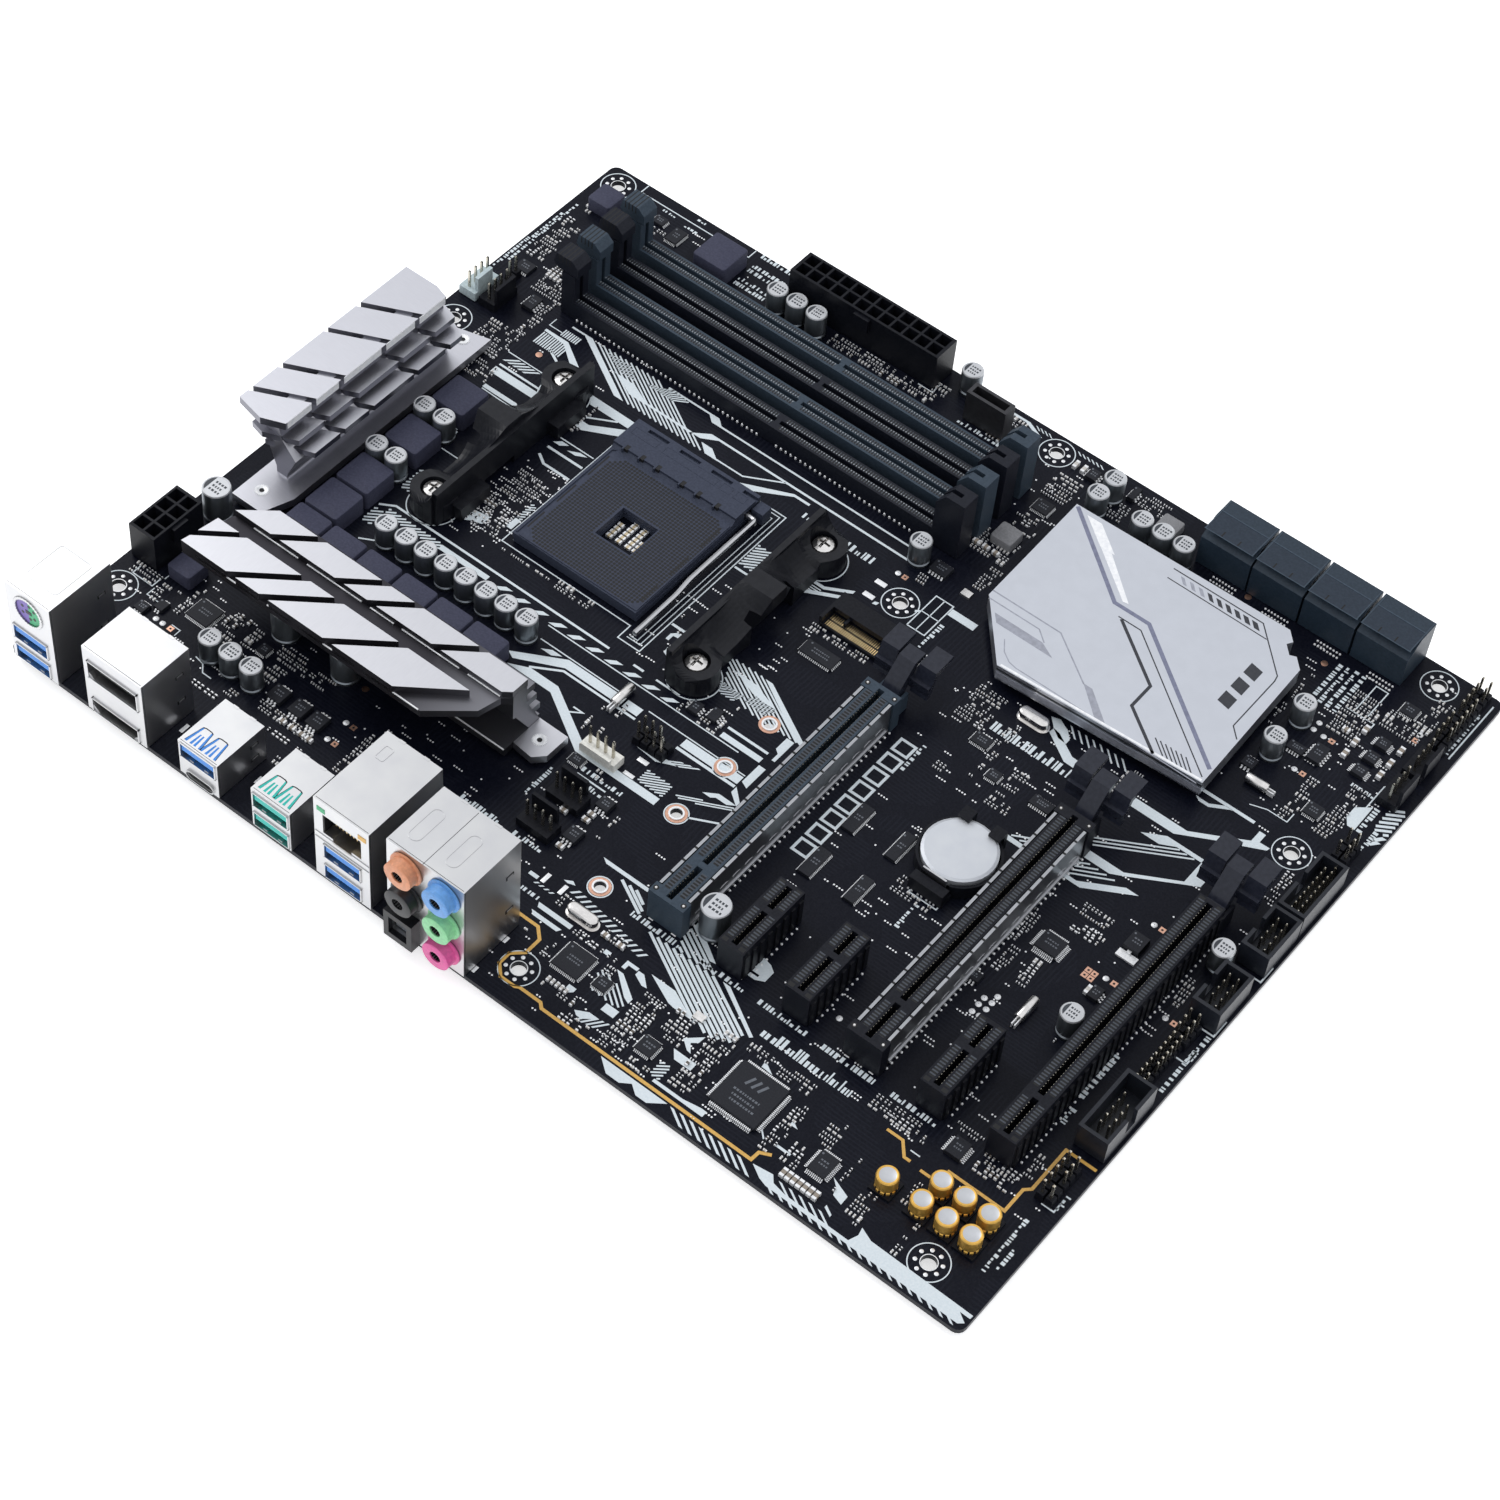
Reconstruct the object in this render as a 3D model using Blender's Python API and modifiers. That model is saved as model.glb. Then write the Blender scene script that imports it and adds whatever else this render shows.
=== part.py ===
"""ATX desktop motherboard, built as an assembly of separate pieces.

Lengths are written in millimetres and turned into Blender's metres by the shape helpers.
+X runs from the processor end to the far end, -Y is the rear edge with the input and output
sockets, +Z is up. The origin is the middle of the circuit board's underside.
"""
import math

import bmesh
import bpy
from mathutils import Matrix, Vector

MM = 0.001

# Driving dimensions: the ATX board outline and the standard grid of the parts on it.
BOARD_X = 304.8
BOARD_Y = 243.84
BOARD_THICKNESS = 1.6
BOARD_CORNER = 2.5
GAP = 0.3
SEAT = BOARD_THICKNESS + GAP
LEFT = -BOARD_X / 2
REAR = -BOARD_Y / 2

MOUNT_HOLE_RADIUS = 2.0
MOUNT_HOLES = [
    (-146.05, 115.57), (11.43, 115.57), (135.89, 115.57),
    (-146.05, 43.18), (11.43, 43.18), (135.89, 43.18),
    (-146.05, -88.9), (11.43, -111.76), (135.89, -111.76),
]
M2_HOLE_RADIUS = 1.6
M2_HOLE_X = 10.7
M2_HOLE_YS = (-12.2, -30.2, -50.2, -80.1)

SOCKET_CENTRE = (-58.4, 14.0)
COOLER_PITCH_X = 90.0
COOLER_PITCH_Y = 54.0
COOLER_HOLE_RADIUS = 3.0
POST_RADIUS = 2.7

SLOT_PITCH = 20.32
FIRST_SLOT_X = 30.3
SLOT_FRONT_Y = -79.4
X16_BACK_Y = 9.5
X1_BACK_Y = -54.9
SLOT_TOP = 12.85

DIMM_FIRST_Y = 68.3
DIMM_PITCH = 9.6
DIMM_X = (-125.4, 13.6)
LATCH_PIVOT = (-124.0, 4.6)

PIN_PITCH_POWER = 4.2

MATERIALS = {
    "board_black": ((0.012, 0.013, 0.018), 0.45, 0.0),
    "steel": ((0.62, 0.62, 0.62), 0.3, 1.0),
    "dark_steel": ((0.08, 0.08, 0.09), 0.45, 0.8),
    "aluminium": ((0.78, 0.78, 0.80), 0.35, 1.0),
    "plastic_black": ((0.015, 0.015, 0.017), 0.5, 0.0),
    "plastic_slate": ((0.09, 0.12, 0.16), 0.5, 0.0),
    "plastic_smoke": ((0.05, 0.06, 0.10), 0.3, 0.0),
    "plastic_white": ((0.80, 0.79, 0.76), 0.5, 0.0),
    "socket_plastic": ((0.05, 0.055, 0.075), 0.5, 0.0),
    "pad_grey": ((0.35, 0.35, 0.36), 0.8, 0.0),
    "chip_black": ((0.02, 0.02, 0.022), 0.6, 0.0),
}


def remove_everything():
    for old in list(bpy.data.objects):
        bpy.data.objects.remove(old, do_unlink=True)


def new_collection(name):
    collection = bpy.data.collections.new(name)
    bpy.context.scene.collection.children.link(collection)
    return collection


def new_material(name, colour, roughness, metallic):
    material = bpy.data.materials.new(name)
    material.use_nodes = True
    shader = material.node_tree.nodes["Principled BSDF"]
    shader.inputs["Base Color"].default_value = (*colour, 1.0)
    shader.inputs["Roughness"].default_value = roughness
    shader.inputs["Metallic"].default_value = metallic
    return material


remove_everything()
PARTS = new_collection("motherboard")
CUTTERS = new_collection("cutters")


# Shape helpers: each makes one mesh object in the cutters collection. add_node moves the
# finished piece to the parts collection.

def object_from_bmesh(name, shape):
    mesh = bpy.data.meshes.new(name)
    shape.to_mesh(mesh)
    shape.free()
    made = bpy.data.objects.new(name, mesh)
    CUTTERS.objects.link(made)
    made.hide_render = True
    made.display_type = 'WIRE'
    return made


def boxes(name, spans):
    """One object holding a box for each ((x0, x1), (y0, y1), (z0, z1)) in spans."""
    shape = bmesh.new()
    for span in spans:
        size = Vector([(high - low) * MM for low, high in span])
        centre = Vector([(high + low) / 2 * MM for low, high in span])
        made = bmesh.ops.create_cube(shape, size=1.0)
        bmesh.ops.scale(shape, vec=size, verts=made["verts"])
        bmesh.ops.translate(shape, vec=centre, verts=made["verts"])
    return object_from_bmesh(name, shape)


def box(name, xs, ys, zs):
    return boxes(name, [(xs, ys, zs)])


TURN_TO_AXIS = {
    "Y": Matrix.Rotation(-math.pi / 2, 3, 'X'),
    "Z": Matrix.Identity(3),
}


def cylinders(name, centres, radius, length, axis="Z", segments=20):
    """Equal cylinders whose middles are at centres, all along one axis."""
    shape = bmesh.new()
    for centre in centres:
        made = bmesh.ops.create_cone(
            shape, cap_ends=True, segments=segments,
            radius1=radius * MM, radius2=radius * MM, depth=length * MM)
        bmesh.ops.rotate(shape, matrix=TURN_TO_AXIS[axis], verts=made["verts"])
        bmesh.ops.translate(shape, vec=Vector(centre) * MM, verts=made["verts"])
    return object_from_bmesh(name, shape)


def upright(name, places, radius, zs, segments=20):
    """Equal upright cylinders at (x, y) places, from zs[0] to zs[1]."""
    middle = (zs[0] + zs[1]) / 2
    centres = [(x, y, middle) for x, y in places]
    return cylinders(name, centres, radius, zs[1] - zs[0], "Z", segments)


OUTLINE_PLANES = {
    "XY": Matrix.Identity(4),
    "YZ": Matrix(((0, 0, 1, 0), (1, 0, 0, 0), (0, 1, 0, 0), (0, 0, 0, 1))),
    "XZ": Matrix(((1, 0, 0, 0), (0, 0, -1, 0), (0, 1, 0, 0), (0, 0, 0, 1))),
}


def prism(name, outline, span, plane="XY"):
    """A flat outline in the named plane, thickened across span on the third axis."""
    curve = bpy.data.curves.new(name, 'CURVE')
    curve.dimensions = '2D'
    curve.fill_mode = 'BOTH'
    curve.extrude = (span[1] - span[0]) / 2 * MM
    spline = curve.splines.new('POLY')
    spline.points.add(len(outline) - 1)
    for point, (across, along) in zip(spline.points, outline):
        point.co = (across * MM, along * MM, 0.0, 1.0)
    spline.use_cyclic_u = True
    guide = bpy.data.objects.new(name + "_outline", curve)
    CUTTERS.objects.link(guide)
    evaluated = guide.evaluated_get(bpy.context.evaluated_depsgraph_get())
    mesh = bpy.data.meshes.new_from_object(evaluated)
    shape = bmesh.new()
    shape.from_mesh(mesh)
    bpy.data.objects.remove(guide, do_unlink=True)
    bpy.data.meshes.remove(mesh)
    bmesh.ops.remove_doubles(shape, verts=shape.verts, dist=0.00001)
    middle = (span[0] + span[1]) / 2 * MM
    if plane == "XZ":
        middle = -middle
    bmesh.ops.translate(shape, vec=(0, 0, middle), verts=shape.verts)
    bmesh.ops.transform(shape, matrix=OUTLINE_PLANES[plane], verts=shape.verts)
    bmesh.ops.recalc_face_normals(shape, faces=shape.faces)
    return object_from_bmesh(name, shape)


def combine(target, tool, operation):
    modifier = target.modifiers.new(tool.name, 'BOOLEAN')
    modifier.operation = operation
    modifier.solver = 'EXACT'
    modifier.object = tool
    return target


def join(target, *tools):
    for tool in tools:
        combine(target, tool, 'UNION')
    return target


def cut(target, *tools):
    for tool in tools:
        combine(target, tool, 'DIFFERENCE')
    return target


def bevel(target, width, segments=1):
    modifier = target.modifiers.new("bevel", 'BEVEL')
    modifier.width = width * MM
    modifier.segments = segments
    modifier.limit_method = 'ANGLE'
    return target


def add_node(made, material):
    """Move a finished piece into the parts collection and give it its own material."""
    CUTTERS.objects.unlink(made)
    PARTS.objects.link(made)
    made.hide_render = False
    made.display_type = 'TEXTURED'
    made.data.materials.clear()
    made.data.materials.append(new_material(made.name, *MATERIALS[material]))
    return made


def set_origin(made, point):
    """Put a moving piece's origin on its joint axis without moving the piece."""
    offset = Vector(point) * MM
    made.data.transform(Matrix.Translation(-offset))
    made.location = offset
    return made


def shade_round(made):
    made.data.shade_smooth()
    made.data.set_sharp_from_angle(angle=math.radians(35))
    return made


def mirrored_spans(inner, outer):
    """The two spans at plus and minus the same distances."""
    return [(-outer, -inner), (inner, outer)]


def on_board(outline):
    """Points measured from the processor-end and rear edges, moved to the board's frame."""
    return [(LEFT + across, REAR + along) for across, along in outline]


# Circuit board and processor socket.

def cooler_places():
    """The four cooler screw places around the processor socket."""
    x, y = SOCKET_CENTRE
    places = []
    for side in (-1, 1):
        for end in (-1, 1):
            places.append((x + side * COOLER_PITCH_X / 2, y + end * COOLER_PITCH_Y / 2))
    return places


def rounded_rectangle(half_x, half_y, radius, steps=4):
    outline = []
    corners = [(1, 1), (-1, 1), (-1, -1), (1, -1)]
    for quarter, (side, end) in enumerate(corners):
        for step in range(steps + 1):
            angle = math.pi / 2 * (quarter + step / steps)
            x = side * (half_x - radius) + radius * math.cos(angle)
            y = end * (half_y - radius) + radius * math.sin(angle)
            outline.append((x, y))
    return outline


def make_board():
    outline = rounded_rectangle(BOARD_X / 2, BOARD_Y / 2, BOARD_CORNER)
    board = prism("pcb", outline, (0, BOARD_THICKNESS))
    through = (-1, BOARD_THICKNESS + 1)
    m2_places = [(M2_HOLE_X, y) for y in M2_HOLE_YS]
    cut(board, upright("mount_holes", MOUNT_HOLES, MOUNT_HOLE_RADIUS, through, 24))
    cut(board, upright("cooler_holes", cooler_places(), COOLER_HOLE_RADIUS, through, 24))
    cut(board, upright("m2_holes", m2_places, M2_HOLE_RADIUS, through, 16))
    add_node(board, "board_black")


def make_cpu_backplate():
    x, y = SOCKET_CENTRE
    half_x = 52.5
    half_y = 34.0
    corner = 6.0
    outline = [
        (x - half_x + corner, y - half_y), (x + half_x - corner, y - half_y),
        (x + half_x, y - half_y + corner), (x + half_x, y + half_y - corner),
        (x + half_x - corner, y + half_y), (x - half_x + corner, y + half_y),
        (x - half_x, y + half_y - corner), (x - half_x, y - half_y + corner),
    ]
    plate = prism("cpu_backplate", outline, (-2.3, -GAP))
    posts = upright("backplate_posts", cooler_places(), POST_RADIUS, (-1.5, 1.3))
    pilots = upright("backplate_pilots", cooler_places(), 1.8, (-3, 2))
    window = box("backplate_window", (x - 14, x + 14), (y - 14, y + 14), (-3, 1))
    join(plate, posts)
    cut(plate, pilots, window)
    add_node(plate, "dark_steel")


SOCKET_WINDOW = ((-62.8, -50.8), (5.4, 17.4))
LEVER_Y = 38.1
LEVER_Z = 4.6


def make_socket_base():
    base = box("socket_base", (-79.2, -36.8), (-8.7, 43.6), (SEAT, 3.6))
    foot = box("socket_foot", (-40.0, -32.9), (39.7, 43.6), (SEAT, 3.6))
    stop = box("socket_stop", (-36.5, -32.9), (39.7, 43.6), (3.3, 6.0))
    window = box("base_window", *SOCKET_WINDOW, (1, 5))
    trough = box("cam_trough", (-72.0, -30.0), (LEVER_Y - 1.3, LEVER_Y + 1.3), (3.3, 4.0))
    join(base, foot, stop)
    cut(base, window, trough)
    add_node(base, "socket_plastic")


def make_socket_cover():
    cover = box("socket_cover", (-79.4, -36.9), (-9.0, 33.5), (3.9, 5.6))
    bar = box("cover_bar", (-79.4, -36.9), (33.0, 43.9), (3.9, 7.4))
    slope = prism("cover_bar_slope", [(31.5, 5.4), (34.0, 5.4), (34.0, 7.4)], (-79.3, -37.0), "YZ")
    window = box("cover_window", *SOCKET_WINDOW, (3, 7))
    tunnel = box("cam_tunnel", (-72.3, -30.0), (36.9, 40.5), (3.0, 5.9))
    slots = boxes("cover_slots", [
        ((-74.5 + 11.0 * index, -67.5 + 11.0 * index), (41.6, 42.8), (6.4, 8.0))
        for index in range(4)])
    join(cover, bar, slope)
    cut(cover, window, tunnel, slots)
    add_node(cover, "socket_plastic")
    set_origin(cover, (SOCKET_CENTRE[0], SOCKET_CENTRE[1], 3.9))


def fillet_path(corners, radius, steps=4):
    """A path through corners with each inner corner rounded by a short arc-like curve."""
    path = [Vector(corners[0])]
    for before, corner, after in zip(corners, corners[1:], corners[2:]):
        corner = Vector(corner)
        start = corner + (Vector(before) - corner).normalized() * radius
        end = corner + (Vector(after) - corner).normalized() * radius
        for step in range(steps + 1):
            t = step / steps
            path.append(start * (1 - t) ** 2 + corner * 2 * t * (1 - t) + end * t ** 2)
    path.append(Vector(corners[-1]))
    return path


def make_socket_lever():
    hinge = Vector((-70.0, LEVER_Y, LEVER_Z))
    corners = [
        hinge, (-34.0, LEVER_Y, LEVER_Z), (-34.0, 10.0, LEVER_Z),
        (-33.4, 4.0, 4.4), (-33.7, -13.2, 3.6),
    ]
    curve = bpy.data.curves.new("socket_lever", 'CURVE')
    curve.dimensions = '3D'
    curve.bevel_depth = 0.85 * MM
    curve.bevel_resolution = 2
    curve.use_fill_caps = True
    path = fillet_path(corners, 1.4)
    spline = curve.splines.new('POLY')
    spline.points.add(len(path) - 1)
    for point, place in zip(spline.points, path):
        point.co = (*((place - hinge) * MM), 1.0)
    lever = bpy.data.objects.new("socket_lever", curve)
    lever.location = hinge * MM
    PARTS.objects.link(lever)
    curve.materials.append(new_material("socket_lever", *MATERIALS["steel"]))


BRACKET_HALF = 32.5
FOOT_RADIUS = 6.6
WALL_OUT = (-5.8, -4.0)
WALL_TOP = 14.0
ARM_EDGE = 3.4
ARM_EDGE_TOP = 6.6
FOOT_TOP = 8.8
LUG_HALF = 3.2
LUG_FILLET = 12.0
LUG_REACH = 5.6
LUG_TOP = 16.4
RECESS_RADIUS = 3.8
SCREW_SEAT = 6.2
SCREW_BORE = 1.9
SADDLE_ROWS = 45
BLOCK_OUT = (-9.4, -5.0)
BLOCK_SPANS = ((-27, -15), (13, 25))
BLOCK_TOP = 6.4
WALL_NOTCH = (-13.0, -1.0)
WALL_NOTCH_TOP = 4.4
HOOK_GAP_OUT = (1.2, 7.5)
HOOK_GAP_HALF = 9.0
HOOK_GAP_TOP = 12.0
SADDLE_COLUMNS = 9


def lug_share(along):
    """1 on the clip lug in the middle of a bracket, falling to 0 past its fillet."""
    share = (abs(along) - LUG_HALF) / LUG_FILLET
    return (1 - min(max(share, 0.0), 1.0)) ** 2


def foot_width(along):
    """Half the width of the round foot at a distance along the bracket; 0 away from it."""
    past = abs(along) - COOLER_PITCH_Y / 2
    return math.sqrt(max(FOOT_RADIUS ** 2 - past ** 2, 0.0))


def saddle_edge(along):
    """How far the bracket's outer edge stands out from the line through its screws."""
    arm = ARM_EDGE + (LUG_REACH - ARM_EDGE) * lug_share(along)
    if abs(along) > COOLER_PITCH_Y / 2:
        return max(foot_width(along), WALL_OUT[1] + 0.6)
    return max(foot_width(along), arm)


def saddle_top(along, share):
    """Height of the curved upper face; share runs from 0 at the wall to 1 at the outer edge."""
    edge = ARM_EDGE_TOP + (LUG_TOP - ARM_EDGE_TOP) * lug_share(along)
    crest = WALL_TOP - 0.4 + (LUG_TOP - WALL_TOP + 0.4) * lug_share(along)
    drop = math.sin(share * math.pi / 2)
    height = crest + (edge - crest) * drop
    foot = min(foot_width(along) / FOOT_RADIUS * 1.5, 1.0)
    return height + (FOOT_TOP - height) * foot * min(share * 2.2, 1.0)


def grid_solid(name, tops, floor):
    """A closed solid under a grid of (x, y, z) points, standing on a flat floor."""
    shape = bmesh.new()
    upper = [[shape.verts.new(Vector(point) * MM) for point in row] for row in tops]
    lower = [[shape.verts.new(Vector((*point[:2], floor)) * MM) for point in row] for row in tops]
    last = len(tops) - 1
    for first, second, under, under_next in zip(upper, upper[1:], lower, lower[1:]):
        for index in range(len(first) - 1):
            shape.faces.new((first[index], first[index + 1], second[index + 1], second[index]))
            shape.faces.new((under[index], under_next[index], under_next[index + 1], under[index + 1]))
        shape.faces.new((first[0], second[0], under_next[0], under[0]))
        shape.faces.new((first[-1], under[-1], under_next[-1], second[-1]))
    for row in (0, last):
        for index in range(len(tops[0]) - 1):
            shape.faces.new((upper[row][index], upper[row][index + 1], lower[row][index + 1],
                             lower[row][index]))
    bmesh.ops.recalc_face_normals(shape, faces=shape.faces)
    return object_from_bmesh(name, shape)


def bracket_saddle(name, line_x, middle_y, side):
    """The curved arms, domed feet and clip lug of one bracket, as one solid."""
    reach = COOLER_PITCH_Y / 2 + FOOT_RADIUS - 0.2
    inner = WALL_OUT[1] - 0.6
    rows = []
    for row in range(SADDLE_ROWS):
        along = -reach + 2 * reach * row / (SADDLE_ROWS - 1)
        width = saddle_edge(along) - inner
        shares = [column / (SADDLE_COLUMNS - 1) for column in range(SADDLE_COLUMNS)]
        rows.append([(line_x + side * (inner + width * share), middle_y + along,
                      saddle_top(along, share)) for share in shares])
    return grid_solid(name, rows, SEAT)


def make_cooler_bracket(number, side):
    """One of the two black cooler brackets; side is the way it faces, away from the socket."""
    name = f"cooler_bracket_{number}"
    line_x = SOCKET_CENTRE[0] + side * COOLER_PITCH_X / 2
    middle_y = SOCKET_CENTRE[1]

    def across(low, high):
        return tuple(sorted((line_x + side * low, line_x + side * high)))

    def along(low, high):
        return (middle_y + low, middle_y + high)

    wall = box(name, across(*WALL_OUT), along(-BRACKET_HALF, BRACKET_HALF), (SEAT, WALL_TOP))
    saddle = bracket_saddle(name + "_saddle", line_x, middle_y, side)
    ends = [(middle_y - COOLER_PITCH_Y / 2), (middle_y + COOLER_PITCH_Y / 2)]
    places = [(line_x, y) for y in ends]
    feet = upright(name + "_feet", places, FOOT_RADIUS, (SEAT, FOOT_TOP - 1.4), 28)
    blocks = boxes(name + "_blocks", [
        (across(*BLOCK_OUT), along(*span), (SEAT, BLOCK_TOP)) for span in BLOCK_SPANS])
    gaps = boxes(name + "_gaps", [
        (across(WALL_OUT[0] - 0.7, WALL_OUT[1] + 0.1), along(*WALL_NOTCH), (1.0, WALL_NOTCH_TOP)),
        (across(*HOOK_GAP_OUT), along(-HOOK_GAP_HALF, HOOK_GAP_HALF), (1.0, HOOK_GAP_TOP))])
    recesses = upright(name + "_recesses", places, RECESS_RADIUS, (SCREW_SEAT, 16.0), 28)
    bores = upright(name + "_bores", places, SCREW_BORE, (1.0, 8.0))
    join(wall, saddle, feet, blocks)
    cut(wall, gaps, recesses, bores)
    shade_round(wall)
    add_node(wall, "plastic_black")


def turned(name, profile, place, steps=20):
    """A round solid from a profile of (radius, z), listed from the top to the bottom."""
    shape = bmesh.new()
    corners = [shape.verts.new((radius * MM, 0, z * MM)) for radius, z in profile]
    for first, second in zip(corners, corners[1:]):
        shape.edges.new((first, second))
    made = object_from_bmesh(name, shape)
    made.location = Vector((*place, 0)) * MM
    screw = made.modifiers.new("turn", 'SCREW')
    screw.steps = steps
    screw.render_steps = steps
    screw.use_merge_vertices = True
    screw.merge_threshold = 0.00001
    return made


def make_bracket_screws():
    head = SCREW_SEAT + GAP
    profile = [(0, head + 2.6), (1.8, head + 2.4), (2.9, head + 1.8), (3.4, head + 0.9), (3.4, head),
               (1.5, head), (1.5, -1.2), (1.1, -1.6), (0, -1.6)]
    for number, (x, y) in enumerate(cooler_places(), 1):
        screw = turned(f"bracket_screw_{number}", profile, (x, y), 16)
        cross = boxes(f"screw_cross_{number}", [
            ((x - 2.0, x + 2.0), (y - 0.4, y + 0.4), (head + 1.4, head + 3.0))])
        cross_other = boxes(f"screw_cross_other_{number}", [
            ((x - 0.4, x + 0.4), (y - 2.0, y + 2.0), (head + 1.4, head + 3.0))])
        cut(screw, cross, cross_other)
        add_node(screw, "steel")


# Memory slots.

def make_dimm_slot(number, colour):
    name = f"dimm_slot_{number}"
    y = DIMM_FIRST_Y + DIMM_PITCH * (number - 1)
    x_left, x_right = DIMM_X
    body = box(name, DIMM_X, (y - 3.0, y + 3.0), (SEAT, 8.0))
    tower_outline = [(4.6, 7.0), (x_right, 7.0), (x_right, 22.5), (7.6, 22.5), (4.6, 18.5)]
    fixed_tower = prism(name + "_fixed_tower", tower_outline, (y - 3.1, y + 3.1), "XZ")
    latch_tower = box(name + "_latch_tower", (x_left, -120.7), (y - 3.0, y + 3.0), (SEAT, 17.5))
    groove_z = (4.4, 30.0)
    groove = boxes(name + "_groove", [
        ((-122.8, -50.95), (y - 0.7, y + 0.7), groove_z),
        ((-49.45, 10.8), (y - 0.7, y + 0.7), groove_z)])
    cavity = box(name + "_cavity", (-130.0, -121.9), (y - 1.9, y + 1.9), (2.8, 30.0))
    join(body, fixed_tower, latch_tower)
    cut(body, groove, cavity)
    add_node(body, colour)


def make_dimm_latch(number, colour):
    name = f"dimm_latch_{number}"
    y = DIMM_FIRST_Y + DIMM_PITCH * (number - 1)
    arm = box(name, (-125.2, -122.3), (y - 1.6, y + 1.6), (3.6, 18.5))
    head_outline = [(-128.5, 19.5), (-127.0, 17.8), (-119.8, 17.8), (-119.8, 21.0),
                    (-122.0, 23.0), (-127.5, 23.0)]
    head = prism(name + "_head", head_outline, (y - 2.9, y + 2.9), "XZ")
    join(arm, head)
    add_node(arm, colour)
    set_origin(arm, (LATCH_PIVOT[0], y, LATCH_PIVOT[1]))


# Expansion slots. The position counts along the board from the processor.

CLIP_PIVOT = (13.0, 4.5)
KEY_RIB = (-66.0, -64.2)
SHIELD_Y = (-75.8, 5.9)
STRAP_YS = (-60.0, -10.0)


def slot_x(position):
    return FIRST_SLOT_X + SLOT_PITCH * position


def slot_body(name, position, back_y):
    x = slot_x(position)
    body = box(name, (x - 3.8, x + 3.8), (SLOT_FRONT_Y, back_y), (SEAT, SLOT_TOP))
    groove = boxes(name + "_groove", [
        ((x - 0.9, x + 0.9), (SLOT_FRONT_Y + 1.2, KEY_RIB[0]), (5.0, 20.0)),
        ((x - 0.9, x + 0.9), (KEY_RIB[1], back_y - 1.3), (5.0, 20.0))])
    return body, groove


def make_x16_slot(number, position, colour, shielded):
    name = f"pcie_x16_slot_{number}"
    x = slot_x(position)
    body, groove = slot_body(name, position, X16_BACK_Y)
    cheeks = [box(f"{name}_cheek_{index}", (x + low, x + high), (9.0, 15.5), (SEAT, 8.0))
              for index, (low, high) in enumerate(mirrored_spans(2.9, 3.8))]
    link = box(name + "_link", (x - 3.5, x + 3.5), (9.0, 15.5), (SEAT, 2.4))
    join(body, *cheeks, link)
    if shielded:
        end_spans = [(SLOT_FRONT_Y, SHIELD_Y[0] - GAP), (SHIELD_Y[1] + GAP, X16_BACK_Y)]
        caps = [box(f"{name}_cap_{index}", (x - 5.4, x + 5.4), span, (SEAT, SLOT_TOP + 0.15))
                for index, span in enumerate(end_spans)]
        reliefs = boxes(name + "_reliefs", [
            ((x - 5, x + 5), (y - 1.5, y + 1.5), (1.0, 2.7)) for y in STRAP_YS])
        join(body, *caps)
        cut(body, reliefs)
    cut(body, groove)
    add_node(body, colour)


def make_slot_shield(number, position):
    """Folded steel shroud: two side plates and two thin straps that pass under the slot."""
    name = f"slot_shield_{number}"
    x = slot_x(position)
    strap_z = (2.0, 2.4)
    plates = [box(name, (x - 4.9, x - 4.1), SHIELD_Y, (2.0, 12.9)),
              box(name + "_plate", (x + 4.1, x + 4.9), SHIELD_Y, (2.0, 12.9))]
    straps = [box(f"{name}_strap_{index}", (x - 4.5, x + 4.5), (y - 1.0, y + 1.0), strap_z)
              for index, y in enumerate(STRAP_YS)]
    join(plates[0], straps[0], straps[1], plates[1])
    add_node(plates[0], "steel")


def make_x16_clip(number, position):
    name = f"pcie_x16_clip_{number}"
    x = slot_x(position)
    stem_outline = [(10.2, 3.6), (15.0, 3.6), (15.5, 8.0), (20.0, 14.6), (23.0, 15.0),
                    (23.0, 16.4), (18.6, 16.2), (12.0, 9.5), (10.2, 9.5)]
    wing_outline = [(16.4, 8.0), (18.0, 8.0), (20.4, 14.6), (26.8, 15.2), (26.8, 16.6),
                    (19.4, 16.2)]
    stem = prism(name, stem_outline, (x - 2.6, x + 2.6), "YZ")
    wings = [prism(f"{name}_wing_{index}", wing_outline, (x + low, x + high), "YZ")
             for index, (low, high) in enumerate(mirrored_spans(3.3, 8.7))]
    bar = box(name + "_bar", (x - 8.6, x + 8.6), (16.8, 19.0), (9.0, 12.0))
    join(stem, bar, *wings)
    add_node(stem, "plastic_smoke")
    set_origin(stem, (x, *CLIP_PIVOT))


def make_x1_slot(number, position):
    body, groove = slot_body(f"pcie_x1_slot_{number}", position, X1_BACK_Y)
    cut(body, groove)
    add_node(body, "plastic_black")


# Coin cell and its holder.

CELL_CENTRE = (73.5, -15.5)
CELL_HINGE = (-8.0, 7.75)


def make_battery_holder():
    x, y = CELL_CENTRE
    holder = upright("battery_holder", [CELL_CENTRE], 11.2, (SEAT, 6.2), 36)
    well = upright("holder_well", [CELL_CENTRE], 10.4, (3.4, 7.0), 36)
    mouth = box("holder_mouth", (x - 4.2, x + 4.2), (y - 12, y - 6), (3.4, 7.0))
    hooks = []
    for index, (low, high) in enumerate(mirrored_spans(3.0, 6.5)):
        hooks.append(prism(f"hook_{index}", [
            (y + 9.9, SEAT + 0.4), (y + 11.3, SEAT + 0.4), (y + 11.3, 8.9), (y + 7.6, 8.9),
            (y + 7.6, 7.9), (y + 9.9, 7.9)], (x + low, x + high), "YZ"))
    block = box("holder_block", (x - 5.2, x + 5.2), (y - 14.5, y - 11.5), (SEAT, 6.5))
    foot = box("holder_foot", (x - 5.2, x + 5.2), (y - 12.0, y - 9.5), (SEAT, 3.2))
    cut(holder, well, mouth)
    join(holder, *hooks, foot, block)
    shade_round(holder)
    add_node(holder, "plastic_black")


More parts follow.
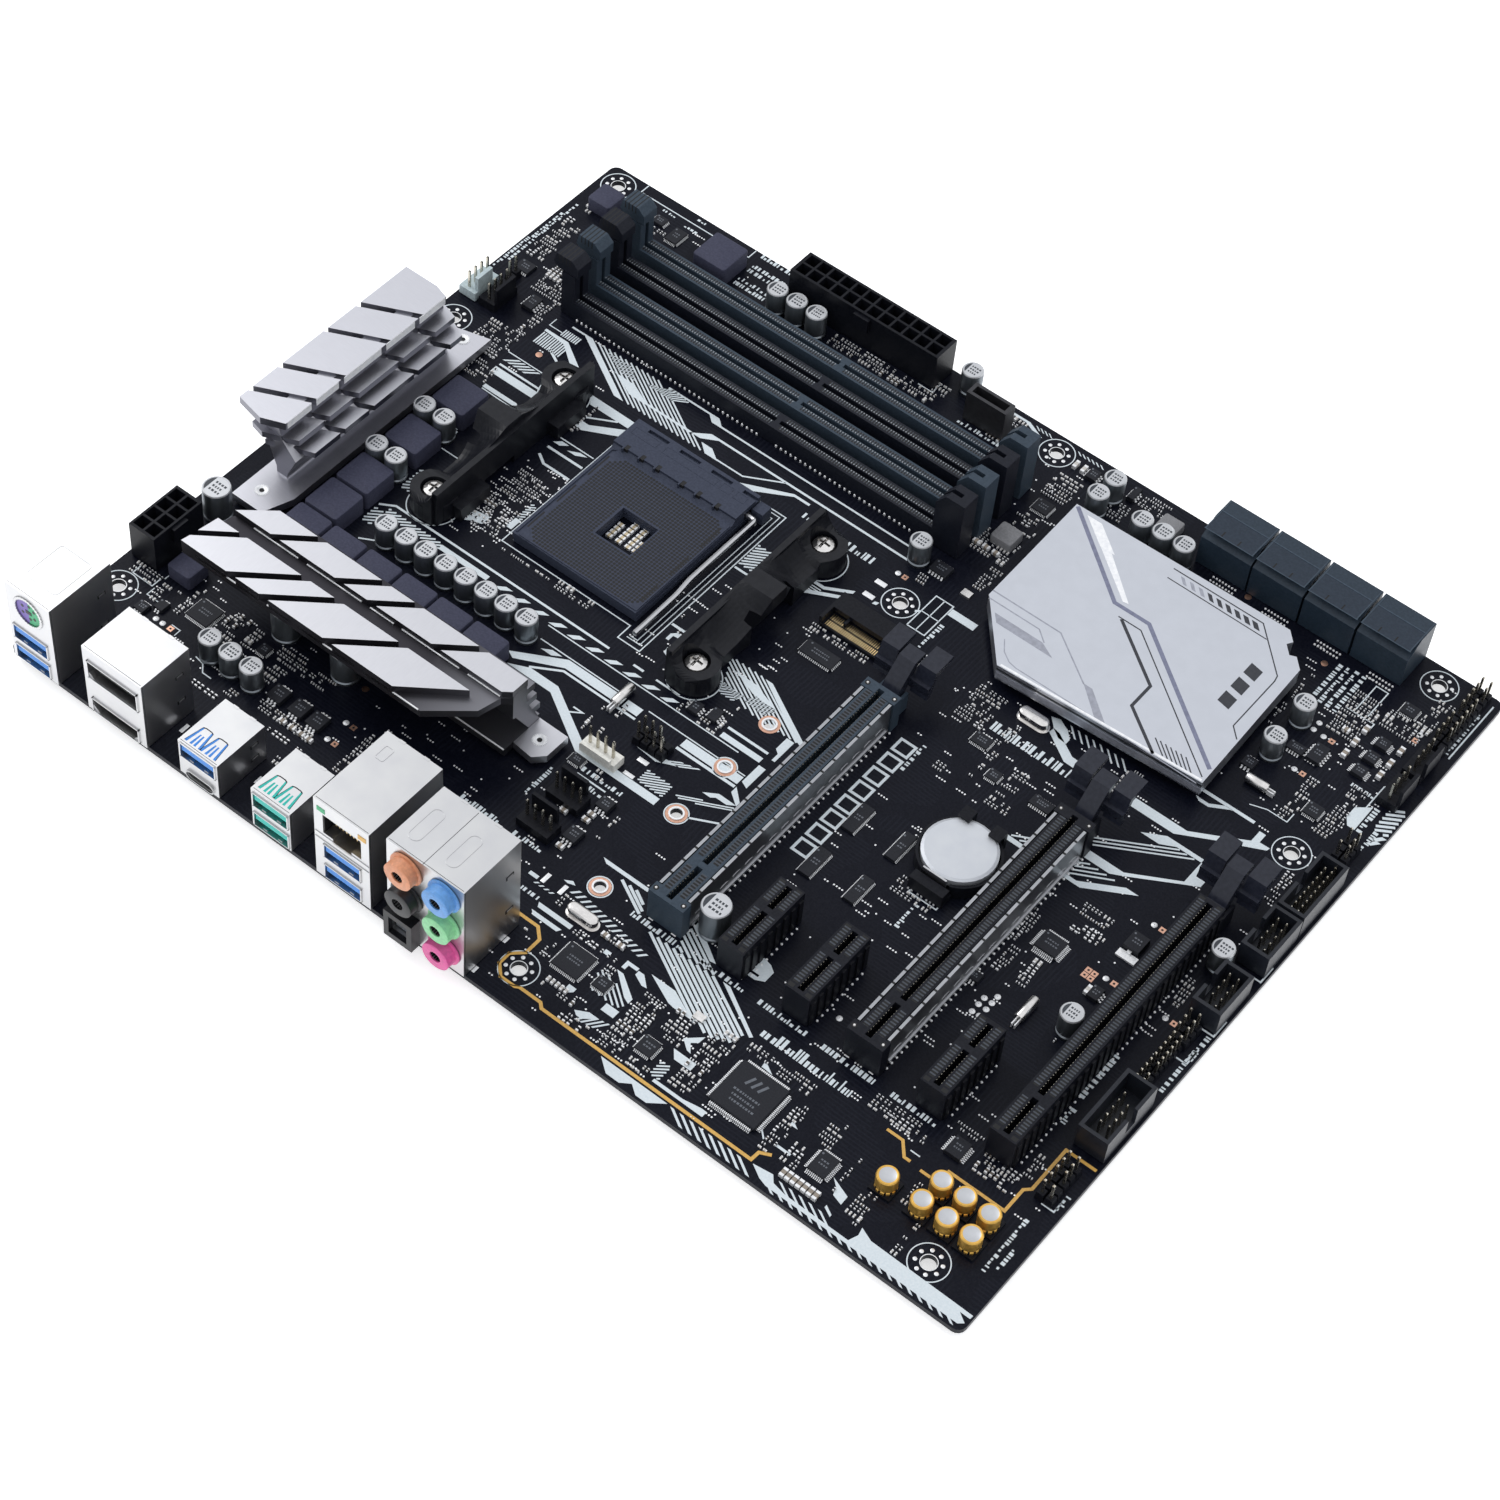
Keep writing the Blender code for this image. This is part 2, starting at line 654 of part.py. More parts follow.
def make_coin_cell():
    cell = turned("coin_cell", [(0, 7.6), (9.2, 7.6), (10.0, 7.2), (10.0, 4.9), (8.8, 4.4), (0, 4.4)],
                  CELL_CENTRE, 36)
    shade_round(cell)
    add_node(cell, "steel")
    hinge = bpy.data.objects.new("coin_cell_hinge", None)
    hinge.location = Vector((CELL_CENTRE[0], *CELL_HINGE)) * MM
    PARTS.objects.link(hinge)
    cell.parent = hinge
    cell.location -= hinge.location


def make_battery_contact():
    x, y = CELL_CENTRE
    plate = box("battery_contact", (x - 3.6, x + 3.6), (y - 11.1, y - 10.6), (3.6, 8.4))
    add_node(plate, "steel")


# Heat sinks, their pads and the chip below the largest one.

def diagonal_slot(name, start, width, run, rise, low_u, zs):
    """A cutter that crosses a heat sink at a slant; start is its corner at low_u."""
    outline = [(start, low_u), (start + width, low_u), (start + width + run, low_u + rise),
               (start + run, low_u + rise)]
    return prism(name, on_board(outline), zs)


SIDE_SINK_GAPS = [(89.4, 2.0), (100.8, 2.0), (118.7, 1.8), (131.5, 2.0)]
SIDE_SINK_SLANT = 0.5


def side_sink_gap(name, start, width, zs):
    """A slanted upright cutter that parts one shelf of the side heat sink."""
    low_v = -1.0
    high_v = 26.0
    low_u = start + low_v * SIDE_SINK_SLANT
    high_u = start + high_v * SIDE_SINK_SLANT
    outline = [(low_v, low_u), (high_v, high_u), (high_v, high_u + width), (low_v, low_u + width)]
    return prism(name, on_board(outline), zs)


def make_side_heatsink():
    """A base strip and a leaning spine with three shelves, each lower one nearer the socket."""
    name = "vrm_heatsink_side"
    base_outline = [(8.5, 73.7), (19.0, 73.7), (22.3, 83.0), (22.3, 162.7), (12.0, 159.8),
                    (8.5, 154.0)]
    spine_profile = [(12.4, 3.4), (15.4, 3.4), (16.4, 8.0), (19.5, 14.6), (15.0, 20.0),
                     (13.6, 26.0), (9.4, 26.0), (9.4, 17.0), (11.4, 11.0), (12.4, 8.5)]
    shelves = [
        ([(0.5, 86.5), (9.6, 84.6), (16.2, 87.4), (16.2, 150.8), (11.7, 152.2), (0.5, 152.2)],
         (24.5, 27.0)),
        ([(5.2, 86.0), (9.6, 85.0), (19.2, 89.0), (19.2, 151.0), (14.0, 152.6), (5.2, 152.4)],
         (19.2, 21.2)),
        ([(9.6, 86.0), (22.9, 91.0), (22.9, 149.8), (16.5, 152.6), (9.6, 152.2)], (15.6, 17.5)),
    ]
    base = prism(name, on_board(base_outline), (3.0, 5.6))
    spine = prism(name + "_spine", [(LEFT + v, z) for v, z in spine_profile],
                  (REAR + 87.0, REAR + 151.5), "XZ")
    join(base, spine)
    for level, (outline, zs) in enumerate(shelves):
        shelf = prism(f"{name}_shelf_{level}", on_board(outline), zs)
        for index, (start, width) in enumerate(SIDE_SINK_GAPS):
            cut(shelf, side_sink_gap(f"{name}_gap_{level}_{index}", start, width,
                                     (zs[0] - 1, zs[1] + 1)))
        join(base, shelf)
    add_node(base, "aluminium")


REAR_SINK_TOP = 26.0
REAR_SINK_LAYER = 23.6


def make_rear_heatsink():
    name = "vrm_heatsink_rear"
    slant = 15.2 / 11.8
    base_outline = [(24.0, 56.1), (119.3, 56.1), (119.3, 59.5), (125.9, 58.8), (128.7, 61.8),
                    (128.8, 69.9), (24.0, 70.1)]
    wing_outline = [(23.4, 40.9), (104.6, 40.9), (115.4, 50.4), (117.0, 57.2), (119.2, 59.2),
                    (30.0, 59.2), (26.0, 57.0)]
    front_outline = [(23.4, 40.8), (95.5, 40.8), (110.8, 52.5), (25.2, 52.5), (23.9, 43.5)]
    back_outline = [(26.6, 57.4), (117.0, 57.4), (119.2, 59.2), (119.3, 64.8), (35.3, 64.8)]
    stem_profile = [(66.2, 4.6), (60.4, 14.6), (59.3, 15.0), (59.3, 24.0), (64.6, 24.0),
                    (64.6, 22.0), (67.6, 22.0), (67.6, 19.8), (64.6, 19.8), (64.6, 17.0),
                    (68.5, 17.0), (68.5, 14.9), (65.6, 14.9), (66.6, 12.0), (69.9, 12.0),
                    (69.9, 9.9), (68.0, 9.9), (69.0, 7.4), (69.8, 7.4), (69.8, 4.6)]
    base = prism(name, on_board(base_outline), (3.0, 5.6))
    stem = prism(name + "_stem", [(REAR + u, z) for u, z in stem_profile],
                 (LEFT + 36.0, LEFT + 119.3), "YZ")
    wing = prism(name + "_wing", on_board(wing_outline), (21.2, REAR_SINK_LAYER))
    plate_span = (REAR_SINK_LAYER - 0.4, REAR_SINK_TOP)
    front = prism(name + "_front", on_board(front_outline), plate_span)
    back = prism(name + "_back", on_board(back_outline), plate_span)
    slot_span = (REAR_SINK_LAYER - 0.6, REAR_SINK_TOP + 1)
    front_slots = [(17.5, 2.9), (39.1, 3.2), (50.4, 3.2), (72.1, 3.2)]
    back_slots = [(38.9, 3.2), (61.0, 3.2), (72.1, 3.1), (93.7, 3.2)]
    for index, (start, width) in enumerate(front_slots):
        cut(front, diagonal_slot(f"{name}_front_slot_{index}", start - slant, width,
                                 13.7 * slant, 13.7, 39.8, slot_span))
    for index, (start, width) in enumerate(back_slots):
        cut(back, diagonal_slot(f"{name}_back_slot_{index}", start - slant, width,
                                9.4 * slant, 9.4, 56.4, slot_span))
    join(base, stem, wing, front, back)
    add_node(base, "aluminium")


CHIPSET_CENTRE = (70.0, 67.0)


def make_chipset_heatsink():
    name = "chipset_heatsink"
    x, y = CHIPSET_CENTRE
    outline = [(29.9, 96.9), (30.8, 55.1), (46.5, 36.9), (108.6, 40.4), (107.3, 88.5),
               (104.2, 91.7), (102.4, 90.9), (99.8, 93.6), (100.8, 95.3), (97.9, 98.3)]
    plate = prism(name, outline, (4.8, 10.0))
    pedestal = box(name + "_pedestal", (x - 15, x + 15), (y - 15, y + 15), (3.4, 5.2))
    feet = [upright(f"{name}_foot_{index}", [place], 3.2, (SEAT, 5.2))
            for index, place in enumerate([(42.0, 88.0), (96.0, 48.0)])]
    join(plate, pedestal, *feet)
    shade_round(plate)
    add_node(plate, "aluminium")


def make_chipset_chip():
    x, y = CHIPSET_CENTRE
    chip = box("chipset_chip", (x - 12.5, x + 12.5), (y - 12.5, y + 12.5), (SEAT, 3.1))
    add_node(chip, "chip_black")


def make_vrm_pads():
    """Heat pads on the power stages, squeezed between the board and the heat sink bases."""
    pad_z = (SEAT, 2.7)
    side = box("vrm_pad_side", (LEFT + 11, LEFT + 19), (REAR + 88, REAR + 150), pad_z)
    rear = box("vrm_pad_rear", (LEFT + 28, LEFT + 116), (REAR + 59, REAR + 67), pad_z)
    add_node(side, "pad_grey")
    add_node(rear, "pad_grey")


# Power sockets and pin headers.

def make_power_socket(name, xs, ys, latch_side):
    """A grid of square cells open at the top; latch_side is the long side with the catch."""
    shell = box(name, xs, ys, (SEAT, 14.2))
    columns = round((xs[1] - xs[0]) / PIN_PITCH_POWER - 0.2)
    rows = round((ys[1] - ys[0]) / PIN_PITCH_POWER - 0.2)
    middle_x = (xs[0] + xs[1]) / 2
    middle_y = (ys[0] + ys[1]) / 2
    half = 1.75
    cells = []
    for column in range(columns):
        for row in range(rows):
            x = middle_x + (column - (columns - 1) / 2) * PIN_PITCH_POWER
            y = middle_y + (row - (rows - 1) / 2) * PIN_PITCH_POWER
            cells.append(((x - half, x + half), (y - half, y + half), (3.2, 16.0)))
    latch_x, latch_y = latch_side
    catch = box(name + "_catch", latch_x, latch_y, (8.6, 13.4))
    join(shell, catch)
    cut(shell, boxes(name + "_cells", cells))
    add_node(shell, "plastic_black")


def make_power_sockets():
    atx_x = (LEFT + 72.0, LEFT + 123.8)
    atx_y = (REAR + 233.6, REAR + 242.9)
    middle = sum(atx_x) / 2
    make_power_socket("atx_power_socket", atx_x, atx_y,
                      ((middle - 2.6, middle + 2.6), (atx_y[0] - 1.2, atx_y[0] + 0.5)))
    cpu_x = (LEFT + 1.6, LEFT + 10.6)
    cpu_y = (REAR + 42.9, REAR + 60.8)
    middle = sum(cpu_y) / 2
    make_power_socket("cpu_power_socket", cpu_x, cpu_y,
                      ((cpu_x[1] - 0.5, cpu_x[1] + 1.2), (middle - 2.6, middle + 2.6)))


def make_shrouded_header(name, xs, ys, top, notch, colour="plastic_black"):
    """A box header: four thin walls and a floor, with a key notch through one wall."""
    wall = 1.0
    shroud = box(name, xs, ys, (SEAT, top))
    hollow = box(name + "_hollow", (xs[0] + wall, xs[1] - wall), (ys[0] + wall, ys[1] - wall),
                 (3.4, top + 2))
    cut(shroud, hollow, box(name + "_notch", *notch, (5.0, top + 2)))
    add_node(shroud, colour)


def make_headers():
    right = LEFT + 304.0
    usb3_y = (REAR + 143.7, REAR + 164.4)
    make_shrouded_header("usb3_header", (LEFT + 296.0, right), usb3_y, 10.4,
                         ((LEFT + 295.0, LEFT + 297.5), (REAR + 152.0, REAR + 156.0)))
    usb2_spans = [(127.8, 143.1), (106.2, 121.2)]
    for number, (low, high) in enumerate(usb2_spans, 1):
        middle = REAR + (low + high) / 2
        make_shrouded_header(f"usb2_header_{number}", (LEFT + 295.6, right),
                             (REAR + low, REAR + high), 10.0,
                             ((LEFT + 295.0, LEFT + 297.0), (middle - 2, middle + 2)))
    make_shrouded_header("com_header", (LEFT + 295.3, right), (REAR + 58.2, REAR + 79.0), 10.4,
                         ((right - 1.5, right + 1.0), (REAR + 66.6, REAR + 70.6)))
    front_x = (LEFT + 136.5, LEFT + 149.8)
    front_y = (REAR + 230.3, REAR + 235.0)
    front = box("front_usb_header", front_x, front_y, (SEAT, 12.6))
    slot = box("front_usb_slot", (front_x[0] + 1.1, front_x[1] - 1.1),
               (front_y[0] + 1.0, front_y[1] - 1.0), (5.0, 14.0))
    cut(front, slot)
    add_node(front, "steel")


def make_fan_header():
    xs = (LEFT + 1.0, LEFT + 6.8)
    ys = (REAR + 173.6, REAR + 183.8)
    base = box("cpu_fan_header", xs, ys, (SEAT, 4.8))
    back = box("fan_header_back", (xs[1] - 1.2, xs[1]), (ys[0] + 1.4, ys[1] - 2.6), (3.0, 9.6))
    join(base, back)
    add_node(base, "plastic_white")


def make_super_io_chip():
    chip = box("super_io_chip", (LEFT + 222.0, LEFT + 236.0), (REAR + 11.0, REAR + 25.0), (SEAT, 3.1))
    bevel(chip, 0.25)
    add_node(chip, "chip_black")


# Storage connectors.

SATA_SPANS = [(214.9, 230.8), (231.4, 247.2), (247.9, 263.7), (264.4, 280.2)]


def make_sata_block(number, low, high):
    """Two stacked storage sockets that open over the board's far long edge."""
    name = f"sata_block_{number}"
    profile = [(230.2, SEAT), (230.2, 12.0), (236.0, 15.5), (243.5, 15.5), (243.5, SEAT)]
    block = prism(name, [(REAR + u, z) for u, z in profile], (LEFT + low, LEFT + high), "YZ")
    middle = LEFT + (low + high) / 2
    cavities = boxes(name + "_cavities", [
        ((middle - 6.2, middle + 6.2), (REAR + 237.5, REAR + 245.0), (z, z + 3.6))
        for z in (3.2, 9.6)])
    cut(block, cavities)
    for index, z in enumerate((3.2, 9.6)):
        tongue = box(f"{name}_tongue_{index}", (middle - 5.2, middle + 4.6),
                     (REAR + 236.5, REAR + 243.0), (z + 1.7, z + 2.7))
        join(block, tongue)
    add_node(block, "plastic_slate")


def make_m2_connector():
    body = prism("m2_connector", [(22.6, SEAT), (22.6, 3.0), (27.6, 3.0), (27.6, 5.5), (33.6, 5.5),
                                  (33.6, SEAT)], (-0.3, 21.7), "YZ")
    roof = [box(f"m2_roof_{index}", span, (22.6, 28.0), (SEAT, 5.5))
            for index, span in enumerate([(-0.3, 0.7), (20.7, 21.7)])]
    slot = box("m2_slot", (0.7, 20.7), (25.0, 31.5), (3.0, 4.0))
    key = box("m2_key", (5.6, 6.4), (25.5, 32.0), (2.5, 4.5))
    join(body, *roof)
    cut(body, slot)
    join(body, key)
    add_node(body, "plastic_black")


# Rear input and output sockets. Spans are distances from the processor-end edge.

USB_A_HEIGHT = 5.2
PORT_DEPTH = 10.0


def port_box(name, span, zs, face_y, depth=PORT_DEPTH):
    return box(name, (LEFT + span[0], LEFT + span[1]), (face_y - 1.0, face_y + depth), zs)


def usb_a_port(body, name, span, z, face_y):
    """One USB-A mouth with its contact tongue; z is the height of the mouth's lower edge."""
    mouth = port_box(name, span, (z, z + USB_A_HEIGHT), face_y)
    cut(body, mouth)
    tongue_z = (z + USB_A_HEIGHT - 2.6, z + USB_A_HEIGHT - 0.8)
    tongue = box(name + "_tongue", (LEFT + span[0] + 0.6, LEFT + span[1] - 0.6),
                 (face_y + 1.0, face_y + PORT_DEPTH + 0.5), tongue_z)
    join(body, tongue)


def io_body(name, span, depth_span, top):
    return box(name, (LEFT + span[0], LEFT + span[1]),
               (REAR + depth_span[0], REAR + depth_span[1]), (SEAT, top))


def make_io_ps2_usb():
    face_y = REAR - 0.9
    body = io_body("io_ps2_usb", (3.2, 18.9), (-0.9, 20.5), 30.9)
    centre = (LEFT + 10.9, 24.3)
    well = cylinders("ps2_well", [(centre[0], face_y + 3.0, centre[1])], 4.4, 8.0, "Y", 24)
    key = box("ps2_key", (centre[0] - 1.0, centre[0] + 1.0), (face_y + 0.8, face_y + 8.0),
              (centre[1] - 4.7, centre[1] - 2.7))
    cut(body, well)
    join(body, key)
    for index, z in enumerate((10.3, 2.6)):
        usb_a_port(body, f"ps2_usb_{index}", (4.4, 16.6), z, face_y)
    add_node(body, "steel")


def make_io_display():
    face_y = REAR - 0.7
    body = io_body("io_display", (29.4, 49.9), (-0.7, 16.2), 26.2)
    dp_outline = [(31.2, 17.0), (32.8, 15.6), (48.0, 15.6), (48.0, 21.6), (31.2, 21.6)]
    hdmi_outline = [(31.6, 4.2), (33.4, 2.4), (45.4, 2.4), (47.2, 4.2), (47.2, 7.0), (31.6, 7.0)]
    for name, outline in (("display_port", dp_outline), ("hdmi_port", hdmi_outline)):
        mouth = prism(name, [(LEFT + v, z) for v, z in outline], (face_y - 1, face_y + 9), "XZ")
        low = min(z for v, z in outline)
        high = max(z for v, z in outline)
        tongue_z = (low + (high - low) * 0.45, low + (high - low) * 0.7)
        tongue = box(name + "_tongue", (LEFT + 33.6, LEFT + 45.4), (face_y + 1.5, face_y + 9.5),
                     tongue_z)
        cut(body, mouth)
        join(body, tongue)
    add_node(body, "steel")


def stadium(centre, half_length, radius, steps=4):
    """A rounded slot outline: two half circles joined by straight sides."""
    outline = []
    for side in (1, -1):
        for step in range(steps + 1):
            angle = math.pi * (step / steps - 0.5)
            outline.append((centre[0] + side * (half_length - radius + radius * math.cos(angle)),
                            centre[1] + side * radius * math.sin(angle)))
    return outline


def make_io_usb_ac():
    face_y = REAR - 0.2
    body = io_body("io_usb_ac", (61.0, 74.3), (-0.2, 16.9), 14.7)
    usb_a_port(body, "ac_usb_a", (61.6, 73.7), 9.0, face_y)
    c_outline = stadium((LEFT + 68.1, 3.6), 4.4, 1.3)
    c_mouth = prism("usb_c_mouth", c_outline, (face_y - 1, face_y + 8), "XZ")
    c_tongue = box("usb_c_tongue", (LEFT + 64.9, LEFT + 71.3), (face_y + 1.5, face_y + 8.5),
                   (3.25, 3.95))
    cut(body, c_mouth)
    join(body, c_tongue)
    add_node(body, "steel")


def make_io_usb_pair():
    face_y = REAR - 0.4
    body = io_body("io_usb_pair", (86.0, 98.9), (-0.4, 15.9), 16.8)
    flange = box("usb_pair_flange", (LEFT + 84.5, LEFT + 87.0), (REAR + 2.0, REAR + 3.0), (SEAT, 12.0))
    for index, z in enumerate((10.4, 2.6)):
        usb_a_port(body, f"pair_usb_{index}", (86.5, 98.4), z, face_y)
    join(body, flange)
    add_node(body, "steel")


RJ45_SPAN = (110.4, 122.8)
RJ45_Z = (20.4, 27.6)


def make_io_lan_usb():
    face_y = REAR - 0.6
    body = io_body("io_lan_usb", (107.5, 125.4), (-0.6, 26.0), 32.4)
    jack = port_box("rj45_mouth", RJ45_SPAN, RJ45_Z, face_y, 15.0)
    tab = port_box("rj45_tab", (113.6, 119.6), (18.6, 21.0), face_y, 14.0)
    cut(body, jack, tab)
    for index, z in enumerate((10.8, 2.6)):
        usb_a_port(body, f"lan_usb_{index}", (110.4, 122.6), z, face_y)
    add_node(body, "steel")


AUDIO_FACE = REAR - 0.6
JACK_COLUMNS = {137.6: (30.5, 19.4), 149.5: (30.5, 19.4, 8.6)}
SPDIF_SPAN = (132.8, 141.4)
SPDIF_Z = (2.6, 12.4)
SHUTTER_Y = REAR - 1.0
SHUTTER_HINGE_Z = 9.9


def make_io_audio():
    body = io_body("io_audio", (131.1, 155.5), (-0.6, 20.0), 36.5)
    centres = [(LEFT + v, AUDIO_FACE - 0.3, z) for v, zs in JACK_COLUMNS.items() for z in zs]
    bushes = [cylinders(f"audio_bush_{index}", [centre], 4.0, 6.6, "Y", 24)
              for index, centre in enumerate(centres)]
    bores = cylinders("audio_bores", centres, 1.8, 26.0, "Y", 16)
    optical = box("optical_frame", (LEFT + SPDIF_SPAN[0], LEFT + SPDIF_SPAN[1]),
                  (AUDIO_FACE - 1.8, AUDIO_FACE + 1.0), SPDIF_Z)
    middle = LEFT + sum(SPDIF_SPAN) / 2
    mouth = box("optical_mouth", (middle - 2.9, middle + 2.9),
                (AUDIO_FACE - 3.0, AUDIO_FACE + 9.0), (4.6, 10.6))
    join(body, *bushes, optical)
    cut(body, bores, mouth)
    shade_round(body)
    add_node(body, "plastic_black")


def make_spdif_shutter():
    middle = LEFT + sum(SPDIF_SPAN) / 2
    flap = box("spdif_shutter", (middle - 2.5, middle + 2.5), (SHUTTER_Y - 0.4, SHUTTER_Y + 0.4),
               (5.0, 10.3))
    add_node(flap, "plastic_black")
    set_origin(flap, (middle, SHUTTER_Y, SHUTTER_HINGE_Z))


def build():
    make_board()
    make_cpu_backplate()
    make_socket_base()
    make_socket_cover()
    make_socket_lever()
    make_cooler_bracket(1, -1)
    make_cooler_bracket(2, 1)
    make_bracket_screws()
    for number in range(1, 5):
        colour = "plastic_black" if number % 2 else "plastic_slate"
        make_dimm_slot(number, colour)
        make_dimm_latch(number, colour)
    make_x16_slot(1, 0, "plastic_slate", True)
    make_x16_slot(2, 3, "plastic_black", True)
    make_x16_slot(3, 5, "plastic_black", False)
    for number, position in enumerate((0, 3, 5), 1):
        make_x16_clip(number, position)
    for number, position in enumerate((0, 3), 1):
        make_slot_shield(number, position)
    for number, position in enumerate((1, 2, 4), 1):
        make_x1_slot(number, position)
    make_battery_holder()
    make_coin_cell()
    make_battery_contact()
    make_side_heatsink()
    make_rear_heatsink()
    make_chipset_heatsink()
    make_chipset_chip()
    make_vrm_pads()
    make_power_sockets()
    make_headers()
    make_fan_header()
    make_super_io_chip()
    for number, (low, high) in enumerate(SATA_SPANS, 1):
        make_sata_block(number, low, high)
    make_m2_connector()
    make_io_ps2_usb()
    make_io_display()
    make_io_usb_ac()
    make_io_usb_pair()
    make_io_lan_usb()
    make_io_audio()
    make_spdif_shutter()


build()
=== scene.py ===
"""Visual model of the motherboard: materials on the frame's solids, and every soldered or
printed thing on the board as geometry that rides on it.

Places on the board are in millimetres (v, u, z): v from the processor end, u from the rear
edge, z from the board's underside. Builder turns them into the frame's metres.
"""
import math
import random

import bpy
from mathutils import Matrix, Vector


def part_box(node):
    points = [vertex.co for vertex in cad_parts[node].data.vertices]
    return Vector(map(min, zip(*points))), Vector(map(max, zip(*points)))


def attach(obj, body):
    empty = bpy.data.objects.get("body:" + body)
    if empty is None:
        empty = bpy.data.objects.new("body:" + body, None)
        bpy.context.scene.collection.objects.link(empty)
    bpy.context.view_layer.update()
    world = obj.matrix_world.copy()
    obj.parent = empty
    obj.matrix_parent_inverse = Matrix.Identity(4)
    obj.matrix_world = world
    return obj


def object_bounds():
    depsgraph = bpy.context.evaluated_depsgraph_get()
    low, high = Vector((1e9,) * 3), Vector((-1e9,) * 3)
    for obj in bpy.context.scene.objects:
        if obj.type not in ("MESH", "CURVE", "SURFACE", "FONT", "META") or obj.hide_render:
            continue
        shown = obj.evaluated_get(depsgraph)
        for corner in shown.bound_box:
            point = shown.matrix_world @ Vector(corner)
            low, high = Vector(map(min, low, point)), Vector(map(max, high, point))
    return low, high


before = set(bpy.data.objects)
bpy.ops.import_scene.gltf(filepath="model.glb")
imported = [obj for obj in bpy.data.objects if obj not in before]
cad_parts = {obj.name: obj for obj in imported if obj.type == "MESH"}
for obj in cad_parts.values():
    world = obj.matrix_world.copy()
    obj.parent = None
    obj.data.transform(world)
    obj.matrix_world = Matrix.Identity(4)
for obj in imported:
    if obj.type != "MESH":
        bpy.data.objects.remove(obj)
CAD_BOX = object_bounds()

MM = 0.001
BOARD_LOW, BOARD_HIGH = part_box("pcb")
CORNER = Vector(BOARD_LOW)
TOP = (BOARD_HIGH[2] - BOARD_LOW[2]) / MM
SILK = 0.035
SEAT = TOP + SILK
PRINT = (TOP, SEAT)
OVERPRINT = (TOP, TOP + SILK * 1.25)

CAMERA_PLACE = (0.312603, -0.478297, 0.702448)
CAMERA_V = (CAMERA_PLACE[0] - CORNER.x) / MM
CAMERA_U = (CAMERA_PLACE[1] - CORNER.y) / MM
CAMERA_HEIGHT = (CAMERA_PLACE[2] - CORNER.z) / MM


def from_view(v, u, z):
    """Where a point at height z really stands, for a place read where it seems to lie."""
    share = (z - TOP) / (CAMERA_HEIGHT - TOP)
    return (v + (CAMERA_V - v) * share, u + (CAMERA_U - u) * share)


# ---------------------------------------------------------------- shapes

def arc(centre, radius, first=0.0, last=360.0, steps=16):
    """Points round a centre between two angles in degrees; a whole turn leaves out its last point."""
    points = []
    for step in range(steps if last - first == 360 else steps + 1):
        angle = math.radians(first + (last - first) * step / steps)
        points.append((centre[0] + radius * math.cos(angle), centre[1] + radius * math.sin(angle)))
    return points


def rectangle(v0, v1, u0, u1):
    return [(v0, u0), (v1, u0), (v1, u1), (v0, u1)]


def rounded_rectangle(vs, us, corner, radius=None):
    """A rectangle's outline with an arc about each corner's centre, corner in from its sides."""
    radius = corner if radius is None else radius
    low_v, high_v = vs[0] + corner, vs[1] - corner
    low_u, high_u = us[0] + corner, us[1] - corner
    outline = []
    for centre, first in (((high_v, high_u), 0), ((low_v, high_u), 90), ((low_v, low_u), 180),
                          ((high_v, low_u), 270)):
        outline += arc(centre, radius, first, first + 90, 4)
    return outline


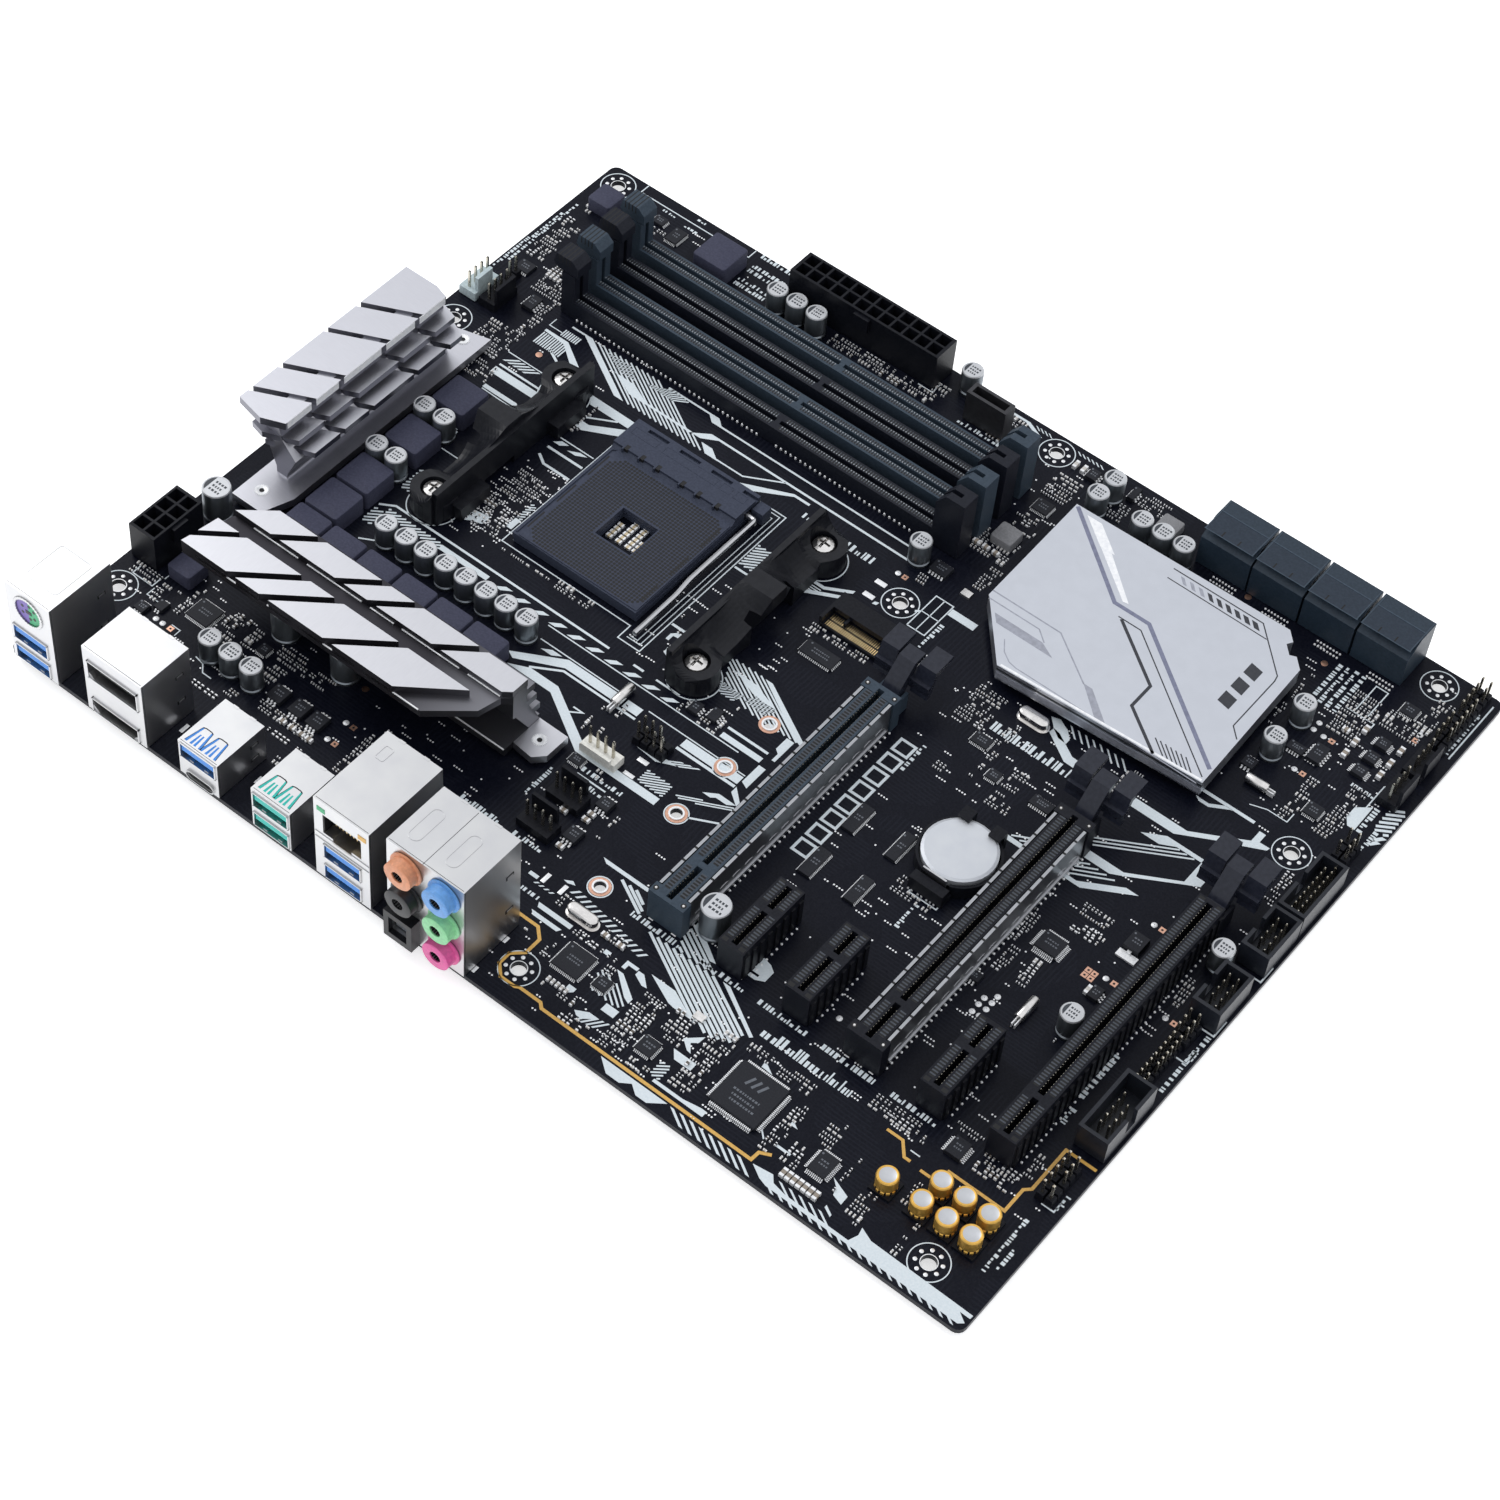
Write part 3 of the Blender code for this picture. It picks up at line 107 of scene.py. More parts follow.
class Builder:
    """Collects closed shapes in board millimetres and makes one mesh piece of them."""

    def __init__(self, name, *materials):
        self.name = name
        self.materials = materials
        self.verts = []
        self.faces = []
        self.slots = []
        self.smooth = []

    def add(self, verts, faces, slot=0, smooth=False):
        """One closed shape; slot is its material, or a list with one for each face."""
        first = len(self.verts)
        self.verts.extend(verts)
        self.faces.extend([first + index for index in face] for face in faces)
        self.slots.extend(slot if isinstance(slot, list) else [slot] * len(faces))
        self.smooth.extend([smooth] * len(faces))

    def stack(self, rings, slot=0, smooth=False):
        """A closed shape through rings of the same number of points, listed from the bottom up."""
        count = len(rings[0])
        last = count * (len(rings) - 1)
        faces = [tuple(range(count))[::-1], tuple(range(last, last + count))]
        for low in range(0, last, count):
            for index in range(count):
                after = (index + 1) % count
                faces.append((low + index, low + after, low + count + after, low + count + index))
        self.add([point for ring in rings for point in ring], faces, slot, smooth)

    def box(self, vs, us, zs, slot=0):
        verts = [(v, u, z) for z in zs for u in us for v in vs]
        faces = [(0, 2, 3, 1), (4, 5, 7, 6), (0, 1, 5, 4), (2, 6, 7, 3), (0, 4, 6, 2), (1, 3, 7, 5)]
        self.add(verts, faces, slot)

    def block(self, v, u, size, zs, turn=0.0, slot=0, taper=0.0):
        """An upright box centred on (v, u), turned by degrees, with its top edges drawn in."""
        cos, sin = math.cos(math.radians(turn)), math.sin(math.radians(turn))
        rings = []
        for z, inset in ((zs[0], 0.0), (zs[1], taper)):
            half_v, half_u = size[0] / 2 - inset, size[1] / 2 - inset
            rings.append([(v + x * cos - y * sin, u + x * sin + y * cos, z)
                          for x, y in rectangle(-half_v, half_v, -half_u, half_u)])
        self.stack(rings, slot)

    def extruded(self, outline, span, slot, place, flip=False):
        """An outline, either way round, thickened over a span; place puts (a, b, c) on the axes."""
        area = sum(a[0] * b[1] - b[0] * a[1] for a, b in zip(outline, outline[1:] + outline[:1]))
        if (area < 0) != flip:
            outline = outline[::-1]
        self.stack([[place(a, b, level) for a, b in outline] for level in span], slot)

    def prism(self, outline, zs, slot=0):
        """A (v, u) outline thickened along z."""
        self.extruded(outline, zs, slot, lambda a, b, c: (a, b, c))

    def side_panel(self, outline, vs, slot=0):
        """A (u, z) outline thickened along v."""
        self.extruded(outline, vs, slot, lambda a, b, c: (c, a, b))

    def front_panel(self, outline, us, slot=0):
        """A (v, z) outline thickened along u."""
        self.extruded(outline, us, slot, lambda a, b, c: (a, c, b), flip=True)

    def turned(self, place, profile, steps=24, slot=0, slots=None, axis="z", smooth=True):
        """A round solid from (radius, height) points, listed from the bottom to the top.

        place is (v, u), or (v, u, z) when the axis lies along v ("x") or down u ("y").
        """
        verts = []
        rings = []
        for radius, height in profile:
            points = arc((0.0, 0.0), radius, steps=steps) if radius else [(0.0, 0.0)]
            rings.append(range(len(verts), len(verts) + len(points)))
            verts += [(x, y, height) for x, y in points]
        faces = []
        face_slots = []
        for band, (low, high) in enumerate(zip(rings, rings[1:])):
            for step in range(steps):
                after = (step + 1) % steps
                if len(low) == 1:
                    faces.append((low[0], high[after], high[step]))
                elif len(high) == 1:
                    faces.append((low[step], low[after], high[0]))
                else:
                    faces.append((low[step], low[after], high[after], high[step]))
                face_slots.append(slots[band] if slots else slot)
        if axis == "y":
            verts = [(x, z, -y) for x, y, z in verts]
        elif axis == "x":
            verts = [(z, x, y) for x, y, z in verts]
        v, u, base = (*place, 0.0)[:3]
        self.add([(v + x, u + y, base + z) for x, y, z in verts], faces, face_slots, smooth)

    def disc(self, place, radius, zs, steps, slot=0, axis="z", smooth=True):
        """A plain short cylinder."""
        self.turned(place, [(0, zs[0]), (radius, zs[0]), (radius, zs[1]), (0, zs[1])], steps, slot,
                    axis=axis, smooth=smooth)

    def stroke(self, path, width, zs, slot=0, closed=False):
        """A line of one width along (v, u) points with mitred corners."""
        points = [Vector(p) for p in path]
        count = len(points)
        left, right = [], []
        for index, point in enumerate(points):
            if closed:
                before, after = points[index - 1], points[(index + 1) % count]
            else:
                before, after = points[max(index - 1, 0)], points[min(index + 1, count - 1)]
            into = (point - before).normalized() if (point - before).length > 1e-9 else None
            out = (after - point).normalized() if (after - point).length > 1e-9 else None
            into = into or out
            out = out or into
            bisector = into + out
            if bisector.length < 1e-6:
                bisector = Vector((-into.y, into.x))
            bisector.normalize()
            normal = Vector((-bisector.y, bisector.x))
            reach = width / 2 / max(0.35, normal.dot(Vector((-into.y, into.x))))
            left.append(point + normal * reach)
            right.append(point - normal * reach)
        low, high = zs
        verts = []
        for a, b in zip(left, right):
            verts += [(a.x, a.y, low), (b.x, b.y, low), (b.x, b.y, high), (a.x, a.y, high)]
        faces = []
        for index in range(count if closed else count - 1):
            i = 4 * index
            j = 4 * ((index + 1) % count)
            faces += [(i + 3, i + 2, j + 2, j + 3), (i, j, j + 1, i + 1),
                      (i + 1, j + 1, j + 2, i + 2), (i, i + 3, j + 3, j)]
        if not closed:
            end = 4 * (count - 1)
            faces += [(0, 1, 2, 3), (end + 3, end + 2, end + 1, end)]
        self.add(verts, faces, slot)

    def ring(self, v, u, inner, outer, zs, steps=32, slot=0):
        """A flat washer."""
        self.stroke(arc((v, u), (inner + outer) / 2, steps=steps), outer - inner, zs, slot, closed=True)

    def make(self, body="board"):
        """Makes the piece, which rides on the named body."""
        mesh = bpy.data.meshes.new(self.name)
        placed = [(CORNER.x + v * MM, CORNER.y + u * MM, CORNER.z + z * MM) for v, u, z in self.verts]
        mesh.from_pydata(placed, [], self.faces)
        for material in self.materials:
            mesh.materials.append(material)
        mesh.polygons.foreach_set("material_index", self.slots)
        mesh.polygons.foreach_set("use_smooth", self.smooth)
        mesh.update()
        if any(self.smooth):
            mesh.set_sharp_from_angle(angle=math.radians(38))
        piece = bpy.data.objects.new(self.name, mesh)
        bpy.context.scene.collection.objects.link(piece)
        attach(piece, body)


# ---------------------------------------------------------------- materials

def add_node(tree, kind, **values):
    """A shader node with its settings or, by name, its inputs set."""
    node = tree.nodes.new(kind)
    for key, value in values.items():
        if hasattr(node, key):
            setattr(node, key, value)
        else:
            node.inputs[key.replace("_", " ")].default_value = value
    return node


BUMP_DEPTH = 0.0002


def surface(name, colour, roughness, metallic=0.0, second=None, scale=900.0, stretch=(1, 1, 1),
            bump=0.1, spread=0.1, detail=4.0, gloss=0.5):
    """A surface whose colour, roughness and bump vary with fine noise.

    second is the colour that the noise mixes in; stretch squashes the noise into grain.
    """
    material = bpy.data.materials.new(name)
    material.use_nodes = True
    tree = material.node_tree
    shader = tree.nodes["Principled BSDF"]
    shader.inputs["Metallic"].default_value = metallic
    shader.inputs["Specular IOR Level"].default_value = gloss
    place = add_node(tree, "ShaderNodeTexCoord")
    mapping = add_node(tree, "ShaderNodeMapping", Scale=stretch)
    noise = add_node(tree, "ShaderNodeTexNoise", Scale=scale, Detail=detail)
    tree.links.new(place.outputs["Object"], mapping.inputs["Vector"])
    tree.links.new(mapping.outputs["Vector"], noise.inputs["Vector"])
    if second is None:
        second = tuple(min(1.0, c * 1.25 + 0.004) for c in colour)
    ramp = add_node(tree, "ShaderNodeValToRGB")
    ramp.color_ramp.elements[0].position = 0.35
    ramp.color_ramp.elements[1].position = 0.68
    ramp.color_ramp.elements[0].color = (*colour, 1.0)
    ramp.color_ramp.elements[1].color = (*second, 1.0)
    tree.links.new(noise.outputs["Fac"], ramp.inputs["Fac"])
    tree.links.new(ramp.outputs["Color"], shader.inputs["Base Color"])
    rough = add_node(tree, "ShaderNodeMapRange", To_Min=max(0.02, roughness - spread),
                     To_Max=min(1.0, roughness + spread))
    tree.links.new(noise.outputs["Fac"], rough.inputs["Value"])
    tree.links.new(rough.outputs["Result"], shader.inputs["Roughness"])
    relief = add_node(tree, "ShaderNodeBump", Strength=bump, Distance=BUMP_DEPTH)
    tree.links.new(noise.outputs["Fac"], relief.inputs["Height"])
    tree.links.new(relief.outputs["Normal"], shader.inputs["Normal"])
    return material


def mix_by(material, mask_builder, colour, roughness=None, metallic=None):
    """Lays a second colour over a surface where mask_builder(tree) says 1."""
    tree = material.node_tree
    shader = tree.nodes["Principled BSDF"]
    mask = mask_builder(tree)
    mix = add_node(tree, "ShaderNodeMix", data_type="RGBA")
    base = shader.inputs["Base Color"].links[0].from_socket
    tree.links.new(mask, mix.inputs[0])
    tree.links.new(base, mix.inputs[6])
    mix.inputs[7].default_value = (*colour, 1.0)
    tree.links.new(mix.outputs[2], shader.inputs["Base Color"])
    for socket, value in (("Roughness", roughness), ("Metallic", metallic)):
        if value is None:
            continue
        blend = add_node(tree, "ShaderNodeMix", data_type="FLOAT")
        tree.links.new(mask, blend.inputs[0])
        if shader.inputs[socket].links:
            tree.links.new(shader.inputs[socket].links[0].from_socket, blend.inputs[2])
        else:
            blend.inputs[2].default_value = shader.inputs[socket].default_value
        blend.inputs[3].default_value = value
        tree.links.new(blend.outputs[0], shader.inputs[socket])
    return material


def maths(tree, operation, first, second=0.0):
    """A math node's output; first and second are numbers or sockets."""
    node = add_node(tree, "ShaderNodeMath", operation=operation)
    for socket, value in zip(node.inputs, (first, second)):
        if isinstance(value, (int, float)):
            socket.default_value = value
        else:
            tree.links.new(value, socket)
    return node.outputs[0]


def axes_of(tree, source="Object"):
    """The x, y and z sockets of one kind of texture coordinate."""
    place = add_node(tree, "ShaderNodeTexCoord")
    split = add_node(tree, "ShaderNodeSeparateXYZ")
    tree.links.new(place.outputs[source], split.inputs[0])
    return split.outputs


BLACK_PLASTIC = surface("black_plastic", (0.0050, 0.0056, 0.0090), 0.40, scale=1500, bump=0.12, gloss=0.16)
SLATE_PLASTIC = surface("slate_plastic", (0.034, 0.050, 0.070), 0.42, scale=1500, bump=0.12, gloss=0.22)
SMOKE_PLASTIC = surface("smoke_plastic", (0.014, 0.016, 0.026), 0.22, scale=900, bump=0.05, gloss=0.35)
SOCKET_PLASTIC = surface("socket_plastic_grey", (0.038, 0.045, 0.070), 0.5, scale=1500, bump=0.15, gloss=0.18)
WHITE_PLASTIC = surface("white_plastic", (0.70, 0.69, 0.64), 0.45, scale=1200, bump=0.08)
STEEL = surface("bright_steel_sheet", (0.56, 0.56, 0.58), 0.28, 1.0, second=(0.62, 0.62, 0.63),
                scale=300, stretch=(1, 0.2, 1), bump=0.015, spread=0.04)
SHELL_STEEL = surface("port_shell_steel", (0.60, 0.60, 0.61), 0.32, 1.0, second=(0.63, 0.63, 0.63),
                      scale=160, bump=0.008, spread=0.03)
DARK_STEEL = surface("dark_steel_plate", (0.05, 0.05, 0.055), 0.45, 0.7, scale=600, bump=0.1)
SCREW_STEEL = surface("screw_nickel", (0.70, 0.68, 0.66), 0.30, 1.0, scale=300, bump=0.01)
CELL_STEEL = surface("cell_steel", (0.62, 0.64, 0.68), 0.55, 0.7, second=(0.66, 0.68, 0.71), scale=220,
                     bump=0.012, spread=0.03)
PAD = surface("pad_rubber", (0.30, 0.30, 0.31), 0.8, scale=1200, bump=0.3)
CHIP = surface("chip_epoxy", (0.012, 0.013, 0.018), 0.5, scale=2600, bump=0.2, gloss=0.22)
SILK_WHITE = surface("silk_white", (0.66, 0.73, 0.77), 0.55, scale=1800, bump=0.05,
                     second=(0.74, 0.80, 0.83))
SILK_GOLD = surface("silk_gold", (0.62, 0.36, 0.08), 0.4, scale=1800, bump=0.05)
TIN = surface("solder_tin", (0.82, 0.83, 0.85), 0.45, 0.4, scale=2500, bump=0.1)
COPPER = surface("copper_pad", (0.62, 0.36, 0.26), 0.35, 1.0, scale=1500, bump=0.1)
GOLD = surface("gold_contact", (0.80, 0.60, 0.30), 0.3, 1.0, scale=1500, bump=0.1)
CAP_BROWN = surface("ceramic_brown", (0.10, 0.085, 0.070), 0.4, scale=1500, bump=0.1)
CAP_TAN = surface("ceramic_tan", (0.26, 0.22, 0.18), 0.4, scale=1500, bump=0.1)
CAP_WHITE = surface("ceramic_light", (0.52, 0.50, 0.47), 0.4, scale=1500, bump=0.1)
CHOKE = surface("choke_grey", (0.046, 0.048, 0.078), 0.6, scale=1700, bump=0.35, gloss=0.18)
CHOKE_METAL = surface("inductor_grey", (0.20, 0.20, 0.21), 0.5, scale=1700, bump=0.35)
CAN_TOP = surface("can_top", (0.58, 0.59, 0.61), 0.4, 0.5, second=(0.62, 0.63, 0.65), scale=600,
                  bump=0.02)
CAN_SIDE = surface("can_sleeve", (0.20, 0.22, 0.24), 0.34, 0.9, scale=300, stretch=(1, 1, 0.2),
                   bump=0.06)
CAN_MARK = surface("can_mark", (0.03, 0.035, 0.045), 0.4, scale=900, bump=0.05)
GOLD_SLEEVE = surface("gold_sleeve", (0.78, 0.46, 0.10), 0.34, 0.75, scale=600, bump=0.06)
# Near-black painted shade for the insides of holes, mouths, gaps and recesses that the geometry doesn't open.
HOLE_SHADE = surface("painted_hole_shade", (0.004, 0.004, 0.005), 0.7, scale=900, bump=0.05)


def board_mask():
    """Black solder mask with faint tracks under it."""
    material = surface("solder_mask", (0.0028, 0.0035, 0.0085), 0.30, scale=2200, bump=0.06,
                       spread=0.05, gloss=0.12)

    def tracks(tree):
        x, y, _ = axes_of(tree)
        place = add_node(tree, "ShaderNodeTexCoord")
        bend = add_node(tree, "ShaderNodeTexNoise", Scale=22.0, Detail=0.0)
        tree.links.new(place.outputs["Object"], bend.inputs["Vector"])
        step = maths(tree, "SNAP", bend.outputs["Fac"], 0.07)
        lines = []
        for across, pitch in ((y, 0.0011), (x, 0.0013)):
            shifted = maths(tree, "ADD", across, maths(tree, "MULTIPLY", step, 0.004))
            phase = maths(tree, "FRACT", maths(tree, "DIVIDE", shifted, pitch))
            lines.append(maths(tree, "GREATER_THAN", phase, 0.62))
        patch = add_node(tree, "ShaderNodeTexNoise", Scale=34.0, Detail=1.0)
        tree.links.new(place.outputs["Object"], patch.inputs["Vector"])
        first = maths(tree, "GREATER_THAN", patch.outputs["Fac"], 0.56)
        second = maths(tree, "LESS_THAN", patch.outputs["Fac"], 0.42)
        both = maths(tree, "MAXIMUM", maths(tree, "MULTIPLY", lines[0], first),
                     maths(tree, "MULTIPLY", lines[1], second))
        return maths(tree, "MULTIPLY", both, 0.4)

    return mix_by(material, tracks, (0.013, 0.015, 0.024))


MASK = board_mask()


def heat_sink_metal(name, colour, grain):
    """Silver aluminium, brushed along one axis."""
    return surface(name, colour, 0.36, 1.0, scale=260, stretch=grain, bump=0.02, spread=0.05,
                   second=tuple(min(1, c * 1.04) for c in colour), detail=6)


SINK_SIDE = heat_sink_metal("side_sink_metal", (0.60, 0.60, 0.64), (1.0, 18.0, 8.0))
SINK_REAR = heat_sink_metal("rear_sink_metal", (0.58, 0.58, 0.61), (14.0, 1.0, 8.0))
SINK_CHIPSET = heat_sink_metal("chipset_sink_metal", (0.62, 0.64, 0.69), (1.0, 1.0, 1.0))


def facing(tree):
    """The three parts of the way a face looks."""
    geometry = add_node(tree, "ShaderNodeNewGeometry")
    split = add_node(tree, "ShaderNodeSeparateXYZ")
    tree.links.new(geometry.outputs["Normal"], split.inputs[0])
    return split.outputs


REAR_PLATE_LOW = 0.0256
REAR_TAB_START = 0.1194
SIDE_FOOT_TOP = 0.0062
FADE_START, FADE_END = 0.096, 0.119


def black_layer_and_wall_shade(tree):
    """1 on the rear heat sink's black lower layer and on its walls, 0 on the tops of its silver plates, its
    tab and its back. The lower layer's black is its own; on the walls, the silver plates' edges among them,
    the dark is painted shade.
    """
    x, _, z = axes_of(tree)
    _, rearward, upward = facing(tree)
    up = maths(tree, "GREATER_THAN", upward, 0.7)
    high = maths(tree, "GREATER_THAN", z, REAR_PLATE_LOW)
    tab = maths(tree, "GREATER_THAN", x, CORNER.x + REAR_TAB_START)
    back = maths(tree, "GREATER_THAN", rearward, 0.5)
    silver = maths(tree, "MAXIMUM", maths(tree, "MULTIPLY", up, high), maths(tree, "MAXIMUM", tab, back))
    return maths(tree, "SUBTRACT", 1.0, silver)


def painted_flank_shade(tree):
    """1 on the side heat sink's risers and plate edges, 0 on the faces that look up; the dark it lays on
    those steep faces is painted shade.
    """
    steep = maths(tree, "LESS_THAN", facing(tree)[2], 0.5)
    return maths(tree, "MULTIPLY", steep, maths(tree, "GREATER_THAN", axes_of(tree)[2], SIDE_FOOT_TOP))


def far_end_highlight(tree):
    """Fades from 0 to 1 over the last stretch of the rear heat sink's lower layer, where it lays a painted
    highlight.
    """
    fade = add_node(tree, "ShaderNodeMapRange", From_Min=CORNER.x + FADE_START, From_Max=CORNER.x + FADE_END)
    tree.links.new(axes_of(tree)[0], fade.inputs["Value"])
    return maths(tree, "MULTIPLY", fade.outputs[0], black_layer_and_wall_shade(tree))


# Dark metal: the lower layer's own black, and painted shade on the walls and plate edges.
mix_by(SINK_REAR, black_layer_and_wall_shade, (0.035, 0.033, 0.040), roughness=0.42, metallic=0.75)
# Painted highlight: lighter metal over the far end of that dark.
mix_by(SINK_REAR, far_end_highlight, (0.22, 0.22, 0.24), roughness=0.36, metallic=1.0)
# Painted shade: darker metal on the side sink's steep faces.
mix_by(SINK_SIDE, painted_flank_shade, (0.20, 0.20, 0.23), roughness=0.34)
SHIELD_STEEL = surface("shield_steel", (0.40, 0.41, 0.43), 0.34, 1.0, second=(0.46, 0.47, 0.49),
                       scale=120, bump=0.01, spread=0.03)
BRACKET_PLASTIC = surface("bracket_plastic", (0.0042, 0.0048, 0.0080), 0.40, scale=700,
                          bump=0.02, gloss=0.3)
DIMM_BLACK = surface("memory_slot_black", (0.0075, 0.0090, 0.0155), 0.42, scale=1500,
                     bump=0.08, gloss=0.2)
SLOT_BLACK = surface("expansion_slot_black", (0.0052, 0.0060, 0.0105), 0.40, scale=1500,
                     bump=0.08, gloss=0.2)
HEADER_BLACK = surface("header_black", (0.010, 0.012, 0.018), 0.36, scale=1500, bump=0.08, gloss=0.35)
FAN_WHITE = surface("fan_header_white", (0.42, 0.50, 0.52), 0.45, scale=1200, bump=0.08)
SHUTTER_GREY = surface("shutter_grey", (0.10, 0.11, 0.13), 0.25, scale=900, bump=0.04)
SLATE_DARK = surface("storage_slate", (0.020, 0.033, 0.050), 0.38, scale=1500, bump=0.1, gloss=0.3)

NODE_SURFACES = [
    (MASK, ["pcb"]), (SHIELD_STEEL, ["slot_shield"]), (SCREW_STEEL, ["bracket_screw"]),
    (STEEL, ["socket_lever", "battery_contact"]), (CELL_STEEL, ["coin_cell"]),
    (DARK_STEEL, ["cpu_backplate", "front_usb_header"]), (SHELL_STEEL, ["io_"]),
    (SINK_SIDE, ["vrm_heatsink_side"]), (SINK_REAR, ["vrm_heatsink_rear"]),
    (SINK_CHIPSET, ["chipset_heatsink"]), (CHIP, ["chipset_chip", "super_io_chip"]),
    (PAD, ["vrm_pad"]), (SOCKET_PLASTIC, ["socket_base", "socket_cover"]),
    (BRACKET_PLASTIC, ["cooler_bracket"]), (FAN_WHITE, ["cpu_fan_header"]),
    (SLATE_PLASTIC, ["dimm_slot_2", "dimm_slot_4", "dimm_latch_2", "dimm_latch_4", "pcie_x16_slot_1"]),
    (DIMM_BLACK, ["dimm_slot_1", "dimm_slot_3", "dimm_latch_1", "dimm_latch_3"]),
    (SLOT_BLACK, ["pcie_x16_slot_2", "pcie_x16_slot_3", "pcie_x1_slot"]),
    (HEADER_BLACK, ["usb3_header", "usb2_header", "com_header"]), (SLATE_DARK, ["sata_block"]),
    (SHUTTER_GREY, ["spdif_shutter"]), (SMOKE_PLASTIC, ["pcie_x16_clip"]),
]


def paint_frame():
    """Gives each of the frame's solids its own surface; the rest are black plastic."""
    for name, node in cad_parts.items():
        found = [material for material, starts in NODE_SURFACES if name.startswith(tuple(starts))]
        node.data.materials.clear()
        node.data.materials.append(found[0] if found else BLACK_PLASTIC)


# ---------------------------------------------------------------- parts that stand on the board

CAN_RANDOM = random.Random(16)
CAN_RADIUS, CAN_TOP_Z = 3.15, 10.0
BIG_CAN_RADIUS, BIG_CAN_TOP_Z = 4.0, 12.5
GOLD_CAN_RADIUS, GOLD_CAN_TOP_Z = 2.85, 7.2
CAN_MARK_TURN = 180


def can(builder, v, u, radius, top):
    """An aluminium polymer capacitor: base groove, sleeve, rolled rim and a dark segment."""
    rim = radius - 0.25
    profile = [(0, SEAT), (radius - 0.1, SEAT), (radius, SEAT + 0.3), (radius, SEAT + 0.9),
               (radius - 0.35, SEAT + 1.2), (radius - 0.35, SEAT + 1.4), (radius, SEAT + 1.7),
               (radius, top - 0.35), (rim, top), (rim - 0.25, top), (rim - 0.35, top - 0.08),
               (0, top - 0.08)]
    builder.turned((v, u), profile, 28, slots=[0] * 7 + [1] * 4)
    mark = (top - 0.1, top - 0.055)
    builder.prism(arc((v, u), rim - 0.4, CAN_MARK_TURN - 52, CAN_MARK_TURN + 52, 10), mark, 2)
    for row in range(3):
        start = v - 0.32 * radius
        level = u + (0.34 - 0.36 * row) * radius
        while start < v + 0.52 * radius:
            width = CAN_RANDOM.uniform(0.10, 0.2) * radius
            builder.box((start, start + width), (level - 0.09 * radius, level + 0.09 * radius), mark, 2)
            start += width + 0.09 * radius


def gold_can(builder, v, u):
    """An audio capacitor: a square foot, a gilt sleeve with a pinched waist and notches round it."""
    radius, top = GOLD_CAN_RADIUS, GOLD_CAN_TOP_Z
    builder.block(v, u, (6.2, 6.2), (SEAT, SEAT + 0.7), 0, 2)
    profile = [(0, SEAT), (radius, SEAT + 0.6), (radius, SEAT + 1.4), (radius - 0.3, SEAT + 1.7),
               (radius, SEAT + 2.0), (radius, top - 0.3), (radius - 0.25, top), (radius - 0.6, top),
               (radius - 0.7, top - 0.06), (0, top - 0.06)]
    builder.turned((v, u), profile, 28, slots=[0] * 8 + [1])
    for index, place in enumerate(arc((v, u), radius, steps=12)):
        builder.block(*place, (0.06, 0.5), (SEAT + 0.8, SEAT + 1.9), 30 * index, 2)


CAN_ROW_V = [43.5, 50.6, 57.5, 64.6, 71.6, 78.7, 85.7, 92.8]
CAN_ROW_U = 95.8
CAN_TOPS = [(v, CAN_ROW_U) for v in CAN_ROW_V] + [
    (22.2, 135.1), (29.3, 135.1), (22.2, 115.6), (29.1, 115.6), (154.7, 186.9),
    (66.9, 235.9), (73.9, 235.9), (81.0, 235.9), (127.7, 247.7), (181.3, 241.1), (180.7, 233.7),
    (195.4, 233.7), (202.3, 233.7), (209.2, 233.7), (264.2, 209.3), (264.2, 194.9), (291.3, 129.4),
    (273.7, 88.8), (36.0, 36.3), (43.2, 36.3), (50.5, 36.3),
]
BIG_CAN_TOPS = [(1.3, 75.0), (188.3, 56.5)]
HIDDEN_BIG_CANS = [(50.3, 50.0), (71.0, 50.0)]
GOLD_CAN_TOPS = [(277.5, 30.0), (284.3, 30.1), (291.4, 30.1), (267.0, 22.7), (277.0, 22.8),
                 (284.3, 22.8), (291.4, 22.8)]


def make_cans():
    cans = Builder("capacitors", CAN_SIDE, CAN_TOP, CAN_MARK)
    for v, u in CAN_TOPS:
        can(cans, *from_view(v, u, CAN_TOP_Z), CAN_RADIUS, CAN_TOP_Z)
    for v, u in BIG_CAN_TOPS:
        can(cans, *from_view(v, u, BIG_CAN_TOP_Z), BIG_CAN_RADIUS, BIG_CAN_TOP_Z)
    for v, u in HIDDEN_BIG_CANS:
        can(cans, v, u, BIG_CAN_RADIUS, BIG_CAN_TOP_Z)
    cans.make()
    gold = Builder("audio_capacitors", GOLD_SLEEVE, CAN_TOP, BLACK_PLASTIC)
    for v, u in GOLD_CAN_TOPS:
        gold_can(gold, *from_view(v, u, GOLD_CAN_TOP_Z))
    gold.make()


def rounded_block(builder, low, high, top, corner):
    """A moulded block between two corners as seen in the view, its upper edge rounded too."""
    (v0, u0), (v1, u1) = from_view(*low, top), from_view(*high, top)
    rings = []
    for z, inset in ((SEAT, 0.0), (top - MOULD_EDGE, 0.0), (top - MOULD_EDGE * 0.3, MOULD_EDGE * 0.3),
                     (top, MOULD_EDGE)):
        radius = corner - min(inset, corner * 0.7)
        rings.append([(v, u, z) for v, u in rounded_rectangle((v0, v1), (u0, u1), corner, radius)])
    builder.stack(rings, 0, smooth=True)


MOULD_EDGE = 0.5
CHOKE_TOP, SMALL_CHOKE_TOP, INDUCTOR_TOP = 7.8, 6.2, 4.6
CHOKE_COLUMN_V = (21.6, 33.1)
CHOKE_COLUMN_U = [(138.2, 149.8), (118.9, 130.2), (99.5, 111.0), (87.2, 98.7)]
CHOKE_ROW_V = [21.5, 34.0, 46.5, 59.0, 71.4, 83.8]
CHOKE_ROW_U = (75.0, 86.5)
LONE_CHOKES = [((39.5, 51.2), (230.8, 242.5)), ((2.5, 10.5), (228.0, 236.2)), ((10.5, 18.6), (46.5, 54.2))]
INDUCTORS = [((167.3, 174.2), (201.0, 207.7)), ((199.0, 205.5), (234.0, 240.0))]


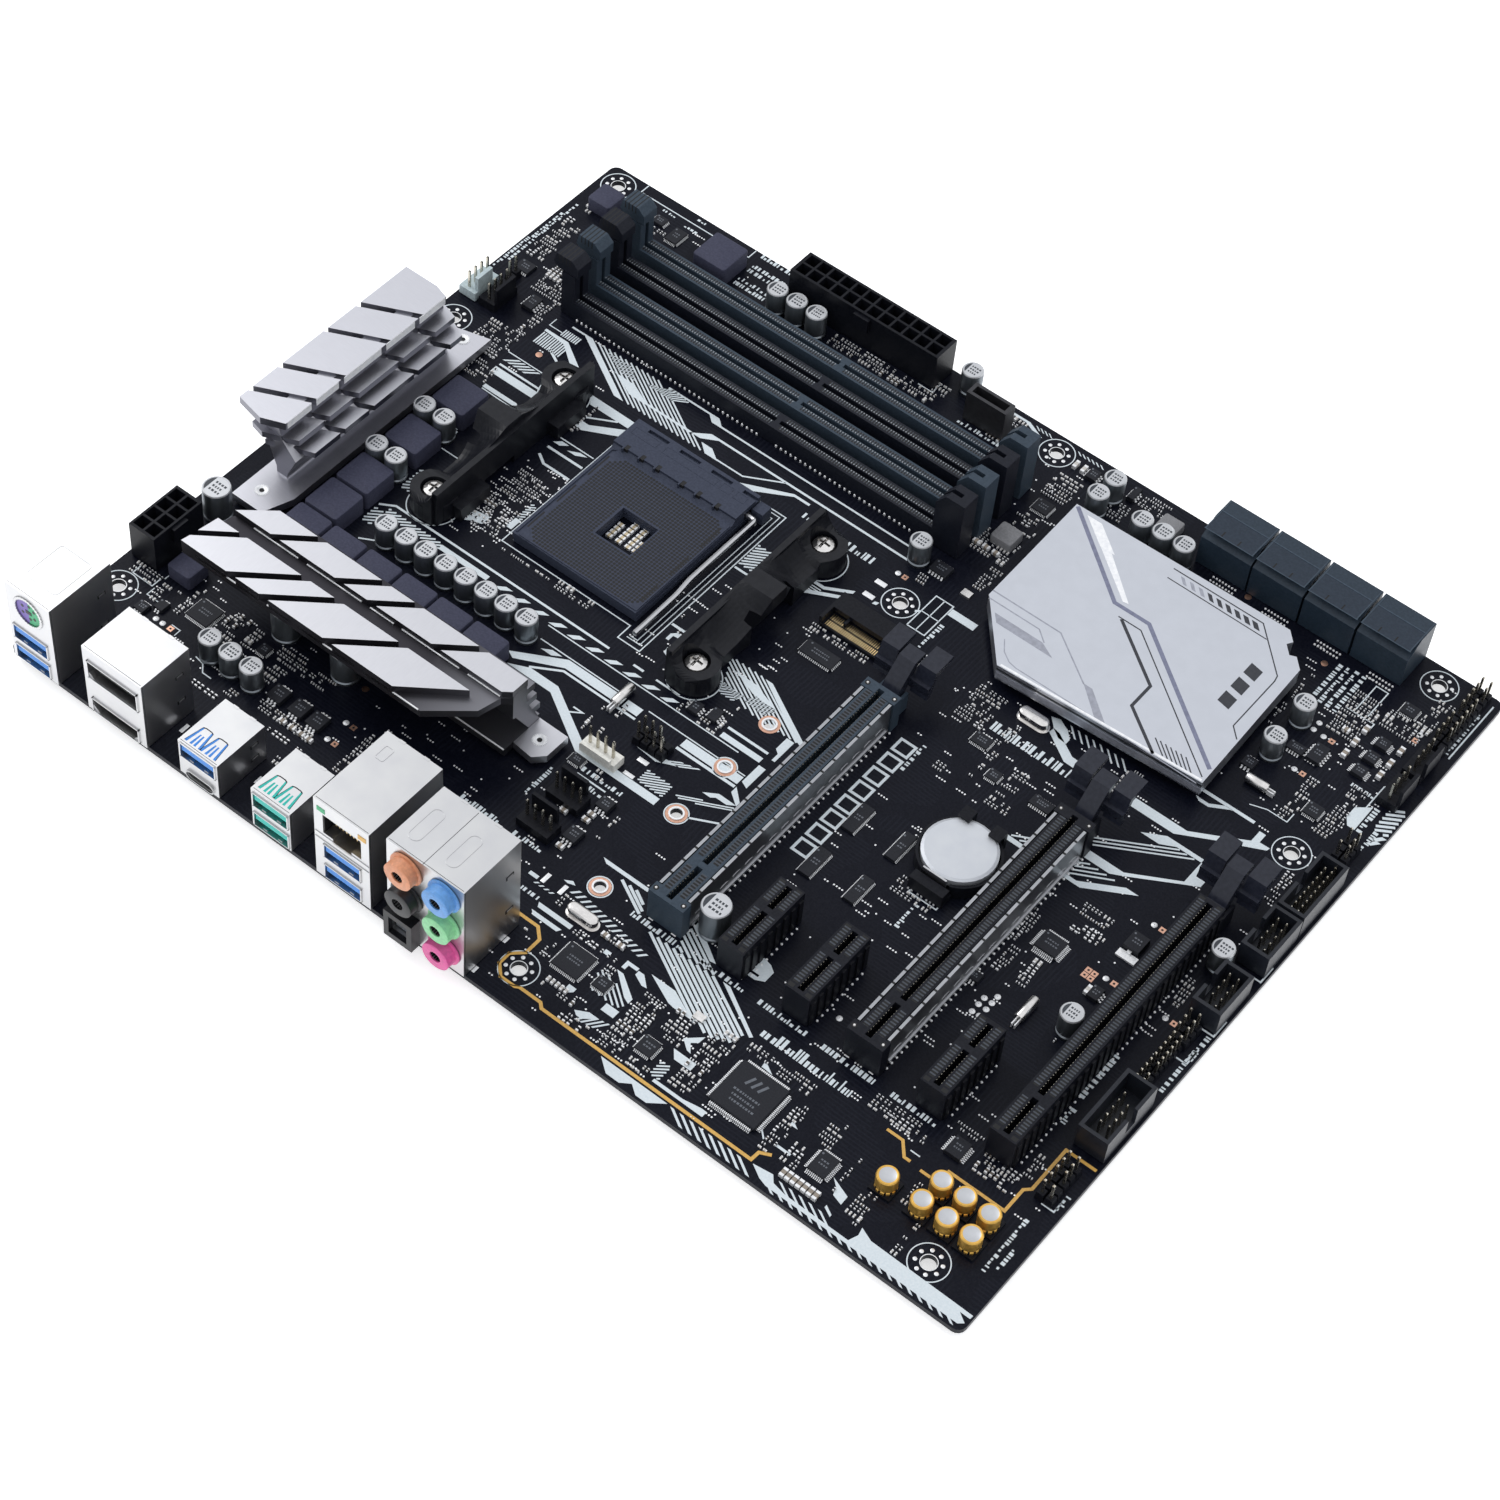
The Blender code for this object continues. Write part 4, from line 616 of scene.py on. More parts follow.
def make_chokes():
    chokes = Builder("chokes", CHOKE)
    extents = [(CHOKE_COLUMN_V, us) for us in CHOKE_COLUMN_U]
    extents += [((v, v + 11.6), CHOKE_ROW_U) for v in CHOKE_ROW_V] + LONE_CHOKES
    for (v0, v1), (u0, u1) in extents:
        top = CHOKE_TOP if v1 - v0 > 9 else SMALL_CHOKE_TOP
        rounded_block(chokes, (v0, u0), (v1, u1), top, 1.0)
    chokes.make()
    small = Builder("small_inductors", CHOKE_METAL)
    for (v0, v1), (u0, u1) in INDUCTORS:
        rounded_block(small, (v0, u0), (v1, u1), INDUCTOR_TOP, 0.8)
    small.make()


# ---------------------------------------------------------------- printing on the board

def hatch_lines(outline, angle, pitch):
    """Parallel lines across an outline: pairs of (v, u) ends."""
    cos, sin = math.cos(math.radians(angle)), math.sin(math.radians(angle))
    turned = [(v * cos + u * sin, -v * sin + u * cos) for v, u in outline]
    low = min(b for _, b in turned)
    high = max(b for _, b in turned)
    level = low + pitch / 2
    found = []
    while level < high:
        hits = []
        for (a0, b0), (a1, b1) in zip(turned, turned[1:] + turned[:1]):
            if (b0 > level) != (b1 > level):
                hits.append(a0 + (a1 - a0) * (level - b0) / (b1 - b0))
        hits.sort()
        for start, end in zip(hits[::2], hits[1::2]):
            found.append(((start * cos - level * sin, start * sin + level * cos),
                          (end * cos - level * sin, end * sin + level * cos)))
        level += pitch
    return found


def hatch(builder, outline, angle, pitch, width):
    """Fills an outline with parallel printed lines."""
    for start, end in hatch_lines(outline, angle, pitch):
        if math.dist(start, end) > 0.5:
            builder.stroke([start, end], width, PRINT)


def slashes(builder, first, step, count, lean, width):
    """Slanted bars: first is the lower end of the first, lean the way from lower to upper end."""
    half = width / 2
    for index in range(count):
        v, u = first[0] + step[0] * index, first[1] + step[1] * index
        outline = [(v - half, u), (v + half, u), (v + lean[0] + half, u + lean[1]),
                   (v + lean[0] - half, u + lean[1])]
        builder.prism(outline, PRINT)


def ticks(builder, v, u, length, height, along, seed):
    """A row of short plain bars where a printed label would stand."""
    chance = random.Random(seed)
    place = 0.0
    while place < length:
        width = chance.choice((0.45, 0.7, 0.95))
        tall = height * chance.choice((1.0, 1.0, 0.55))
        if along == "v":
            builder.box((v + place, v + place + width), (u, u + tall), PRINT)
        else:
            builder.box((v, v + tall), (u + place, u + place + width), PRINT)
        place += width + chance.choice((0.35, 0.45, 0.9))


BOARD_HOLES = [(6.35, 237.49), (163.83, 237.49), (288.29, 237.49), (6.35, 33.02), (163.83, 10.16),
               (288.29, 10.16), (6.35, 165.1), (163.83, 165.1), (288.29, 165.1)]
HOLE_RING = 5.15
VIA_CIRCLE = 3.35
M2_POSTS_U = [109.7, 91.3, 71.7, 41.7]
M2_POST_V = 163.1
BRACKET_FEET = [(48.8, 108.9), (48.8, 162.9), (138.8, 108.9), (138.8, 162.9)]
BRACKET_RING = 7.4

# Filled printed shapes, as (v, u) outlines.
SOLID_PRINT = [
    [(37.3, 185), (40.7, 185), (62.3, 172.2), (59, 172.2)],
    [(52.3, 179.3), (60.7, 179.2), (67.3, 176.1), (83.7, 176.1), (83.3, 175.4), (61.7, 175.4), (55, 179)],
    [(82.5, 185), (86.3, 185), (89.2, 182.5), (85.5, 182.5)],
    [(83.7, 175.7), (86.8, 175.7), (92.5, 179.0), (88.3, 179.0)],
    [(88, 174.9), (91.8, 174.9), (95.7, 172.2), (91.3, 172.2)],
    [(28.5, 179.3), (36.5, 179.3), (45.8, 173.3), (44, 171.8), (36, 177.9), (28.5, 178.4)],
    rectangle(27.7, 43.5, 159.8, 160.5), rectangle(27.5, 43.5, 156.2, 158.9),
    [(29.7, 151.9), (41, 151.9), (42.2, 151), (41, 150.5), (29.7, 150.5)],
    [(54.2, 168.3), (70, 168.1), (70, 165.2), (56.3, 165.2)],
    [(57.8, 159), (61, 159), (70, 164.5), (70, 161.3), (60.7, 156.2), (57.8, 156.2)],
    [(57.7, 147.8), (60, 147.8), (62, 149.5), (59.5, 149.5)],
    [(62.7, 147.8), (65.5, 147.8), (68.5, 149.5), (66, 149.5)],
    [(57.7, 114.7), (63, 115.6), (63, 112.3), (60, 111.3), (57.5, 109.8)],
    rectangle(68.2, 70, 116, 120),
    rectangle(60, 76.7, 98, 99.7),
    [(127, 91.9), (110.7, 91.9), (96.8, 83.9), (99.2, 82.7), (111.7, 89.1), (127, 89.1)],
    rectangle(130.7, 135.7, 89.1, 91.9), rectangle(150, 168.7, 89.1, 91.9),
    rectangle(155.7, 168.7, 98.2, 100),
    [(99.2, 80.5), (105, 83.3), (114.3, 83.3), (132.4, 72.5), (157, 72.5), (157, 70), (131.2, 70),
     (114, 80.5)],
    [(102.6, 90), (105.3, 91.6), (108.6, 91.6), (106.2, 90)],
    [(153, 120.9), (155.4, 120.9), (173.3, 110.8), (173.3, 109.4), (170.2, 110.6)],
    [(145.4, 117.8), (152.5, 117.8), (161.4, 114.6), (158, 114.4), (153.4, 114.9), (149.4, 116.4)],
    rectangle(123, 127.2, 118.8, 119.6), rectangle(123, 127.3, 145.3, 146),
    [(124.8, 114.2), (124.8, 116.4), (126.2, 117.8), (127.3, 117.8), (127.3, 116.4), (125.8, 116.2),
     (125.8, 114.2)],
    [(127.1, 112.3), (129, 111.5), (129.7, 109.4), (127.4, 110.3)],
    [(102.4, 168.8), (107.6, 168.8), (119.6, 176), (124.5, 176), (124.5, 176.8), (119, 176.8)],
    [(145, 242), (151.6, 242), (157.5, 239.3), (156, 238.8), (150.8, 241.2), (145, 241.3)],
    rectangle(175.6, 184, 170.2, 172.7),
    [(292.7, 188.3), (296.4, 191.3), (296.5, 182), (294.3, 182), (292.7, 184.3)],
    rectangle(260, 275.8, 166.4, 167.4),
    [(259.4, 164.3), (261, 163.2), (264, 163.2), (268.7, 166.1), (270, 166.5), (267.3, 166.5),
     (263.5, 164.2), (261, 164.2)],
    [(216.5, 160.5), (219, 161.3), (222.5, 159.5), (224.6, 157.3), (224.6, 155.6), (222, 155.8),
     (219.5, 157.5)],
    [(219.3, 157.8), (221.5, 157.3), (228.3, 153.2), (235.5, 153), (235, 150.3), (227.5, 150.5),
     (219, 156)],
    [(246.7, 153.2), (264.2, 153.2), (272.5, 158), (278.3, 161.5), (278.3, 165.5), (280.2, 165.5),
     (280.2, 162.5), (283.3, 162.6), (283, 161.5), (276, 157.8), (272.5, 156.2), (262, 150.2),
     (246.7, 150.2)],
    [(255.3, 145), (261.3, 148.5), (273, 148.5), (273, 147.3), (265, 147.2), (261, 145)],
    [(272.5, 148.5), (273.7, 148.5), (273.7, 145), (276.6, 143.4), (276.6, 140.8), (273.3, 138.9),
     (260, 130.8), (256.7, 129), (248.3, 129), (248.3, 131.7), (259.3, 131.7), (272.5, 139.5)],
    [(227.3, 121.2), (229.4, 122), (251.7, 121.7), (262.5, 128.2), (266.3, 128.2), (253.5, 120.5),
     (229, 120.5)],
    [(158, 49.3), (172.9, 49.3), (172.9, 48.2), (159.7, 48.2)],
    [(155, 37.5), (157, 38.7), (158.3, 38), (156.3, 37.3)],
    rectangle(147, 149.8, 33.2, 34.3),
    [(154.7, 28.4), (165.7, 28.4), (165.7, 27), (155.4, 27)],
    [(154.7, 25.6), (164.3, 25.6), (163.6, 24.4), (156, 24.4)],
    rectangle(176.2, 178, 27.1, 28.4),
    [(182.3, 29.3), (186, 29.3), (186, 28.3), (183.4, 28.3), (183.4, 26.8), (182.3, 26.8)],
    [(186.3, 28.7), (188, 28.7), (191, 26), (189.5, 25.8), (186.3, 27.3)],
    [(189.2, 30), (196.7, 30), (205.2, 26), (199.3, 25.9), (197.5, 26.2)],
    [(203.7, 39.7), (206, 39.7), (219.3, 31.9), (218.6, 31.2)],
    rectangle(186.4, 190.3, 14, 16.4),
    [(176, 14.7), (178.3, 14.7), (178.3, 13.5), (177.1, 12.4), (176, 13.5)],
    [(181.7, 9.8), (185, 11.6), (188, 11.6), (184.6, 8.9), (183, 8.9)],
    [(182, 25.6), (184, 25.6), (190.4, 21.3), (190.4, 19.6), (188.5, 20.4)],
    [(188.2, 49.3), (190.8, 48), (199.2, 42.6), (197.5, 42.3), (188.2, 47.6)],
    [(206.8, 17), (213.8, 17), (213.8, 14.6), (208.8, 14.6)],
    [(206.7, 20.7), (210.6, 24.4), (210.4, 22.1), (208.9, 20.8), (210.8, 18.4), (209.5, 18.6)],
    [(207, 51.8), (209.6, 51.2), (211.5, 49.9), (211.5, 46.4), (209.2, 45.2), (207, 45.2),
     (207, 46.3), (209.3, 46.3), (209.3, 47), (207, 47)],
    [(208.7, 7.3), (217.4, 7.3), (222.4, 8.2), (224, 8.2), (224, 6.4), (208.7, 6.4)],
    [(241, 19.8), (243.3, 18.5), (241, 18.4)], rectangle(241.7, 246.3, 11.5, 12.2),
    [(257.7, 13.8), (263.4, 11.7), (263.5, 9), (260.5, 9.9), (259.8, 12)],
    [(261, 6.8), (263.5, 5.4), (263.5, 4.7), (261, 6)],
    [(225.7, 28.7), (229.4, 26.5), (226, 26.7)],
    [(195.0, 3.9), (215.5, 3.9), (211.5, 0.8), (208.2, 0.8), (205.6, 2.7), (203, 0.9), (199, 0.9)],
    [(241, 4.3), (246.5, 5.1), (248, 3.3), (252, 2.6), (270.5, 2.6), (271.5, 5.2), (271, 7.4),
     (274.7, 5.9), (304.3, 5.6), (304.2, 4.5), (301.3, 4.5), (303.9, 2.8), (302.6, 1.7), (247, 1.5),
     (244.6, 2.2)],
    [(140.2, 81.8), (148.6, 81), (153.7, 83.4), (150.4, 83.4), (147.3, 82.4), (142, 82.6)],
    [(163.7, 81.3), (167.3, 83.7), (172.9, 83.6), (170.8, 82.2), (167.4, 82.2), (166.3, 81.3)],
    [(169.2, 109.2), (171.6, 109.2), (171.6, 101), (170.6, 101), (170.6, 103.6), (169.2, 104.6)],
    [(169.2, 97.6), (171.4, 97.6), (171.4, 89.6), (169.2, 90.6)],
    [(169.2, 88.4), (173, 84.9), (173, 83.4), (169.2, 86.2)],
    [(141.3, 156.2), (145.2, 156.2), (152.4, 160.4), (152.4, 159.2), (145.6, 155.2), (141.3, 155.2)],
    [(141.3, 151.8), (150.4, 156.6), (150.4, 155.3), (141.3, 150.3)],
    [(158.4, 161), (159.6, 161.4), (159.4, 160.2), (158.2, 159.9)],
    [(168.2, 165.8), (169.4, 166.7), (169.4, 165.9), (168.6, 165.1)],
]

# Printed lines: width and path.
PRINTED_LINES = [
    (0.35, [(12.9, 243.6), (12.9, 240), (52.9, 240), (52.9, 243.6)]),
    (0.6, [(33.5, 184.7), (38, 184.7)]),
    (0.6, [(68.5, 184.7), (84, 184.7)]), (0.6, [(87.5, 182.8), (158, 182.7)]),
    (0.7, [(88.5, 178.7), (158, 178.5)]), (0.5, [(92.5, 172.5), (104.3, 172.5), (114.6, 178.4)]),
    (0.3, [(28.2, 184), (28.2, 181), (33, 181)]), (0.75, [(34, 174), (42, 169.8)]),
    (0.35, [(26.4, 165.4), (41, 165.4)]), (0.4, [(30, 150), (41, 149.7)]),
    (0.6, [(57.8, 160.3), (66.3, 165.2)]), (0.4, [(56, 150.3), (70, 150.3)]),
    (0.8, [(57.7, 145.5), (70, 145.5)]), (0.8, [(57.7, 142), (61, 139.9), (70, 139.9)]),
    (0.35, [(70.7, 159), (70.7, 111.4), (115.2, 111.4), (115.2, 106.2), (122.5, 106.2),
            (122.5, 168.5), (70.4, 168.5)]),
    (0.35, [(72.7, 113.8), (115, 113.8)]),
    (0.3, [(117.2, 167.4), (121.2, 167.4), (121.2, 108), (116.8, 108)]),
    (0.3, [(118.6, 165.8), (119.8, 165.8), (119.8, 108.8), (117.5, 108.8)]),
    (0.35, [(36.7, 125.7), (43.1, 125.7)]),
    (0.7, [(37.7, 99.3), (41.7, 101.8), (116, 101.8)]), (0.7, [(124.2, 101.8), (127.6, 101.8)]),
    (0.6, [(131.8, 101.8), (139.6, 101.8)]), (0.8, [(155.6, 102), (168.7, 102)]),
    (0.35, [(99, 97.3), (162.7, 97.3)]), (0.5, [(41.7, 86.7), (45.7, 89)]),
    (0.35, [(100.5, 92.5), (127, 92.5)]), (0.35, [(137, 92.5), (168.7, 92.5)]),
    (0.7, [(104.3, 83.3), (112, 88.1), (136, 88.1)]), (0.9, [(149.7, 88.1), (168.8, 88.1)]),
    (0.6, [(165.8, 72.5), (173.2, 76.4)]), (0.5, [(121.5, 80.8), (124.6, 80.8), (121.7, 78.8)]),
    (0.35, [(119.3, 232.8), (124.2, 232.8), (124.2, 236.9)]),
    (0.35, [(169.6, 160.3), (175.3, 160.3), (175.3, 173.5), (169.6, 173.5), (169.6, 160.3)]),
    (0.3, [(172.4, 160.3), (172.4, 173.5)]), (0.3, [(169.6, 166.7), (175.3, 166.7)]),
    (0.35, [(275.6, 216), (275.6, 226.2), (279.3, 226.2), (279.3, 216)]),
    (0.35, [(273.3, 214.8), (282, 214.8), (282, 213)]),
    (0.3, [(271.5, 171), (276, 172.6), (282, 172.6), (282, 176)]),
    (0.45, [(302.9, 218), (302.9, 241)]), (0.35, [(295, 189), (295, 199), (297, 201), (297, 206)]),
    (0.5, [(300.3, 126.6), (304, 126.6), (304, 132.3)]), (0.5, [(300.5, 105.6), (304, 105.6), (304, 111.3)]),
    (0.45, [(299, 94.6), (303.4, 94.6), (303.4, 100)]), (0.45, [(299, 40), (302.6, 40), (302.6, 43)]),
    (0.4, [(221.8, 92), (221.8, 91.2), (230.3, 91.2), (230.3, 95.4)]),
    (0.8, [(165.8, 47), (175.6, 41.8)]), (0.8, [(168.3, 46.9), (175.7, 42.9)]),
    (0.8, [(170.5, 46.9), (174.6, 44.6)]),
    (0.5, [(136, 65.1), (145.3, 65.1)]), (0.3, [(13.8, 48), (13.8, 42.6)]),
    (0.35, [(6, 42), (6, 38.7), (13, 38.7), (13, 42)]), (0.3, [(14, 38.6), (14, 35.8), (20, 35.8)]),
    (0.35, [(38, 29), (41, 28.5), (43, 26.3), (46, 26.3)]),
    (0.3, [(26, 32.6), (29, 32.6), (29, 30.4)]), (0.4, [(236, 13.8), (238.8, 11.2)]),
    (0.35, [(267, 31.5), (269.8, 31.5)]), (0.45, [(301.8, 155), (301.8, 171)]),
]

# Hatched fields: outline, angle of the lines, their pitch and their width.
HATCHES = [
    ([(41.8, 185), (66, 185), (90.5, 172.3), (63.2, 172.3)], -30.6, 1.0, 0.48),
    ([(47, 184), (56, 184), (60, 180.3), (54, 180.3)], 32, 1.0, 0.35),
    ([(63, 181.6), (70, 185), (76.5, 184), (72.5, 181.4)], 32, 0.75, 0.4),
    ([(141.4, 121), (153, 121), (173, 109.7), (166.5, 109.3), (157, 109.3), (146, 112)], -29, 1.0, 0.5),
    ([(155, 115), (162, 114.4), (160, 111), (153, 111.6)], 34, 0.9, 0.35),
    ([(144.5, 112.8), (152.5, 112.6), (151, 109.4), (146.5, 109.4)], 32, 0.8, 0.4),
    (rectangle(33, 38.7, 180, 182.7), 90, 0.75, 0.42), (rectangle(28.7, 38.2, 173, 178), 90, 0.8, 0.42),
    (rectangle(68.2, 70, 120.2, 126.7), 35, 0.9, 0.45), (rectangle(37.7, 43, 107.8, 117), 35, 1.1, 0.55),
    (rectangle(37.7, 41, 92.3, 98), 35, 1.1, 0.55), (rectangle(41, 60, 97.6, 100), 35, 1.0, 0.55),
    (rectangle(148.8, 157, 73.3, 77.8), 30, 0.8, 0.42),
    ([(159, 76.2), (161, 75.6), (173, 81.4), (173, 83.2)], 28, 0.72, 0.38),
    (rectangle(123, 127.6, 147.3, 156), 32, 1.0, 0.55), (rectangle(141.3, 145.3, 152.4, 155), 0, 0.8, 0.35),
    ([(229.5, 122.4), (249.7, 122.4), (260.3, 128.2), (239.7, 128.2)], 29.5, 1.25, 0.5),
    ([(246.7, 136.6), (248.6, 133.2), (271.7, 147), (265.8, 147)], 31, 1.15, 0.5),
    ([(179.7, 39.4), (203, 39.4), (217.3, 31.3), (216, 27), (211, 25), (205.5, 25.9)], -28.4, 1.18, 0.78),
    ([(186.6, 46.9), (189.5, 46.5), (202.5, 39.8), (189.6, 39.8)], -28.4, 1.18, 0.7),
    (rectangle(300, 304.2, 185.5, 195.5), 33, 1.35, 0.8),
    ([(178.8, 22.6), (181, 24.5), (190.2, 18.6), (189, 16.8), (180.5, 17)], -36, 1.2, 0.5),
    (rectangle(206.8, 209.8, 7.6, 12.4), 38, 0.9, 0.45),
]

# Rows of slanted bars: the first one's lower end, the step, how many, their lean and their width.
SLASHES = [
    ((27.6, 162), (1.75, 0), 5, (3.6, 2.8), 0.85),
    ((80.6, 98), (6.3, 0), 10, (2.8, 1.9), 2.3),
    ((149.6, 82.4), (2.2, 0.6), 3, (4.6, 2.9), 0.75),
    ((225.5, 158.4), (2.3, 0), 8, (-3.2, 3.0), 0.7),
    ((158.8, 35.6), (1.87, -0.29), 14, (1.7, 1.9), 0.75),
    ((150, 32), (1.6, 0), 4, (0.9, 0.8), 0.6),
    ((183.6, 7.8), (1.5, 0.3), 4, (2.6, 3.4), 0.6),
    ((222, 0.8), (2.87, 0), 8, (-5, 3.0), 1.2),
    ((252.6, 2.6), (2.9, 0), 5, (-3.6, 2.0), 1.0),
    ((249.5, 0.7), (2.9, 0), 19, (-1.8, 1.1), 1.0),
    ((155.4, 241), (1.4, 0), 4, (-1.6, 1.1), 0.5),
    ((169.5, 241), (1.5, 0), 6, (-1.4, 1.0), 0.55),
    ((301.6, 180.5), (0.5, 2.1), 2, (1.8, 2.2), 1.4),
]


def print_on_board():
    silk = Builder("printing", SILK_WHITE)
    for outline in SOLID_PRINT:
        silk.prism(list(outline), OVERPRINT)
    for width, path in PRINTED_LINES:
        silk.stroke(path, width, PRINT)
    for outline, angle, pitch, width in HATCHES:
        hatch(silk, outline, angle, pitch, width)
    for first, step, count, lean, width in SLASHES:
        slashes(silk, first, step, count, lean, width)
    for v, u in BOARD_HOLES:
        silk.ring(v, u, HOLE_RING - 0.15, HOLE_RING + 0.15, PRINT, 48)
    for v, u in BRACKET_FEET:
        silk.ring(v, u, BRACKET_RING - 0.17, BRACKET_RING + 0.17, PRINT, 48)
    for u in M2_POSTS_U[1:]:
        silk.ring(M2_POST_V, u, 3.0, 3.35, PRINT, 36)
    silk.make()


def print_labels():
    """Rows of plain bars where the board carries its labels."""
    labels = Builder("label_bars", SILK_WHITE)
    for index, (v, u, length, height, along) in enumerate(LABEL_BARS):
        ticks(labels, v, u, length, height, along, seed=index)
    for row in range(8):
        u = 82.5 + 6.0 * row
        labels.stroke([(191.6, u), (196.2, u), (196.2, u + 4.2), (191.6, u + 4.2)], 0.8, PRINT, closed=True)
    labels.make()


# Labels: v, u, length, height and the way they run.
LABEL_BARS = [
    (55.5, 242.2, 10.5, 1.6, "v"), (56, 237.5, 11, 1.4, "v"), (56, 235.3, 11, 1.4, "v"),
    (56, 231, 11, 1.4, "v"), (56, 228.8, 11, 1.4, "v"), (0.6, 186.5, 17, 1.0, "u"),
    (1.2, 204.5, 13, 0.9, "u"), (2.2, 193, 30, 0.8, "u"), (22.4, 238.2, 4.8, 0.8, "v"),
    (31.2, 237.2, 4.8, 0.8, "v"), (32.4, 241.8, 2.8, 0.8, "v"), (136, 228.3, 14.5, 1.5, "v"),
    (125.4, 171.6, 9, 2.0, "v"), (140.6, 170.6, 9.4, 2.6, "v"), (176.2, 156.2, 11, 1.4, "u"),
    (264.0, 211.5, 15, 1.3, "u"), (266.3, 211.5, 15, 1.3, "u"), (268.6, 211.5, 15, 1.3, "u"),
    (270.9, 211.5, 15, 1.3, "u"), (296.9, 182, 9.5, 1.5, "u"), (300.6, 177, 7.5, 1.4, "u"),
    (301.2, 219, 17, 0.9, "u"), (288, 193.5, 6.8, 1.2, "v"), (206.6, 146.5, 24.5, 3.2, "v"),
    (197, 120.6, 11, 1.1, "u"), (225.2, 80.5, 9.5, 1.4, "u"), (136, 66.4, 12.5, 1.5, "v"),
    (136, 62.6, 9.0, 1.5, "v"), (129.8, 51.8, 10.5, 1.2, "u"), (118.8, 39.7, 13, 1.5, "v"),
    (136, 39.7, 9.0, 1.5, "v"), (148.4, 28.4, 5.4, 1.2, "v"), (174, 40.0, 15, 1.7, "v"),
    (195.8, 40.2, 13.5, 1.6, "v"), (213.8, 40.2, 14, 1.6, "v"), (233.4, 40.0, 15.5, 1.7, "v"),
    (254.2, 40.2, 13.5, 1.6, "v"), (220, 33.4, 26.5, 3.4, "v"), (288.6, 70, 16, 1.5, "u"),
    (289.4, 61.2, 5.2, 1.4, "u"), (302.4, 40.8, 5, 1.3, "u"), (302.4, 84, 15, 1.2, "u"),
    (302.6, 96, 9, 1.4, "u"), (298.6, 16.5, 18, 1.1, "u"), (301, 19, 7, 1.1, "u"),
    (11.9, 45.8, 2.6, 1.2, "u"), (34.6, 126.6, 13.6, 1.5, "u"),
]


def make_gold_line():
    """The gold line that fences off the audio corner."""
    fence = Builder("audio_fence", SILK_GOLD)
    fence.stroke([(152.5, 22.6), (159.3, 22.6), (162.1, 19.9), (162.1, 14.8), (159.2, 12), (159.2, 8.3),
                  (162, 5.5), (166.5, 5.5), (167.5, 6.1), (174.2, 6.1), (175.5, 4.9), (240, 4.9),
                  (240.2, 7.6), (243, 9)], 0.9, PRINT)
    fence.stroke([(259.3, 32.5), (264, 32.5), (267, 29), (268.8, 29)], 0.8, PRINT)
    fence.stroke([(272, 28.6), (275, 28.6)], 0.8, PRINT)
    fence.stroke([(277, 32.7), (293.6, 32.7), (293.6, 40.2), (295.1, 41.7), (295.1, 55.7),
                  (303.9, 55.7)], 0.85, PRINT)
    fence.make()


# ---------------------------------------------------------------- slots and sockets

PIN_METAL = surface("pin_metal", (0.50, 0.47, 0.40), 0.26, 1.0, scale=1500, bump=0.05)
TOOTH_LIGHT = surface("slot_contact_light", (0.26, 0.28, 0.30), 0.45, 0.3, scale=1500, bump=0.05)
TOOTH_BLUE = surface("slot_tooth_grey", (0.040, 0.048, 0.062), 0.35, scale=1500, bump=0.05)
SLOT_RIB = surface("slot_rib_black", (0.0045, 0.005, 0.008), 0.45, scale=1500, bump=0.1, gloss=0.3)
CAP_GOLD = surface("ceramic_gold", (0.56, 0.46, 0.30), 0.35, scale=1500, bump=0.1, metallic=0.3)
# Painted shade and painted highlight for the tops of the storage sockets.
SLATE_PAINTED_SHADE = surface("storage_slate_painted_shade", (0.016, 0.026, 0.042), 0.38, scale=1500, bump=0.1, gloss=0.3)
SLATE_PAINTED_HIGHLIGHT = surface("storage_slate_painted_highlight", (0.040, 0.060, 0.085), 0.36, scale=1500, bump=0.05, gloss=0.3)


def spans(node):
    """A node's extent in board millimetres: (v0, v1), (u0, u1), (z0, z1)."""
    low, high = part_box(node)
    return [((low[axis] - CORNER[axis]) / MM, (high[axis] - CORNER[axis]) / MM) for axis in range(3)]


def steps_between(low, high, pitch):
    """Places at one pitch, centred between two ends."""
    count = int((high - low) / pitch)
    start = (low + high - count * pitch) / 2
    return [start + pitch * index for index in range(count + 1)]


DIMM_BED = 8.0
DIMM_GROOVES = [(29.6, 101.3), (103.1, 163.0)]
DIMM_CONTACT_PITCH = 0.85
DIMM_SOLDER_U = 187.3
DIMM_SOLDER_PITCH = 1.7


def detail_dimm_slots():
    """The contact combs of the four memory slots, and the solder along the last one."""
    combs = Builder("memory_slot_openings", HOLE_SHADE)
    contacts = Builder("memory_slot_contacts", TOOTH_LIGHT, TOOTH_BLUE)
    for number in range(1, 5):
        u0, u1 = spans(f"dimm_slot_{number}")[1]
        middle = (u0 + u1) / 2
        for low, high in DIMM_GROOVES:
            for v in steps_between(low + 0.9, high - 0.9, DIMM_CONTACT_PITCH):
                for side in (-1, 1):
                    # Dark patches of painted shade in the contact mouths.
                    for offset, size in ((1.95, 0.36), (1.15, 0.2)):
                        u = middle + side * offset
                        combs.box((v - 0.22, v + 0.22), (u - size, u + size), (DIMM_BED, DIMM_BED + 0.02))
                    u = middle + side * 1.15
                    contacts.box((v + 0.26, v + 0.58), (u - 0.22, u + 0.22), (DIMM_BED, DIMM_BED + 0.06), 0)
                    u = middle + side * 1.95
                    contacts.box((v + 0.26, v + 0.58), (u - 0.4, u + 0.4), (DIMM_BED, DIMM_BED + 0.04), 1)
    combs.make()
    contacts.make()
    pins = Builder("memory_slot_solder", TIN)
    v = 33.0
    while v < 151:
        if not 98 < v < 103.5:
            pins.turned((v, DIMM_SOLDER_U), [(0, TOP), (0.42, TOP + 0.02), (0.36, TOP + 0.6),
                                             (0, TOP + 0.95)], 8)
        v += DIMM_SOLDER_PITCH
    pins.make()


